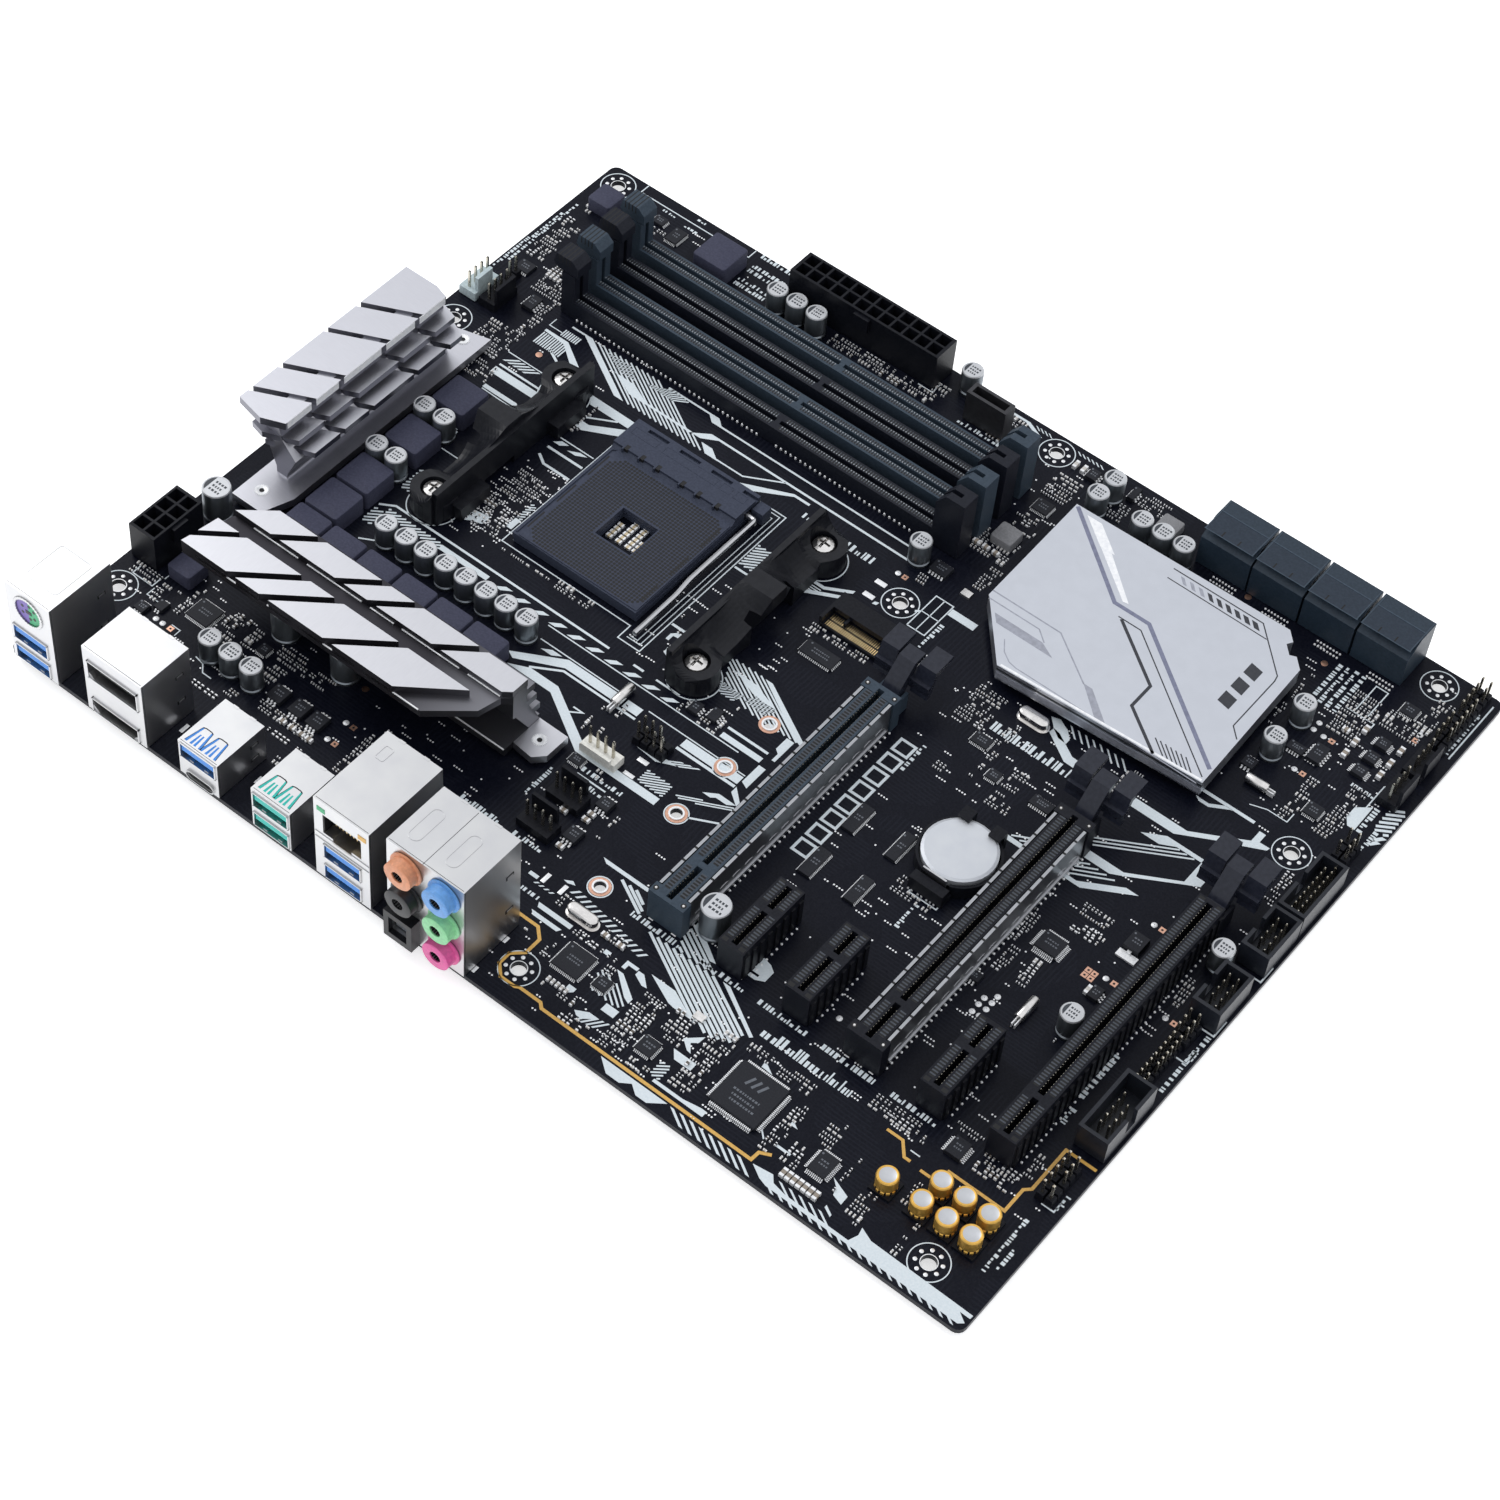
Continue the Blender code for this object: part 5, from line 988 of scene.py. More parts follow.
SLOT_TOP = 12.85
CAP_TOP = 13.0
SHIELD_TOP = 12.9
KEY_U = (55.4, 58.2)
SLOT_HALF = 3.8
LONG_SLOT_BACK = 131.4
SHIELDED_SLOTS = ["pcie_x16_slot_1", "pcie_x16_slot_2"]


def slot_openings(combs, contacts, middle, front, back):
    """The two rows of contact mouths along one expansion slot."""
    for u in steps_between(front, back, 1.0):
        if KEY_U[0] - 0.3 < u < KEY_U[1] + 0.3:
            continue
        for side in (-1, 1):
            v = middle + side * 2.35
            # Painted shade in each mouth.
            combs.box((v - 0.75, v + 0.75), (u - 0.27, u + 0.27), (SLOT_TOP, SLOT_TOP + 0.02))
            contacts.box((v - 0.85, v + 0.85), (u + 0.3, u + 0.7), (SLOT_TOP, SLOT_TOP + 0.06), 1)
            wall = middle + side * 0.82
            contacts.box((wall - 0.1, wall + 0.1), (u - 0.15, u + 0.15), (10.4, 12.5), 2)


FIRST_SLOT_V = 182.7
SLOT_PITCH = 20.32
SLOT_LINES = {
    "pcie_x16_slot_1": FIRST_SLOT_V, "pcie_x1_slot_1": FIRST_SLOT_V + SLOT_PITCH,
    "pcie_x1_slot_2": FIRST_SLOT_V + 2 * SLOT_PITCH, "pcie_x16_slot_2": FIRST_SLOT_V + 3 * SLOT_PITCH,
    "pcie_x1_slot_3": FIRST_SLOT_V + 4 * SLOT_PITCH, "pcie_x16_slot_3": FIRST_SLOT_V + 5 * SLOT_PITCH,
}


def detail_slots():
    """Contact mouths, ribs and solder along every expansion slot."""
    combs = Builder("expansion_slot_openings", HOLE_SHADE)
    contacts = Builder("expansion_slot_contacts", TOOTH_LIGHT, TOOTH_BLUE, PIN_METAL)
    ribs = Builder("expansion_slot_ribs", SLOT_RIB, SLATE_PLASTIC)
    solder = Builder("expansion_slot_solder", TIN)
    for node, line in SLOT_LINES.items():
        u0, u1 = spans(node)[1]
        back = LONG_SLOT_BACK if "x16" in node else u1
        slot_openings(combs, contacts, line, u0 + 2.4, back - 1.9)
        shielded = node in SHIELDED_SLOTS
        if not shielded:
            for u in steps_between(u0 + 1.5, back - 1.5, 3.05):
                for side in (-1, 1):
                    face = line + side * SLOT_HALF
                    ribs.box(sorted((face, face + side * 0.45)), (u - 0.75, u + 0.75), (SEAT + 0.4, 10.8))
            # Painted shade in the pockets at each end of the unshielded slots.
            for end_u in (u0 + 1.1, back - 1.1):
                for side in (-1, 1):
                    v = line + side * 2.6
                    combs.box((v - 0.8, v + 0.8), (end_u - 0.6, end_u + 0.6), (SLOT_TOP, SLOT_TOP + 0.02))
        reach = 5.4 if shielded else 4.75
        for u in steps_between(u0 + 3, back - 3, 2.0):
            solder.turned((line + reach, u), [(0, TOP), (0.36, TOP + 0.02), (0.3, TOP + 0.3),
                                              (0, TOP + 0.45)], 8)
    for piece in (combs, contacts, ribs, solder):
        piece.make()


def detail_shielded_slots():
    """Riveted end caps and the pressed steel of the two shielded slots."""
    marks = Builder("slot_cap_sockets", HOLE_SHADE, SCREW_STEEL)
    shields = Builder("slot_shield_folds", STEEL)
    gaps = Builder("slot_shield_gaps", HOLE_SHADE)
    for number, node in enumerate(SHIELDED_SLOTS, 1):
        line = SLOT_LINES[node]
        for low, high in ((42.7, 45.6), (128.3, 131.2)):
            for side in (-1, 1):
                place = (line + side * 4.3, (low + high) / 2)
                # A dark disc of painted shade round each rivet.
                marks.disc(place, 0.75, (CAP_TOP, CAP_TOP + 0.04), 16)
                marks.turned(place, [(0, CAP_TOP), (0.4, CAP_TOP + 0.02), (0.3, CAP_TOP + 0.2),
                                     (0, CAP_TOP + 0.24)], 12, slot=1)
        u0, u1 = spans(f"slot_shield_{number}")[1]
        for side in (-1, 1):
            v = line + side * 4.5
            # Painted shade in the gaps along the shield's top.
            for u in steps_between(u0 + 2, u1 - 2, 4.9):
                gaps.box((v - 0.42, v + 0.42), (u - 0.3, u + 0.3), (SHIELD_TOP, SHIELD_TOP + 0.04))
            face = line + side * 4.9
            for u in steps_between(u0 + 4, u1 - 4, 4.9):
                dimple = [(u + 1.7 * a, 5.6 + 0.5 * b) for a, b in arc((0, 0), 1.0)]
                shields.side_panel(dimple, sorted((face - side * 0.02, face + side * 0.1)))
            shields.box(sorted((face, face + side * 0.35)), (u0 + 1, u1 - 1), (2.3, 3.4))
    for piece in (marks, shields, gaps):
        piece.make()


GRID_CENTRE = (95.4, 133.35)
GRID_HALF = 19
GRID_GAP = 7
PIN_HOLE_RADIUS = 0.46
COVER_TOP = 5.6
BAR_FRONT = 154.6
SCREW_FLOOR = 7.9


def detail_processor_socket():
    """Pin holes, rails and notched bar of the cover, screw crosses, and the parts in its window."""
    holes = Builder("processor_pin_holes", HOLE_SHADE)
    # Each pin hole is a dark disc of painted shade.
    for column in range(-GRID_HALF, GRID_HALF + 1):
        for row in range(-GRID_HALF, GRID_HALF + 1):
            if max(abs(column), abs(row)) < GRID_GAP or abs(column) + abs(row) > 2 * GRID_HALF - 3:
                continue
            holes.disc((GRID_CENTRE[0] + column, GRID_CENTRE[1] + row), PIN_HOLE_RADIUS,
                       (COVER_TOP, COVER_TOP + 0.015), 6, smooth=False)
    holes.make("socket_cover_body")
    rails = Builder("processor_cover_rails", SOCKET_PLASTIC, HOLE_SHADE)
    (v0, v1), (u0, _), _ = spans("socket_cover")
    rails.stroke([(v0 + 0.8, u0 + 0.8), (v0 + 0.8, 153.3), (v0 + 3.2, 155), (v1 - 0.6, 155)], 0.5,
                 (COVER_TOP, COVER_TOP + 0.35))
    rails.stroke([(v1 - 0.5, 153), (v1 - 0.5, u0 + 0.8), (v0 + 2, u0 + 0.5)], 0.45,
                 (COVER_TOP, COVER_TOP + 0.3))
    for u_low, u_high in ((117, 124), (129, 137), (142, 151)):
        # Dark strips of painted shade in the grooves along the cover's sides.
        rails.box((v0 + 1.6, v0 + 2.1), (u_low, u_high), (COVER_TOP, COVER_TOP + 0.02), 1)
        rails.box((v1 - 2.0, v1 - 1.5), (u_low, u_high), (COVER_TOP, COVER_TOP + 0.02), 1)
    for v in (77.5, 83, 88.5, 97, 102.6, 109):
        # Painted shade: a dark block in each notch of the bar.
        rails.box((v - 0.6, v + 0.6), (BAR_FRONT - 0.03, BAR_FRONT + 1.7), (COVER_TOP + 0.3, 7.43), 1)
        rails.box((v - 1.1, v - 0.6), (BAR_FRONT - 0.5, BAR_FRONT + 1.5), (COVER_TOP, 7.5), 0)
    for v_low, v_high in ((74.5, 83), (85.5, 103.5), (105.2, 108.6), (110, 113.5)):
        rails.stroke([(v_low, 160.4), (v_high, 160.4), (v_high, 163), (v_low, 163)], 0.22,
                     (7.4, 7.46), closed=True)
    rails.make("socket_cover_body")
    crosses = Builder("bracket_screw_crosses", HOLE_SHADE)
    for number in range(1, 5):
        (low, high), (near, far), _ = spans(f"bracket_screw_{number}")
        # Dark crosses of painted shade in the screw heads' recesses.
        for turn in (0, 90):
            crosses.block((low + high) / 2, (near + far) / 2, (3.6, 0.62),
                          (SCREW_FLOOR, SCREW_FLOOR + 0.06), turn)
    crosses.make()
    caps = Builder("socket_window_capacitors", CAP_GOLD, TIN)
    for v, rows in ((91.2, 4), (94.4, 6), (97.6, 6), (100.0, 3)):
        for row in range(rows):
            small_part(caps, v, 131.6 + 1.62 * row, 1.9, 1.15, 0.8, 0)
    caps.make()


def small_part(builder, v, u, length, width, height, turn=0.0, body=0, ends=1):
    """A chip capacitor or resistor: a body between two metal ends."""
    cos, sin = math.cos(math.radians(turn)), math.sin(math.radians(turn))
    cap = length * 0.3
    builder.block(v, u, (length - 2 * cap, width * 0.96), (TOP, TOP + height * 0.96), turn, body)
    for side in (-1, 1):
        reach = side * (length - cap) / 2
        builder.block(v + reach * cos, u + reach * sin, (cap, width), (TOP, TOP + height), turn, ends, 0.04)


CARD_STEP_TOP = 3.0


def detail_card_connector():
    """Two rows of gilt springs on the low front step of the card-edge storage socket."""
    springs = Builder("card_edge_contacts", GOLD)
    (v0, v1), (u0, _), _ = spans("m2_connector")
    for v in steps_between(v0 + 1.6, v1 - 1.6, 0.62):
        for near, far, rise in ((0.5, 2.3, 0.06), (2.8, 4.9, 0.1)):
            springs.box((v - 0.13, v + 0.13), (u0 + near, u0 + far), (CARD_STEP_TOP, CARD_STEP_TOP + rise))
    springs.make()


def detail_storage_blocks():
    """The raised back of each storage socket's shell: painted shade over its near part, painted highlight
    along its ridge, near edge and side grooves, and painted shade in two small notches.
    """
    folds = Builder("storage_block_folds", SLATE_PAINTED_SHADE, SLATE_PAINTED_HIGHLIGHT, HOLE_SHADE)
    for number in range(1, 5):
        (v0, v1), (u0, u1), (_, top) = spans(f"sata_block_{number}")
        ridge = u0 + 0.62 * (u1 - u0)
        # Painted shade over the near part of the top.
        folds.box((v0 + 0.25, v1 - 0.25), (u0 + 0.25, ridge), (top, top + 0.04), 0)
        # Painted highlight along the ridge, the near edge and the side strips.
        folds.box((v0 + 0.1, v1 - 0.1), (ridge, ridge + 0.35), (top, top + 0.12), 1)
        folds.box((v0 + 0.15, v1 - 0.15), (u0 + 0.12, u0 + 0.4), (top, top + 0.08), 1)
        for v in (v0 + 0.3, v1 - 0.6):
            folds.box((v, v + 0.3), (u0 + 0.3, u1 - 0.3), (top, top + 0.1), 1)
        for share in (0.34, 0.66):
            v = v0 + share * (v1 - v0)
            # Painted shade in two small notches.
            folds.box((v - 0.2, v + 0.2), (u0 + 0.5, u0 + 2.5), (top + 0.04, top + 0.06), 2)
    folds.make()


def detail_latch_heads():
    """Dark strips across the head of each memory latch, painted shade between its thumb ribs."""
    for number in range(1, 5):
        ribs = Builder(f"latch_rib_shade_{number}", HOLE_SHADE)
        (v0, _), (u0, u1), (_, top) = spans(f"dimm_latch_{number}")
        for index in range(4):
            v = v0 + 1.9 + 1.25 * index
            ribs.box((v - 0.16, v + 0.16), (u0 - 0.03, u1 + 0.03), (top - 2.4, top + 0.03))
        ribs.make(f"dimm_latch_{number}_body")


# ---------------------------------------------------------------- pins and small connectors

PIN_HALF = 0.32


def pin(builder, v, u, top):
    """A square pin with a drawn-in point."""
    rings = []
    for z, half in ((SEAT, PIN_HALF), (top - 0.35, PIN_HALF), (top, PIN_HALF * 0.45)):
        rings.append([(a, b, z) for a, b in rectangle(v - half, v + half, u - half, u + half)])
    builder.stack(rings)


def pin_header(base, pins, v, u, columns, rows, pitch, top, missing):
    """A pin block: one small chamfered cell per pin where there is a base, and the pins."""
    base_top = BASE_TOP if pitch > FINE_PITCH else FINE_BASE_TOP
    for column in range(columns):
        for row in range(rows):
            place = (v + pitch * column, u + pitch * row)
            if base is not None:
                base.block(*place, (pitch - 0.02, pitch - 0.02), (SEAT, base_top), 0, 0, 0.3)
            if (column, row) not in missing:
                pin(pins, *place, top)


PIN_PITCH, FINE_PITCH = 2.54, 2.0
BASE_TOP, FINE_BASE_TOP = 4.1, 3.4

# Pins that stand in the frame's own headers: v, u, columns, rows, pitch, top and missing pins.
BARE_PINS = [
    (299.2, 145.6, 2, 10, 1.95, 9.4, [(0, 9)]), (298.6, 130.4, 2, 5, PIN_PITCH, 9.0, [(0, 0)]),
    (298.6, 108.6, 2, 5, PIN_PITCH, 9.0, [(0, 0)]), (298.4, 63.5, 2, 5, PIN_PITCH, 9.0, [(1, 4)]),
]
# Pin blocks with a base of their own, in the same terms.
PIN_BLOCKS = [
    (297.9, 41.4, 2, 5, PIN_PITCH, 9.6, [(1, 1)]), (297.4, 80.4, 2, 9, FINE_PITCH, 8.2, [(1, 2)]),
    (297.2, 98.6, 2, 3, PIN_PITCH, 9.6, []),
    (297.6, 218.4, 2, 10, PIN_PITCH, 9.6, [(1, 0), (0, 4), (1, 7)]),
    (297.6, 171.0, 2, 3, PIN_PITCH, 9.6, [(0, 1)]), (141.3, 82.9, 4, 2, PIN_PITCH, 10.2, [(3, 1)]),
    (8.6, 186.6, 1, 2, PIN_PITCH, 9.6, []),
]

FAN_WALL_IN, FAN_WALL_OUT = 2.4, 3.4


def fan_header(base, pins, v, u, along):
    """A keyed four-pin fan header: a base, a row of pins and a low wall along its far side."""
    length = 4 * PIN_PITCH
    for lengthwise, across, zs in (((-1.4, length - 1.4), (-2.7, 2.9), (SEAT, 4.4)),
                                   ((-0.6, length - 2.6), (FAN_WALL_IN, FAN_WALL_OUT), (4.2, 9.8))):
        dv, du = (lengthwise, across) if along == "v" else (across, lengthwise)
        base.box((v + dv[0], v + dv[1]), (u + du[0], u + du[1]), zs)
    for index in range(4):
        step = PIN_PITCH * index
        pin(pins, v + (step if along == "v" else 0), u + (step if along == "u" else 0), 10.4)


def make_pins():
    base = Builder("pin_header_bases", BLACK_PLASTIC, WHITE_PLASTIC)
    pins = Builder("header_pins", PIN_METAL)
    for block in BARE_PINS:
        pin_header(None, pins, *block)
    for block in PIN_BLOCKS:
        pin_header(base, pins, *block)
    for v, u, along in ((298.6, 206.6, "u"), (298.6, 194.6, "u"), (136.2, 56.8, "v"), (136.2, 45.4, "v"),
                        (10.6, 175.4, "u")):
        fan_header(base, pins, v, u, along)
    base.box((131.6, 143.0), (71.0, 75.2), (SEAT, 4.4), 1)
    base.box((132.6, 142.0), (70.2, 71.2), (4.0, 6.2), 1)
    for index in range(4):
        pin(pins, 133.4 + PIN_PITCH * index, 73.2, 11.0)
    for index in range(4):
        pin(pins, 3.6, 175.0 + PIN_PITCH * index, 11.0)
    base.make()
    pins.make()


# ---------------------------------------------------------------- heat sink details

CHIPSET_TOP = 10.0
# Bright print on the chipset sink, also used for the painted edge highlights on the power sinks.
BRIGHT_PRINT_AND_HIGHLIGHT = surface("sink_print_and_painted_highlight", (0.84, 0.85, 0.88), 0.35, scale=800, bump=0.02)
ART_LILAC = surface("sink_print_lilac", (0.18, 0.19, 0.27), 0.35, 0.3, scale=800, bump=0.04)
ART_DARK = surface("sink_print_dark", (0.022, 0.024, 0.032), 0.35, scale=800, bump=0.04)
ART_GREY = surface("sink_print_grey", (0.32, 0.33, 0.38), 0.35, 0.4, scale=800, bump=0.04)


def on_sink(points):
    """Places read on the chipset's heat sink, moved to where they stand at its height."""
    return [from_view(v, u, CHIPSET_TOP) for v, u in points]


ART_FLAT = (CHIPSET_TOP, CHIPSET_TOP + 0.03)
ART_ABOVE = (CHIPSET_TOP, CHIPSET_TOP + 0.05)
ART_HIGHEST = (CHIPSET_TOP, CHIPSET_TOP + 0.055)

# Lines on the chipset's heat sink: width, layer, tone and path.
SINK_LINES = [
    (1.2, ART_FLAT, 1, [(179.6, 225.2), (206.8, 203.6), (218, 203.6), (257.5, 173.6)]),
    (0.35, ART_FLAT, 2, [(210.3, 200.3), (217.6, 200.3), (257.4, 170.2)]),
    (0.9, ART_ABOVE, 2, [(211.5, 200), (230.3, 186.2), (230.3, 177.5), (243.5, 168)]),
    (0.35, ART_FLAT, 2, [(212, 224.3), (241, 224.3), (246.3, 219), (253.8, 211.5), (254.2, 209.5),
                         (254.2, 189.7), (257.4, 186.5)]),
    (0.3, ART_FLAT, 2, [(212.5, 220.5), (244.7, 220.2)]),
    (0.4, ART_FLAT, 3, [(179.8, 185.3), (202, 185.3), (216.7, 175)]),
    (0.35, ART_FLAT, 3, [(180.5, 182.5), (197, 182.5), (200.7, 179.5)]),
    (0.3, ART_FLAT, 3, [(192, 173.6), (194.5, 170), (197.5, 168), (200, 167.5), (257.4, 167.5)]),
] + [(0.35, ART_FLAT, 2, [(241 + 1.6 * row, 172.8), (245.8 + 1.5 * row, 169.1)]) for row in range(7)]

# Filled shapes on it: layer, tone and outline.
SINK_SHAPES = [
    (ART_ABOVE, 0, [(183.3, 224.4), (188.2, 224.4), (197.3, 217.4), (192.5, 217.4)]),
    (ART_HIGHEST, 0, [(191.6, 218.2), (196.4, 217.3), (210, 205.6), (208.3, 205.3)]),
    (ART_FLAT, 3, [(216.5, 175.2), (219.3, 175.2), (228.5, 167.8), (225, 167.8)]),
    (ART_FLAT, 3, [(184.7, 179.3), (200.3, 179.3), (205.3, 176.7), (187, 176.7)]),
] + [(ART_FLAT, 2, [(246.2, u - 1.8), (250.2, u - 2.6), (250.2, u + 1.6), (246.2, u + 2.4)])
     for u in (196, 202.2, 208.4)]


def decorate_chipset_sink():
    """The chipset heat sink's printed lines and shapes, and the bands along its near edge."""
    art = Builder("chipset_sink_artwork", BRIGHT_PRINT_AND_HIGHLIGHT, ART_LILAC, ART_DARK, ART_GREY)
    for width, layer, tone, path in SINK_LINES:
        art.stroke(on_sink(path), width, layer, tone)
    for layer, tone, outline in SINK_SHAPES:
        art.prism(on_sink(outline), layer, tone)
    for index in range(9):
        v = 215 + 2.87 * index
        width = 1.2 + 0.08 * index
        slanted = [(v, 223.3), (v + width, 223.3), (v + width + 2.0, 221.3), (v + 2.0, 221.3)]
        art.prism(on_sink(slanted), ART_FLAT, 3 if index < 3 else 2)
    art.stroke([(199.6, 159.5), (260.4, 162.9)], 0.7, ART_ABOVE, 0)
    (v0, u0), (v1, u1) = (198.9, 158.8), (261.0, 162.3)
    for low, high, tone in ((8.3, 9.0, 2), (5.4, 7.6, 3)):
        art.prism([(v0, u0 - 0.04), (v1, u1 - 0.04), (v1, u1 + 0.2), (v0, u0 + 0.2)], (low, high), tone)
    art.make()


def rim(builder, start, end, place, size):
    """A bright square strip along a plate's edge, a painted highlight; place is its (u, z)."""
    u, z = place
    builder.box((start, end), (u - size / 2, u + size / 2), (z - size / 2, z + size / 2))


RIVET_SHELF = 5.6


def rivet(builder, v, u):
    """A pressed washer with a fluted edge round a countersunk pin."""
    z = RIVET_SHELF
    for index, place in enumerate(arc((v, u), 1.85, steps=24)):
        builder.block(*place, (0.42, 0.26), (z, z + 0.14), 15 * index)
    builder.turned((v, u), [(0, z + 0.05), (1.8, z + 0.05), (1.75, z + 0.2), (1.0, z + 0.22),
                            (0.8, z + 0.08), (0, z + 0.08)], 24)
    # Painted shade: a dark disc in the countersunk pin's hollow.
    builder.disc((v, u), 0.72, (z + 0.08, z + 0.1), 16, 1)


def detail_power_sinks():
    """Painted highlights as bright strips along the edges of the two tall heat sinks' plates, and their
    rivets.
    """
    edge_highlights = Builder("power_sink_edge_highlights", BRIGHT_PRINT_AND_HIGHLIGHT, HOLE_SHADE)
    for start, end in ((28.6, 50.1), (53.0, 60.9), (64.1, 82.5), (85.9, 104.0)):
        rim(edge_highlights, start, end, (40.95, 23.5), 0.3)
    for start, end in ((33.2, 48.5), (51.6, 70.3), (73.3, 81.2), (84.0, 103.1), (106, 116.6)):
        rim(edge_highlights, start, end, (57.25, 24.0), 0.28)
    rim(edge_highlights, 101.8, 119.2, (56.0, RIVET_SHELF), 0.3)
    # Painted highlights down the ends of the side sink's top plates.
    for start, end in ((88.0, 97.2), (99.2, 107.8), (110.0, 124.6), (126.6, 138.0), (140.0, 150.4)):
        edge_highlights.box((16.15, 16.3), (start, end), (24.6, 26.95))
    edge_highlights.make()
    rivets = Builder("sink_rivets", TIN, HOLE_SHADE)
    for v, u in ((124.0, 64.4), (13.8, 79.6), (16.5, 157.5)):
        rivet(rivets, v, u)
    rivets.make()


# ---------------------------------------------------------------- rear sockets

USB_BLUE = surface("usb_blue", (0.02, 0.20, 0.62), 0.4, scale=1200, bump=0.05)
USB_TEAL = surface("usb_teal", (0.0, 0.42, 0.36), 0.4, scale=1200, bump=0.05)
KEY_PURPLE = surface("socket_purple", (0.16, 0.11, 0.38), 0.45, scale=1200, bump=0.08)
MOUSE_GREEN = surface("socket_green", (0.04, 0.36, 0.16), 0.45, scale=1200, bump=0.08)
JACK_COLOURS = [
    surface("jack_orange", (0.60, 0.25, 0.13), 0.42, scale=1200, bump=0.05),
    surface("jack_black", (0.012, 0.012, 0.014), 0.42, scale=1200, bump=0.05),
    surface("jack_blue", (0.10, 0.28, 0.60), 0.42, scale=1200, bump=0.05),
    surface("jack_green", (0.22, 0.56, 0.28), 0.42, scale=1200, bump=0.05),
    surface("jack_pink", (0.62, 0.08, 0.28), 0.42, scale=1200, bump=0.05),
]
PORT_BLACK = surface("port_black", (0.006, 0.006, 0.008), 0.35, scale=1200, bump=0.05, gloss=0.3)


def usb_mouth(builder, span, z, face, colour):
    """Coloured tongue, spring windows and a bright flared lip round one USB-A opening."""
    v0, v1 = span
    middle = (v0 + v1) / 2
    builder.box((v0 + 0.5, v1 - 0.5), (face + 0.1, face + 9), (z + 2.3, z + 4.7), colour)
    # A dark sheet under the tongue, painted shade for the hollow of the mouth.
    builder.box((v0 + 0.05, v1 - 0.05), (face + 3.0, face + 3.3), (z + 0.05, z + 2.4), 3)
    for index in range(4):
        v = v0 + 2.3 + 2.55 * index
        builder.box((v - 0.5, v + 0.5), (face + 1.0, face + 6), (z + 2.32, z + 2.45), 2)
    for low, high in ((v0, v0 + 0.35), (v1 - 0.35, v1)):
        builder.box((low, high), (face - 0.35, face + 0.6), (z - 0.1, z + 5.3), 2)
    for low in (z - 0.15, z + 5.05):
        builder.box((v0, v1), (face - 0.35, face + 0.6), (low, low + 0.3), 2)
    for v in (middle - 3.1, middle + 1.9):
        builder.box((v, v + 1.4), (face + 0.1, face + 2.2), (z + 0.05, z + 0.45), 2)


# USB openings: v span, lower edge, front face and the slot of the tongue's colour.
USB_MOUTHS = [
    ((4.4, 16.6), 10.3, -0.9, 0), ((4.4, 16.6), 2.6, -0.9, 0), ((86.5, 98.4), 10.4, -0.4, 1),
    ((86.5, 98.4), 2.6, -0.4, 1), ((110.4, 122.6), 10.8, -0.6, 0), ((110.4, 122.6), 2.6, -0.6, 0),
    ((61.6, 73.7), 9.0, -0.2, 0),
]
# Shells with windows in their tops: first side, top and the colour seen inside.
USB_SHELLS = [(61.0, 14.7, 0), (86.0, 16.8, 1)]


def make_port_details():
    ports = Builder("usb_port_details", USB_BLUE, USB_TEAL, SHELL_STEEL, PORT_BLACK)
    for span, z, face, colour in USB_MOUTHS:
        usb_mouth(ports, span, z, face, colour)
    for v0, top, slot in USB_SHELLS:
        for centre in (v0 + 3.9, v0 + 9.0):
            shell_window(ports, centre, top, slot)
    ports.make()


def shell_window(builder, middle, top, slot):
    """A tapered window in a shell's top, its colour seen either side of the leaf spring."""
    flat, raised = (top, top + 0.02), (top, top + 0.03)
    for side in (-1, 1):
        for near, far, length in (((1.9, 2.7), (1.7, 1.2), 6.6), ((0.25, 1.0), (0.7, 0.25), 4.6)):
            builder.prism([(middle + side * near[0], 0.9), (middle + side * near[1], 0.9),
                           (middle + side * far[0], length), (middle + side * far[1], length)], flat, slot)
        # Dark lines of painted shade along the window's sides.
        builder.stroke([(middle + side * 2.7, 0.9), (middle + side * 1.7, 6.6)], 0.14, raised, 3)
    # Painted shade along the window's far edge.
    builder.stroke([(middle - 1.7, 6.6), (middle - 0.9, 6.9), (middle + 0.9, 6.9), (middle + 1.7, 6.6)],
                   0.3, raised, 3)


ROUND_CENTRE = (10.9, 24.3)
ROUND_RADIUS = 4.2


def make_round_socket():
    """The two-coloured keyboard and mouse insert, its pin holes and the beaded metal collar."""
    insert = Builder("round_socket_insert", KEY_PURPLE, MOUSE_GREEN, PORT_BLACK, SHELL_STEEL)
    centre_v, centre_z = ROUND_CENTRE
    for slot, first in ((0, 90), (1, -90)):
        insert.front_panel(arc(ROUND_CENTRE, ROUND_RADIUS, first, first + 180), (-0.75, 0.2), slot)
    # Each pin hole is a dark disc of painted shade.
    for angle in (35, 80, 150, 210, 280, 325):
        v = centre_v + 2.4 * math.cos(math.radians(angle))
        z = centre_z + 2.4 * math.sin(math.radians(angle))
        insert.disc((v, -0.8, z), 0.5, (0, 0.1), 12, 2, "y")
    # The key slot is a dark block of painted shade.
    insert.box((centre_v - 1.0, centre_v + 1.0), (-0.85, -0.7), (centre_z - 0.7, centre_z + 0.5), 2)
    for v, z in arc(ROUND_CENTRE, ROUND_RADIUS + 0.5, steps=32):
        insert.turned((v, -1.25, z), [(0, 0), (0.5, 0.05), (0.5, 0.45), (0, 0.5)], 8, slot=3, axis="y")
    insert.make()


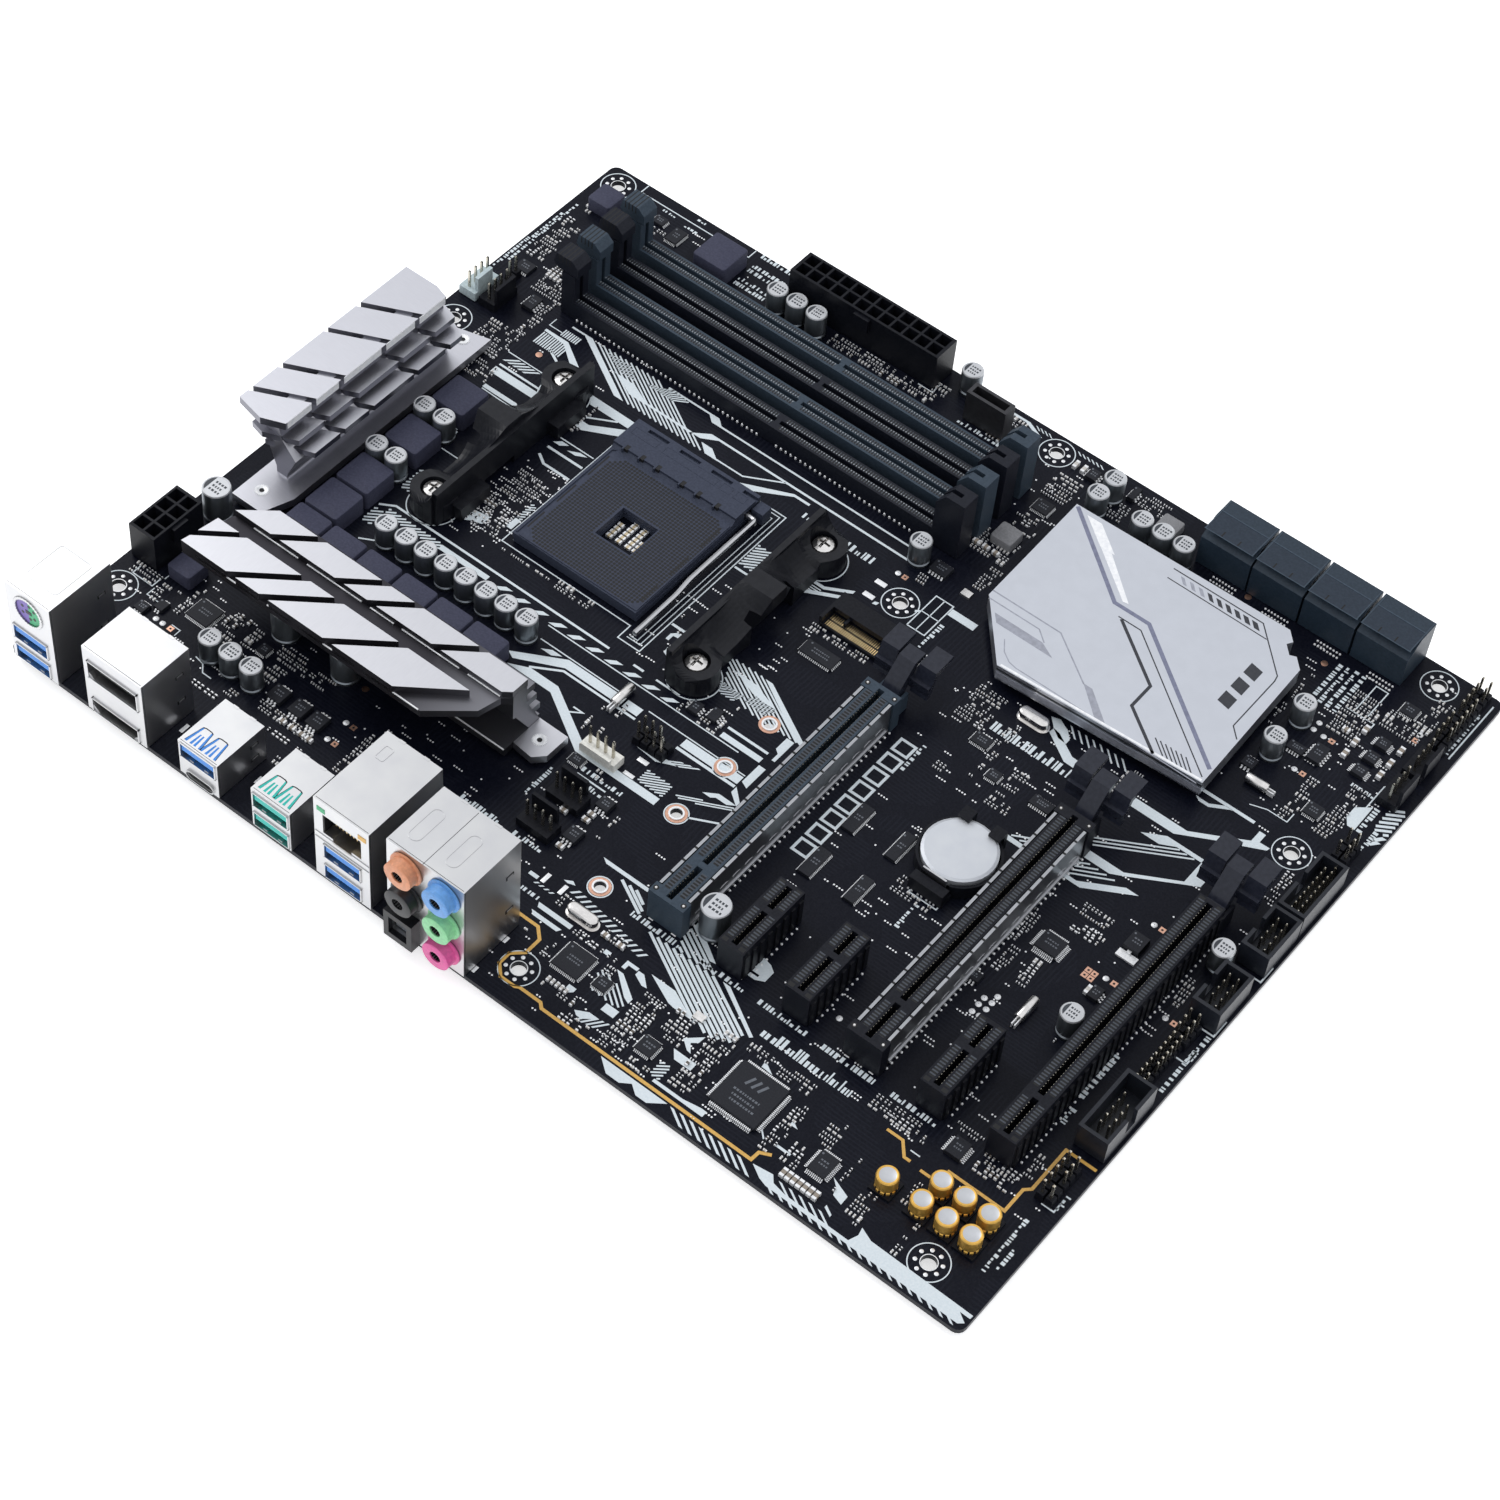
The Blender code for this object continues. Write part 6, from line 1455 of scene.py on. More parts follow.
def make_display_details():
    """Tongues, contacts and lips of the display sockets, and the small oval socket."""
    display = Builder("display_port_details", PORT_BLACK, SHELL_STEEL, GOLD)
    face = -0.7
    display.box((31.4, 47.8), (face + 6.5, face + 7), (15.8, 21.4), 0)
    display.box((31.8, 47.0), (face + 6.5, face + 7), (2.6, 6.8), 0)
    for low, high, z in ((33.7, 45.3, 17.7), (33.7, 45.3, 4.0)):
        display.box((low, high), (face + 1.3, face + 7), (z, z + 1.6), 0)
        for index in range(10):
            v = low + 0.7 + 1.13 * index
            display.box((v - 0.2, v + 0.2), (face + 1.2, face + 5), (z + 1.6, z + 1.66), 2)
    for v0, v1, z0, z1 in ((30.9, 48.3, 15.2, 22.0), (31.2, 47.6, 2.0, 7.4)):
        for low in (z0, z1 - 0.35):
            display.box((v0, v1), (face - 0.4, face + 0.4), (low, low + 0.35), 1)
        for low in (v0, v1 - 0.35):
            display.box((low, low + 0.35), (face - 0.4, face + 0.4), (z0, z1), 1)
    display.box((65.0, 71.2), (1.2, 7), (3.3, 3.95), 0)
    outline = [(68.1 + a + math.copysign(3.1, a), 3.6 + b) for a, b in arc((0, 0), 1.55, steps=24)]
    for (v0, z0), (v1, z1) in zip(outline, outline[1:] + outline[:1]):
        display.box(sorted((v0, v1 + 0.01)), (-0.75, 0.2), (min(z0, z1) - 0.12, max(z0, z1) + 0.12), 1)
    display.make()


def make_network_details():
    """Contacts, walls, lamps and ridges of the network socket."""
    network = Builder("network_socket_details", PORT_BLACK, GOLD, MOUSE_GREEN, SILK_GOLD, SHELL_STEEL)
    face = -0.6
    network.box((110.5, 122.7), (face + 9.0, face + 10), (18.8, 27.5), 0)
    for vs in ((110.4, 110.7), (122.5, 122.8)):
        network.box(vs, (face + 0.3, face + 10), (20.5, 27.5), 0)
    for index in range(8):
        v = 112.6 + 1.14 * index
        network.box((v - 0.2, v + 0.2), (face + 2.6, face + 7.5), (22.6, 23.0), 1)
        network.box((v - 0.2, v + 0.2), (face + 2.3, face + 2.7), (22.6, 26.8), 1)
    for vs, lamp in (((108.6, 111.2), 2), ((121.9, 124.5), 3)):
        network.box(vs, (face - 0.1, face + 0.2), (28.3, 29.9), lamp)
    for z in (19.2, 17.0):
        network.box((107.7, 125.2), (face - 0.2, face), (z, z + 0.25), 4)
    network.make()


JACK_PLACES = [(137.6, 30.5), (137.6, 19.4), (149.5, 30.5), (149.5, 19.4), (149.5, 8.6)]


def make_audio_details():
    """Coloured jack sleeves with their dark bores, and the frame of the optical port."""
    jacks = Builder("audio_jack_sleeves", *JACK_COLOURS, PORT_BLACK)
    for slot, (v, z) in enumerate(JACK_PLACES):
        profile = [(1.7, 0.4), (1.7, 0.0), (3.9, -0.06), (4.18, 0.12), (4.2, 2.9), (4.9, 3.1),
                   (4.9, 3.55), (4.1, 3.6)]
        jacks.turned((v, -4.3, z), profile, 32, slot=slot, axis="y")
        # A black tube inside the bore, painted shade for the hollow.
        jacks.turned((v, -3.9, z), [(1.79, 0), (1.79, 9)], slot=5, axis="y")
    jacks.make()
    frame_part = Builder("optical_port_frame", PORT_BLACK, SHELL_STEEL)
    for low, high, z0, z1 in ((132.6, 134.2, 2.4, 12.6), (140.0, 141.6, 2.4, 12.6),
                              (134.2, 140.0, 10.8, 12.6), (134.2, 140.0, 2.4, 4.4)):
        frame_part.box((low, high), (-3.9, -0.4), (z0, z1), 0)
    frame_part.box((132.4, 141.8), (-0.75, -0.45), (12.8, 13.2), 1)
    frame_part.make()


def rounded_frame(builder, vs, us, z, radius, width):
    """A raised pressed line round a rounded rectangle."""
    builder.stroke(rounded_rectangle(vs, us, radius), width, (z, z + 0.12), closed=True)


# The shells of the rear sockets: v span, u span and top.
SOCKET_SHELLS = [
    (131.1, 155.5, -0.6, 20, 36.5), (3.2, 18.9, -0.9, 20.5, 30.9), (29.4, 49.9, -0.7, 16.2, 26.2),
    (107.5, 125.4, -0.6, 26, 32.4), (61.0, 74.3, -0.2, 16.9, 14.7), (86.0, 98.9, -0.4, 15.9, 16.8),
]


def make_shell_folds():
    """Pressed outlines, seams and locking tabs on the socket shells."""
    folds = Builder("socket_shell_folds", SHELL_STEEL, PORT_BLACK)
    for vs in ((133.8, 137.4), (145.6, 149.2)):
        rounded_frame(folds, vs, (3.2, 14.2), 36.5, 1.7, 0.28)
    folds.box((142.5, 142.62), (-0.6, 19.5), (36.5, 36.54), 1)
    rounded_frame(folds, (5.6, 16.4), (4.0, 17.0), 30.9, 1.0, 0.25)
    rounded_frame(folds, (110.4, 113.0), (18.0, 22.5), 32.4, 0.6, 0.2)
    for v0, v1, u0, u1, top in SOCKET_SHELLS:
        folds.box((v0 + 0.5, v1 - 0.5), (u0 + 0.45, u0 + 0.58), (top, top + 0.02), 1)
        folds.box((v1, v1 + 0.02), (u0 + 0.5, u0 + 0.62), (2.2, top - 0.4), 1)
        for share in (0.3, 0.7):
            z = 2 + (top - 2) * share
            folds.box((v1, v1 + 0.12), (u1 - 5.4, u1 - 2.6), (z - 0.6, z + 0.6), 1)
            folds.box((v1, v1 + 0.25), (u1 - 5.0, u1 - 3.0), (z - 0.35, z + 0.35), 0)
        for v in (v0 + (v1 - v0) * 0.28, v0 + (v1 - v0) * 0.72):
            folds.box((v - 0.9, v + 0.9), (u1 - 0.6, u1 + 0.12), (top - 1.6, top + 0.06), 0)
    folds.make()


# ---------------------------------------------------------------- small parts on the board

# Packages, clusters and test points draw from this in turn, so their order matters.
RANDOM = random.Random(370)
LEGEND = surface("chip_marking", (0.10, 0.11, 0.13), 0.5, scale=1500, bump=0.05)


def leads(builder, body, side, pitch, reach, height):
    """The feet and the rising roots of the leads along one side of a package."""
    (v0, v1), (u0, u1) = body
    edge, out = {"e": (v1, 1), "w": (v0, -1), "n": (u1, 1), "s": (u0, -1)}[side]
    low, high = (u0, u1) if side in "ew" else (v0, v1)
    foot = (sorted((edge - 0.1 * out, edge + reach * out)), (SEAT, SEAT + 0.12))
    root = (sorted((edge - 0.05 * out, edge + reach * 0.4 * out)), (SEAT + 0.1, TOP + height * 0.55))
    for place in steps_between(low + pitch * 0.7, high - pitch * 0.7, pitch):
        breadth = (place - pitch * 0.24, place + pitch * 0.24)
        for across, zs in (foot, root):
            vs, us = (across, breadth) if side in "ew" else (breadth, across)
            builder.box(vs, us, zs, 1)


def chip(builder, vs, us, height, legs, pitch, reach):
    """A moulded package; legs names the sides that carry leads (n, s, e, w)."""
    v0, v1 = vs
    u0, u1 = us
    top = TOP + height
    builder.block((v0 + v1) / 2, (u0 + u1) / 2, (v1 - v0, u1 - u0), (TOP + 0.15, top), 0, 0, 0.12)
    builder.disc((v0 + 0.16 * (v1 - v0), u1 - 0.16 * (u1 - u0)), 0.3, (top, top + 0.02), 12, 2)
    if v1 - v0 > 3:
        for row in range(2):
            u = (u0 + u1) / 2 + (0.7 - 1.1 * row) * min(1, (u1 - u0) / 5)
            v = v0 + 0.28 * (v1 - v0)
            while v < v0 + 0.74 * (v1 - v0):
                width = RANDOM.uniform(0.25, 0.6)
                builder.box((v, v + width), (u - 0.22, u + 0.22), (top, top + 0.015), 2)
                v += width + 0.28
    for side in legs:
        leads(builder, (vs, us), side, pitch, reach, height)


# Packages: v span, u span, height, sides with leads, their pitch and their reach.
PACKAGES = [
    ((255, 261.6), (98, 104), 1.5, "nsew", 0.5, 1.2),
    ((168.6, 176.9), (16.1, 24.4), 1.1, "nsew", 0.5, 0.55),
    ((251.4, 256.6), (11.2, 17.8), 1.2, "nsew", 0.5, 0.9),
    ((199.5, 204.5), (10.5, 15.5), 1.1, "nsew", 0.5, 0.5),
    ((196.8, 200.7), (95.6, 105.4), 1.0, "ew", 0.5, 0.4),
    ((196.8, 200.7), (77.6, 87.4), 1.0, "ew", 0.5, 0.4),
    ((210.5, 214), (95.6, 105.4), 1.0, "ew", 0.5, 0.4),
    ((210.5, 214), (78.4, 87.6), 1.0, "ew", 0.5, 0.4),
    ((153.4, 164.2), (133.8, 138.8), 1.0, "nsew", 0.6, 0.35),
    ((228.3, 234.7), (133.2, 136.8), 1.0, "ns", 0.65, 0.5),
    ((146.2, 150.3), (59.6, 63.6), 1.5, "ns", 1.1, 1.1),
    ((146.2, 150.3), (46.8, 51.4), 1.5, "ns", 1.1, 1.1), ((60.6, 65.4), (31, 36), 1.5, "ns", 1.1, 1.1),
    ((67.8, 72.6), (31, 36), 1.5, "ns", 1.1, 1.1), ((73.9, 78.7), (31, 36), 1.5, "ns", 1.1, 1.1),
    ((285.6, 289.4), (208.2, 212), 1.3, "ew", 0.6, 1.0),
    ((285.6, 289.4), (202.4, 206.2), 1.3, "ew", 0.6, 1.0),
    ((285.6, 289.4), (196.6, 200.4), 1.3, "ew", 0.6, 1.0),
    ((26.2, 33.8), (37.2, 44.3), 1.0, "nsew", 0.5, 0.5),
    ((30.4, 34.6), (229, 235), 1.1, "nsew", 0.5, 0.4), ((23, 27), (232.3, 235.7), 1.0, "ew", 0.6, 0.5),
    ((6, 11), (191.3, 195.7), 1.0, "ns", 0.65, 0.5),
    ((162.4, 168.1), (179.2, 183.6), 1.2, "ns", 1.0, 0.7),
    ((131.5, 135.5), (66.4, 69.6), 1.0, "nsew", 0.5, 0.4),
    ((14.8, 18.2), (29.8, 33.2), 1.2, "ns", 0.9, 0.6),
    ((272, 276.8), (112.2, 117.8), 2.2, "s", 2.3, 2.0),
    ((274.2, 278.3), (192.8, 199.2), 1.4, "ew", 1.1, 0.8),
    ((268.4, 273.4), (192.4, 195.6), 1.2, "ns", 0.8, 0.6),
    ((262.4, 266.2), (180, 183.6), 1.2, "ns", 1.0, 0.8),
    ((174.8, 178.2), (234.8, 238.8), 1.4, "ew", 1.1, 0.8),
    ((188, 190.2), (236, 241), 1.6, "ew", 1.2, 0.6),
    ((246.6, 251.4), (79.6, 82.6), 1.3, "ns", 0.9, 0.9),
    ((273.4, 276.6), (94.4, 98.6), 1.3, "ew", 1.0, 0.8),
    ((273.2, 277.8), (36, 41.6), 1.4, "ew", 0.6, 1.0), ((144, 147.2), (99, 103), 1.2, "ew", 1.0, 0.8),
    ((149.4, 152.4), (100.2, 104.6), 1.2, "ew", 1.0, 0.8),
    ((17.6, 21.3), (181, 186.4), 1.4, "ew", 1.1, 0.9),
    ((205, 210.4), (139.6, 143.6), 1.0, "nsew", 0.5, 0.4),
    ((214.8, 218.6), (132.6, 136.2), 1.0, "nsew", 0.5, 0.4),
    ((170.2, 175.4), (215.6, 220.4), 1.1, "nsew", 0.5, 0.4),
    ((284.6, 289.2), (222.4, 226.6), 1.1, "nsew", 0.5, 0.4),
    ((283, 287.6), (177.4, 182), 1.1, "nsew", 0.5, 0.4),
    ((180.2, 184.4), (17.6, 21.6), 1.1, "nsew", 0.5, 0.4),
    ((18.6, 21.6), (33.4, 36.8), 1.2, "ns", 0.9, 0.7),
    ((48.4, 51.6), (40.2, 43.6), 1.1, "nsew", 0.5, 0.4),
]
LARGE_CHIP = ((222.0, 236.0), (11.0, 25.0))
LARGE_CHIP_TOP = 3.1


def make_chips():
    """Every small package, and the leads and marks of the large one."""
    chips = Builder("small_chips", CHIP, TIN, LEGEND)
    for vs, us, height, legs, pitch, reach in PACKAGES:
        chip(chips, vs, us, height, legs, pitch, reach)
    chips.box((271.8, 277.4), (109.6, 111.9), (SEAT, SEAT + 0.6), 1)
    chips.make()
    big = Builder("large_chip_leads", TIN, LEGEND)
    (v0, v1), (u0, u1) = LARGE_CHIP
    for place in steps_between(0.9, 13.1, 0.5):
        near, far = place - 0.12, place + 0.12
        for trim, zs in ((0.0, (SEAT, SEAT + 0.14)), (0.3, (SEAT + 0.1, 2.6))):
            for low, high in ((u0 - 1.1, u0 + 0.1), (u1 - 0.1, u1 + 1.1)):
                big.box((v0 + near, v0 + far), (low + trim, high - trim), zs)
            for low, high in ((v0 - 1.1, v0 + 0.1), (v1 - 0.1, v1 + 1.1)):
                big.box((low + trim, high - trim), (u0 + near, u0 + far), zs)
    mark = (LARGE_CHIP_TOP, LARGE_CHIP_TOP + 0.015)
    for row, (low, high) in enumerate(((225.0, 232.4), (225.6, 231.8), (226.0, 233.0))):
        v = low
        while v < high:
            width = RANDOM.uniform(0.3, 0.7)
            big.box((v, v + width), (16.8 - 1.5 * row, 17.4 - 1.5 * row), mark, 1)
            v += width + 0.3
    for index in range(3):
        big.stroke([(226.4 + 1.9 * index, 19.6), (227.6 + 1.9 * index, 22.4)], 0.7, mark, 1)
    big.make()


CRYSTAL_STEEL = surface("crystal_can", (0.70, 0.68, 0.66), 0.22, 1.0, scale=500, bump=0.04)
OVAL_CAN_TOP = 4.8


def oval_can(builder, vs, us):
    """A pressed crystal can: a racetrack base flange and a rounded body."""
    radius = (us[1] - us[0]) / 2
    middle = (us[0] + us[1]) / 2
    top = OVAL_CAN_TOP
    rings = []
    for inset, z in ((0.0, TOP), (0.0, TOP + 0.5), (0.45, TOP + 0.55), (0.45, top - 0.35),
                     (0.75, top - 0.08), (1.1, top)):
        outline = (arc((vs[1] - radius, middle), radius - inset, -90, 90, 8)
                   + arc((vs[0] + radius, middle), radius - inset, 90, 270, 8))
        rings.append([(v, u, z) for v, u in outline])
    builder.stack(rings)


def make_crystals():
    cans = Builder("crystal_cans", CRYSTAL_STEEL, TIN, COPPER)
    oval_can(cans, (209.2, 219.0), (153.6, 157.8))
    oval_can(cans, (161.2, 171.2), (29.4, 33.4))
    wires = (TOP + 0.1, TOP + 1.7)
    for v, u, axis, length in ((129.3, 87.5, "y", 7.6), (265.2, 77.4, "y", 7.6), (266.4, 177.0, "x", 6.6)):
        profile = [(0, 0), (1.25, 0.05), (1.4, 0.25), (1.4, length - 0.35), (1.2, length - 0.05), (0, length)]
        cans.turned((v, u, TOP + 1.6), profile, 20, axis=axis)
        for side in (-0.45, 0.45):
            if axis == "y":
                cans.box((v + side - 0.15, v + side + 0.15), (u - 2.2, u), wires, 1)
            else:
                cans.box((v + length, v + length + 2), (u + side - 0.15, u + side + 0.15), wires, 1)
    for v, u in ((175.4, 179.2), (206.0, 27.8)):
        cans.block(v, u, (3.2, 2.5), (TOP + 0.05, TOP + 0.75), 0, 0, 0.15)
    cans.make()


TIN_DOTS = [
    (157.1, 173.1), (274.1, 202.5), (274.1, 188.4), (274.3, 123.5), (274.3, 102.3), (292, 102.3),
    (293.1, 219.9), (81.5, 38.5), (81.5, 31.5), (21.5, 31.4), (23.9, 31.4), (254.9, 77.9),
    (257.2, 77.9), (257.2, 80.3), (254.9, 75.5), (257.2, 75.5), (254.9, 72.8), (257, 72.9),
    (231.7, 49.9), (270.8, 205.6), (270.8, 202.8),
]
COPPER_SQUARES = [
    (159.4, 173.1), (276.6, 202.5), (276.6, 188.4), (276.7, 123.5), (276.7, 102.3), (294.5, 102.3),
    (293.1, 217.4), (84, 38.5), (84, 31.5), (26.7, 31.4), (269.6, 101.5), (271.4, 101.5), (269.6, 99.7),
    (271.4, 99.7),
]
COPPER_DOTS = [(232.8, 229.3), (260.9, 223.6), (33.5, 170.2), (77.8, 49.9), (18.5, 24.4), (99.4, 33.2)]
TIN_PADS = [
    (155.8, 167.2, 3.4, 1.6), (155.9, 161.6, 3.4, 1.6), (146.2, 79, 3.2, 1.4), (146.2, 73.3, 3.2, 1.2),
    (151.3, 35, 1.2, 3.2), (156.8, 35, 1.2, 3.2), (156, 14.5, 0.9, 2), (156, 3, 0.9, 2),
    (239.6, 42.8, 1.4, 1.0), (246.9, 42.8, 1.4, 1.0), (178.7, 42.8, 1.4, 1.0), (185.9, 42.8, 1.4, 1.0),
    (57.4, 10.5, 1.2, 2.6), (77.6, 10.5, 1.2, 2.6), (52.2, 10.2, 1.1, 3.0), (104.4, 12.5, 1.1, 3.0),
]


def dot(builder, v, u, radius, slot, dome=0.25):
    """A round pad or a drop of solder."""
    builder.turned((v, u), [(0, TOP), (radius, TOP + 0.01), (radius * 0.8, TOP + dome * 0.6),
                            (0, TOP + dome)], 14, slot=slot)


def make_pads():
    """Bare pads, plated holes and the rings round the board's holes."""
    pads = Builder("bare_pads", TIN, COPPER, HOLE_SHADE)
    for v, u in TIN_DOTS:
        dot(pads, v, u, 0.85, 0)
        # A dark dot of painted shade in each pad's hole.
        dot(pads, v, u, 0.32, 2, 0.28)
    for v, u in COPPER_SQUARES:
        pads.block(v, u, (1.6, 1.6), (SEAT, SEAT + 0.03), 0, 1)
        # A dark dot of painted shade in each pad's hole.
        dot(pads, v, u, 0.4, 2, 0.12)
    for v, u in COPPER_DOTS:
        dot(pads, v, u, 1.0, 1, 0.06)
    for v, u, width, height in TIN_PADS:
        pads.block(v, u, (width, height), (SEAT, SEAT + 0.05), 0, 0, 0.1)
    for start in (221.9, 238.7, 255.4, 271.9):
        for index in range(8):
            for u in (227.3, 228.9):
                dot(pads, start + index, u, 0.34, 0, 0.5)
    for v, u in BOARD_HOLES:
        pads.ring(v, u, 2.05, 2.25, (SEAT, SEAT + 0.03))
        for place in arc((v, u), VIA_CIRCLE, 22.5, 382.5, 8):
            dot(pads, *place, 0.55, 0, 0.12)
    for u in M2_POSTS_U:
        pads.ring(M2_POST_V, u, 1.7, 2.9, (SEAT, SEAT + 0.05), slot=1)
        pads.ring(M2_POST_V, u, 1.62, 2.1, (SEAT, SEAT + 0.35))
    pads.make()


# Clusters of chip resistors and capacitors: (v0, v1, u0, u1) of the rectangle each one fills.
CLUSTERS = [
    (3.5, 11, 198, 217), (14, 26, 160, 172), (22, 26, 172, 188), (14, 26, 188, 200),
    (22, 30, 228.2, 231), (90, 127, 227.5, 232.6), (123, 128.5, 232.6, 238), (144, 153, 229, 240),
    (168, 178, 206, 214), (168, 178, 222, 233), (165, 178, 193, 203), (174, 179, 182, 192),
    (161, 165, 173.5, 177), (191, 200, 236, 241.5), (184, 192, 227, 234), (272, 282, 205, 222),
    (282, 296, 215, 221.5), (290, 296, 222, 233), (259.4, 262, 196, 218), (278, 283, 172, 190),
    (288, 294, 174, 190), (288, 294.5, 190, 195), (196, 206, 144, 158), (211, 214, 130, 141),
    (219, 224.5, 130, 141), (219, 227, 125.5, 129.8), (202, 206.5, 126, 129), (217, 230, 88, 94.5),
    (250, 254, 86, 95), (257, 261, 86, 95), (248, 252, 96, 108), (257, 267, 113.4, 118.6),
    (258, 268, 108, 112), (289.3, 293.5, 106, 118), (290, 294, 148, 160), (126.4, 128.4, 76, 86),
    (130.6, 133, 76, 90), (138.6, 143, 66, 70.4), (151.6, 154, 52, 62), (57.5, 69, 110, 122),
    (57.5, 69, 124, 135), (72, 90, 108.3, 110.3), (91, 104, 107.4, 110.6), (122.8, 124.2, 104, 136),
    (125.4, 126.8, 104, 136), (141, 143.6, 97, 108), (148, 155, 97, 99.6), (152.8, 155, 100, 108),
    (150, 170, 141.2, 144.2), (157.4, 160, 30, 35), (172.6, 180, 30, 33), (166, 182, 26, 28.4),
    (156.2, 160, 17, 21), (164.2, 167.4, 16, 22), (178.6, 183, 22, 25), (170, 181, 9.4, 13.8),
    (179, 190, 5, 8.4), (191, 198.6, 5.6, 26), (200, 208, 17, 26), (200, 208, 5.4, 9.6),
    (211, 218.4, 8, 30), (219.6, 228, 27.4, 31.6), (229, 240, 26.6, 31), (238.4, 243, 8, 25),
    (244.2, 250, 8.6, 16), (247.4, 253, 18.4, 28), (258.6, 261, 10, 21), (264.6, 270.4, 6, 16),
    (279.2, 281.8, 5.6, 17), (273, 276, 18, 28), (270, 279, 43, 46), (280.4, 292, 36, 42),
    (290.4, 294, 43, 50), (251, 269, 34, 39.4), (274, 276, 76.4, 80), (4, 14, 38, 42),
    (14.4, 18, 34.4, 42), (18.8, 22, 38, 42), (22.4, 25.6, 35.4, 47.4), (34.4, 42, 36, 47.4),
    (43, 48, 39, 46), (52, 72, 41.4, 46.6), (53.4, 59.8, 34, 40), (60, 79, 26.4, 29.2),
    (88.2, 92, 24.4, 39.6), (42.4, 52, 21.4, 23.6), (50.4, 57, 24.4, 27), (66, 80, 22.8, 25),
    (75, 78, 16, 19), (109, 113, 37, 43), (20, 30, 151, 159), (36.4, 41, 218, 226),
    (106, 119, 160, 163), (57.4, 60.6, 152, 166), (209.6, 214.6, 143, 151.6), (176.6, 181, 148, 156),
    (241, 247, 150, 160), (280, 288, 44, 50), (24, 33, 214, 222), (4, 9, 222, 233),
]
BODY_SLOTS = (0, 0, 0, 0, 1, 2, 2)


def fill_cluster(builder, v0, v1, u0, u1):
    """Packs a rectangle with parts of mixed size, in short runs of one size and direction."""
    u = u0 + 0.5
    while u < u1 - 0.3:
        v = v0 + RANDOM.uniform(0.2, 0.8)
        tall = RANDOM.random() < 0.5
        row_height = 1.75 if tall else 1.15
        while v < v1 - 0.4:
            run = RANDOM.randint(2, 5)
            slot = RANDOM.choice(BODY_SLOTS)
            large = RANDOM.random() < 0.2
            for _ in range(run):
                length, width = (1.55, 0.82) if large and tall else (1.05, 0.52)
                step = width + 0.58 if tall else length + 0.55
                if v + step > v1:
                    break
                if RANDOM.random() < 0.8:
                    small_part(builder, v + step / 2, u + row_height / 2 - 0.2, length, width,
                               0.5 if slot == 0 else width * 0.95, 90 if tall else 0, slot, 3)
                v += step
            v += RANDOM.uniform(0.1, 0.9)
        u += row_height + RANDOM.uniform(0.05, 0.35)


def make_small_parts():
    parts = Builder("chip_resistors_and_capacitors", CHIP, CAP_BROWN, CAP_WHITE, TIN)
    for v0, v1, u0, u1 in CLUSTERS:
        fill_cluster(parts, v0, v1, u0, u1)
    parts.make()
    single = Builder("larger_chip_capacitors", CAP_TAN, CAP_WHITE, TIN)
    for index in range(7):
        small_part(single, 248.2 + 1.6 * index, 6.8, 2.6, 1.3, 1.1, 90, 0, 2)
    for u in (211.4, 206, 201):
        for v in (281.5, 292.3):
            small_part(single, v, u, 2.6, 1.5, 1.2, 90, 0, 2)
    for v, u in ((147.4, 57.2), (147.4, 55.0), (141.3, 53.5), (147.8, 44.5), (277.5, 208), (69.4, 28),
                 (72.6, 28), (75.8, 28), (78.4, 28), (173.6, 31.2), (178.4, 31.2), (166.4, 196),
                 (169.6, 196), (172.8, 196)):
        small_part(single, v, u, 2.2, 1.3, 1.0, 0, 0, 2)
    for v, u in ((140.5, 233), (142.9, 233), (173.3, 237), (170.6, 237), (273.0, 96.2)):
        small_part(single, v, u, 2.8, 1.2, 1.2, 90, 1, 2)
    single.make()


def make_test_points():
    """Rows of the small bare test points scattered between the larger parts."""
    points = Builder("test_points", TIN)
    for v0, v1, u0, u1, count in ((54, 72, 106, 140, 70), (196, 262, 60, 130, 80), (160, 300, 30, 60, 80),
                                  (80, 150, 20, 60, 60), (116, 152, 104, 150, 60), (4, 60, 158, 240, 60),
                                  (160, 200, 205, 240, 40), (255, 300, 85, 240, 90), (3, 60, 25, 60, 50),
                                  (190, 250, 132, 160, 60), (155, 230, 3, 35, 70)):
        for _ in range(count):
            v, u = RANDOM.uniform(v0, v1), RANDOM.uniform(u0, u1)
            run = RANDOM.randint(1, 4)
            for index in range(run):
                dot(points, v + 0.85 * index, u, 0.26, 0, 0.05)
    points.make()


# ---------------------------------------------------------------- camera, floor and light

FLOOR_SIZE = 40.0
FLOOR_GAP = 0.0004
FLOOR_GLOW = 0.6
SKY_LOW, SKY_HIGH = 0.28, 0.98


def make_stage():
    """A pale glowing floor under the board, and a sky that is brightest overhead."""
    floor_z = CAD_BOX[0][2] - FLOOR_GAP
    bpy.ops.mesh.primitive_plane_add(size=FLOOR_SIZE, location=(0, 0, floor_z))
    floor = bpy.context.object
    floor.name = "floor"
    floor.data.materials.append(surface("floor_pale", (0.90, 0.90, 0.90), 0.6, scale=30, bump=0.0,
                                        second=(0.92, 0.92, 0.92)))
    glow = floor.data.materials[0].node_tree.nodes["Principled BSDF"]
    glow.inputs["Emission Color"].default_value = (1.0, 1.0, 1.0, 1.0)
    glow.inputs["Emission Strength"].default_value = FLOOR_GLOW
    world = bpy.data.worlds.new("studio")
    bpy.context.scene.world = world
    world.use_nodes = True
    tree = world.node_tree
    background = tree.nodes["Background"]
    background.inputs["Color"].default_value = (0.945, 0.965, 1.0, 1.0)
    height = axes_of(tree, "Generated")[2]
    overhead = add_node(tree, "ShaderNodeMapRange", interpolation_type="SMOOTHSTEP", From_Min=-0.05,
                        From_Max=0.75, To_Min=SKY_LOW, To_Max=SKY_HIGH)
    tree.links.new(height, overhead.inputs["Value"])
    tree.links.new(overhead.outputs["Result"], background.inputs["Strength"])


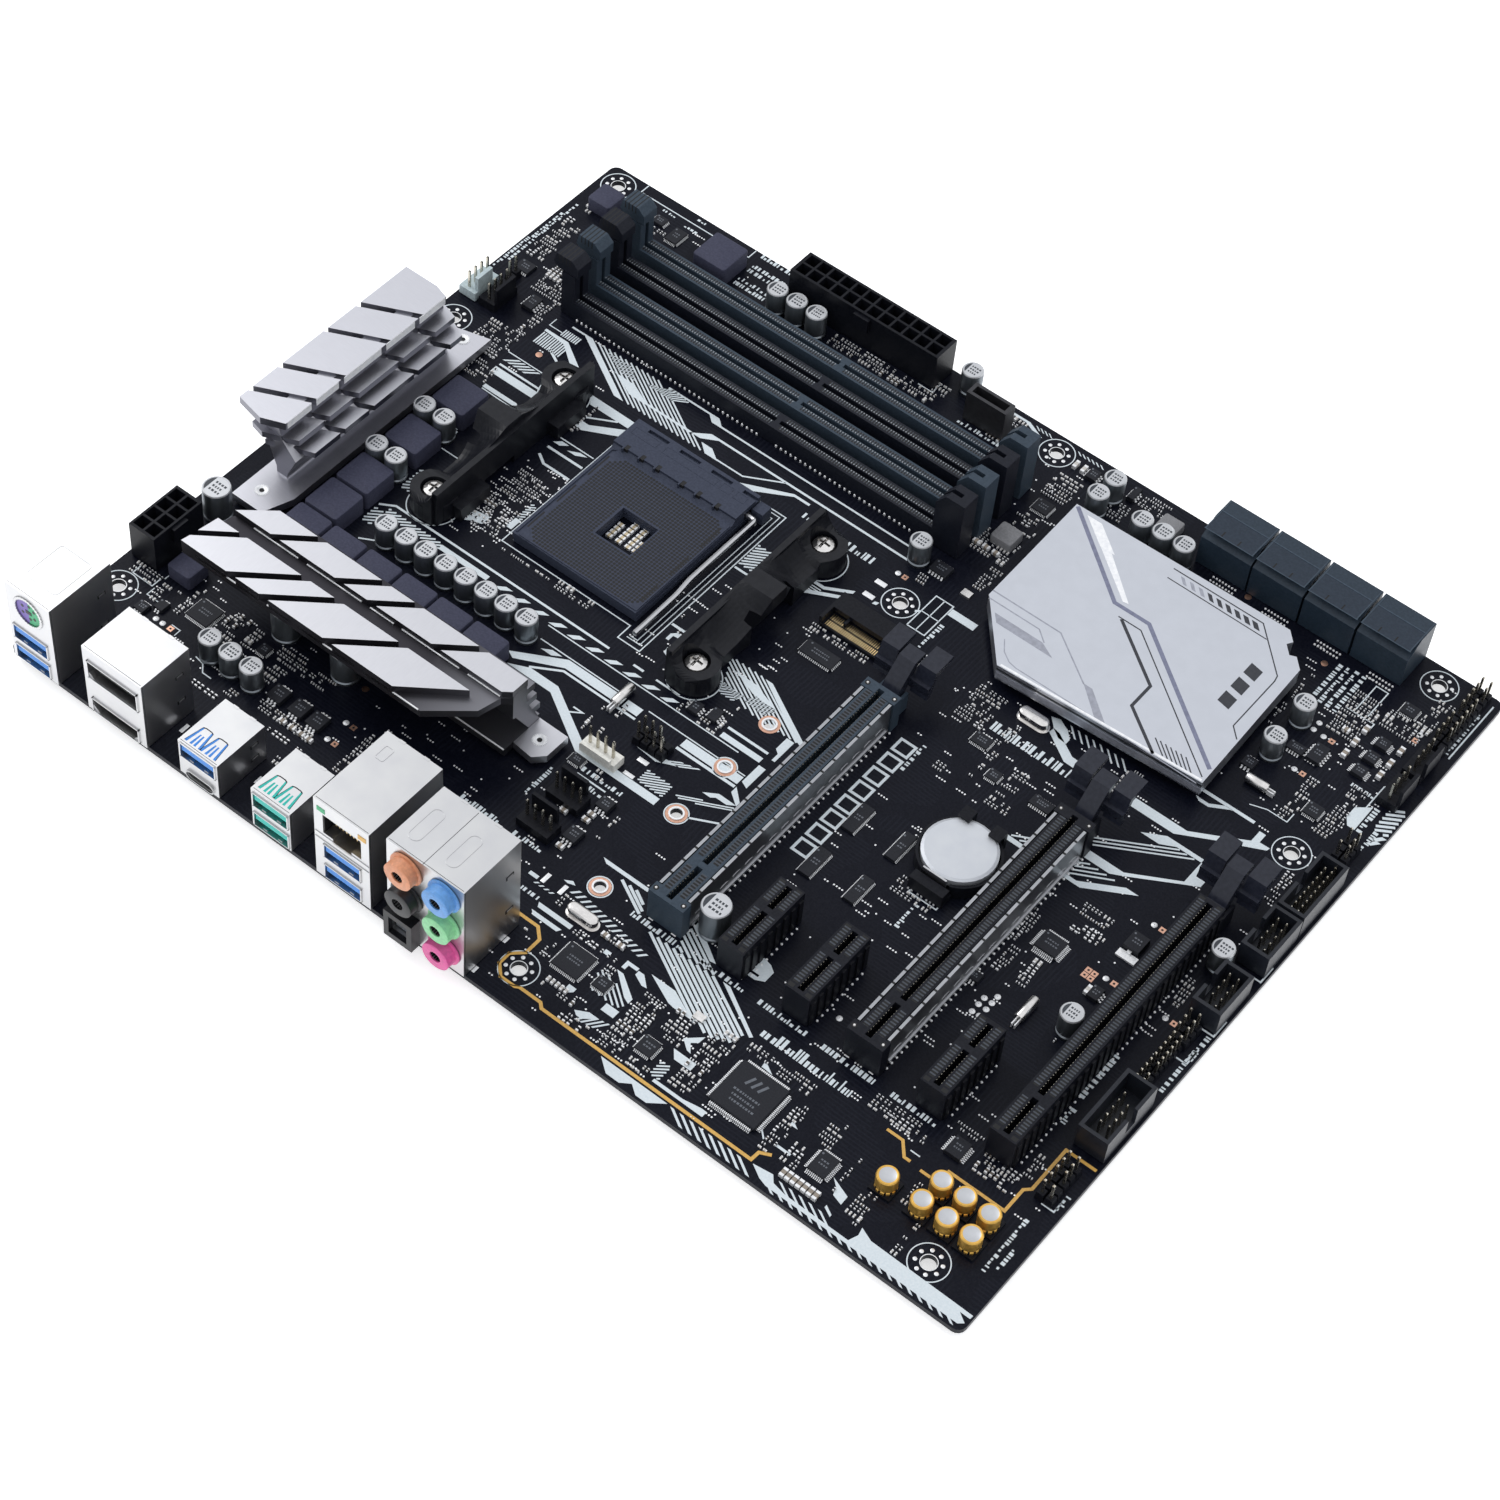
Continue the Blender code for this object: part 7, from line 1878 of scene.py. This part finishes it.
def area_light(name, place, size, power):
    """A disc light aimed at the frame's origin."""
    light = bpy.data.lights.new(name, 'AREA')
    light.shape = 'DISK'
    light.size = size
    light.energy = power
    lamp = bpy.data.objects.new(name, light)
    lamp.location = place
    lamp.rotation_euler = (-Vector(place)).to_track_quat('-Z', 'Y').to_euler()
    bpy.context.scene.collection.objects.link(lamp)


AZIMUTH, ELEVATION, ROLL = 33.374, 52.059, 6.345
FOCAL_IN_FRAMES = 3473.885 / 1500
SENSOR = 36.0


def make_camera():
    """The camera that stands where the reference view was taken from."""
    azimuth, elevation, roll = (math.radians(x) for x in (AZIMUTH, ELEVATION, ROLL))
    back = Vector((math.sin(azimuth) * math.cos(elevation), -math.cos(azimuth) * math.cos(elevation),
                   math.sin(elevation)))
    across = Vector((math.cos(azimuth), math.sin(azimuth), 0.0))
    upward = back.cross(across)
    right = across * math.cos(roll) + upward * math.sin(roll)
    top = upward * math.cos(roll) - across * math.sin(roll)
    data = bpy.data.cameras.new("camera")
    data.sensor_width = SENSOR
    data.lens = FOCAL_IN_FRAMES * SENSOR
    data.clip_start = 0.01
    data.clip_end = 20.0
    camera = bpy.data.objects.new("camera", data)
    turn = Matrix((right, top, back)).transposed()
    camera.matrix_world = Matrix.Translation(CAMERA_PLACE) @ turn.to_4x4()
    bpy.context.scene.collection.objects.link(camera)
    bpy.context.scene.camera = camera


def build_pieces():
    """Makes every piece; the order sets the order of the random draws."""
    paint_frame()
    make_cans()
    make_chokes()
    print_on_board()
    print_labels()
    make_gold_line()
    detail_storage_blocks()
    detail_latch_heads()
    detail_dimm_slots()
    detail_card_connector()
    detail_slots()
    detail_shielded_slots()
    detail_processor_socket()
    make_pins()
    decorate_chipset_sink()
    detail_power_sinks()
    make_port_details()
    make_round_socket()
    make_display_details()
    make_network_details()
    make_audio_details()
    make_shell_folds()
    make_chips()
    make_crystals()
    make_pads()
    make_small_parts()
    make_test_points()


build_pieces()
make_stage()
area_light("key", (-0.75, 0.05, 0.75), 0.5, 3.0)
make_camera()
bpy.context.scene.view_settings.view_transform = 'Standard'
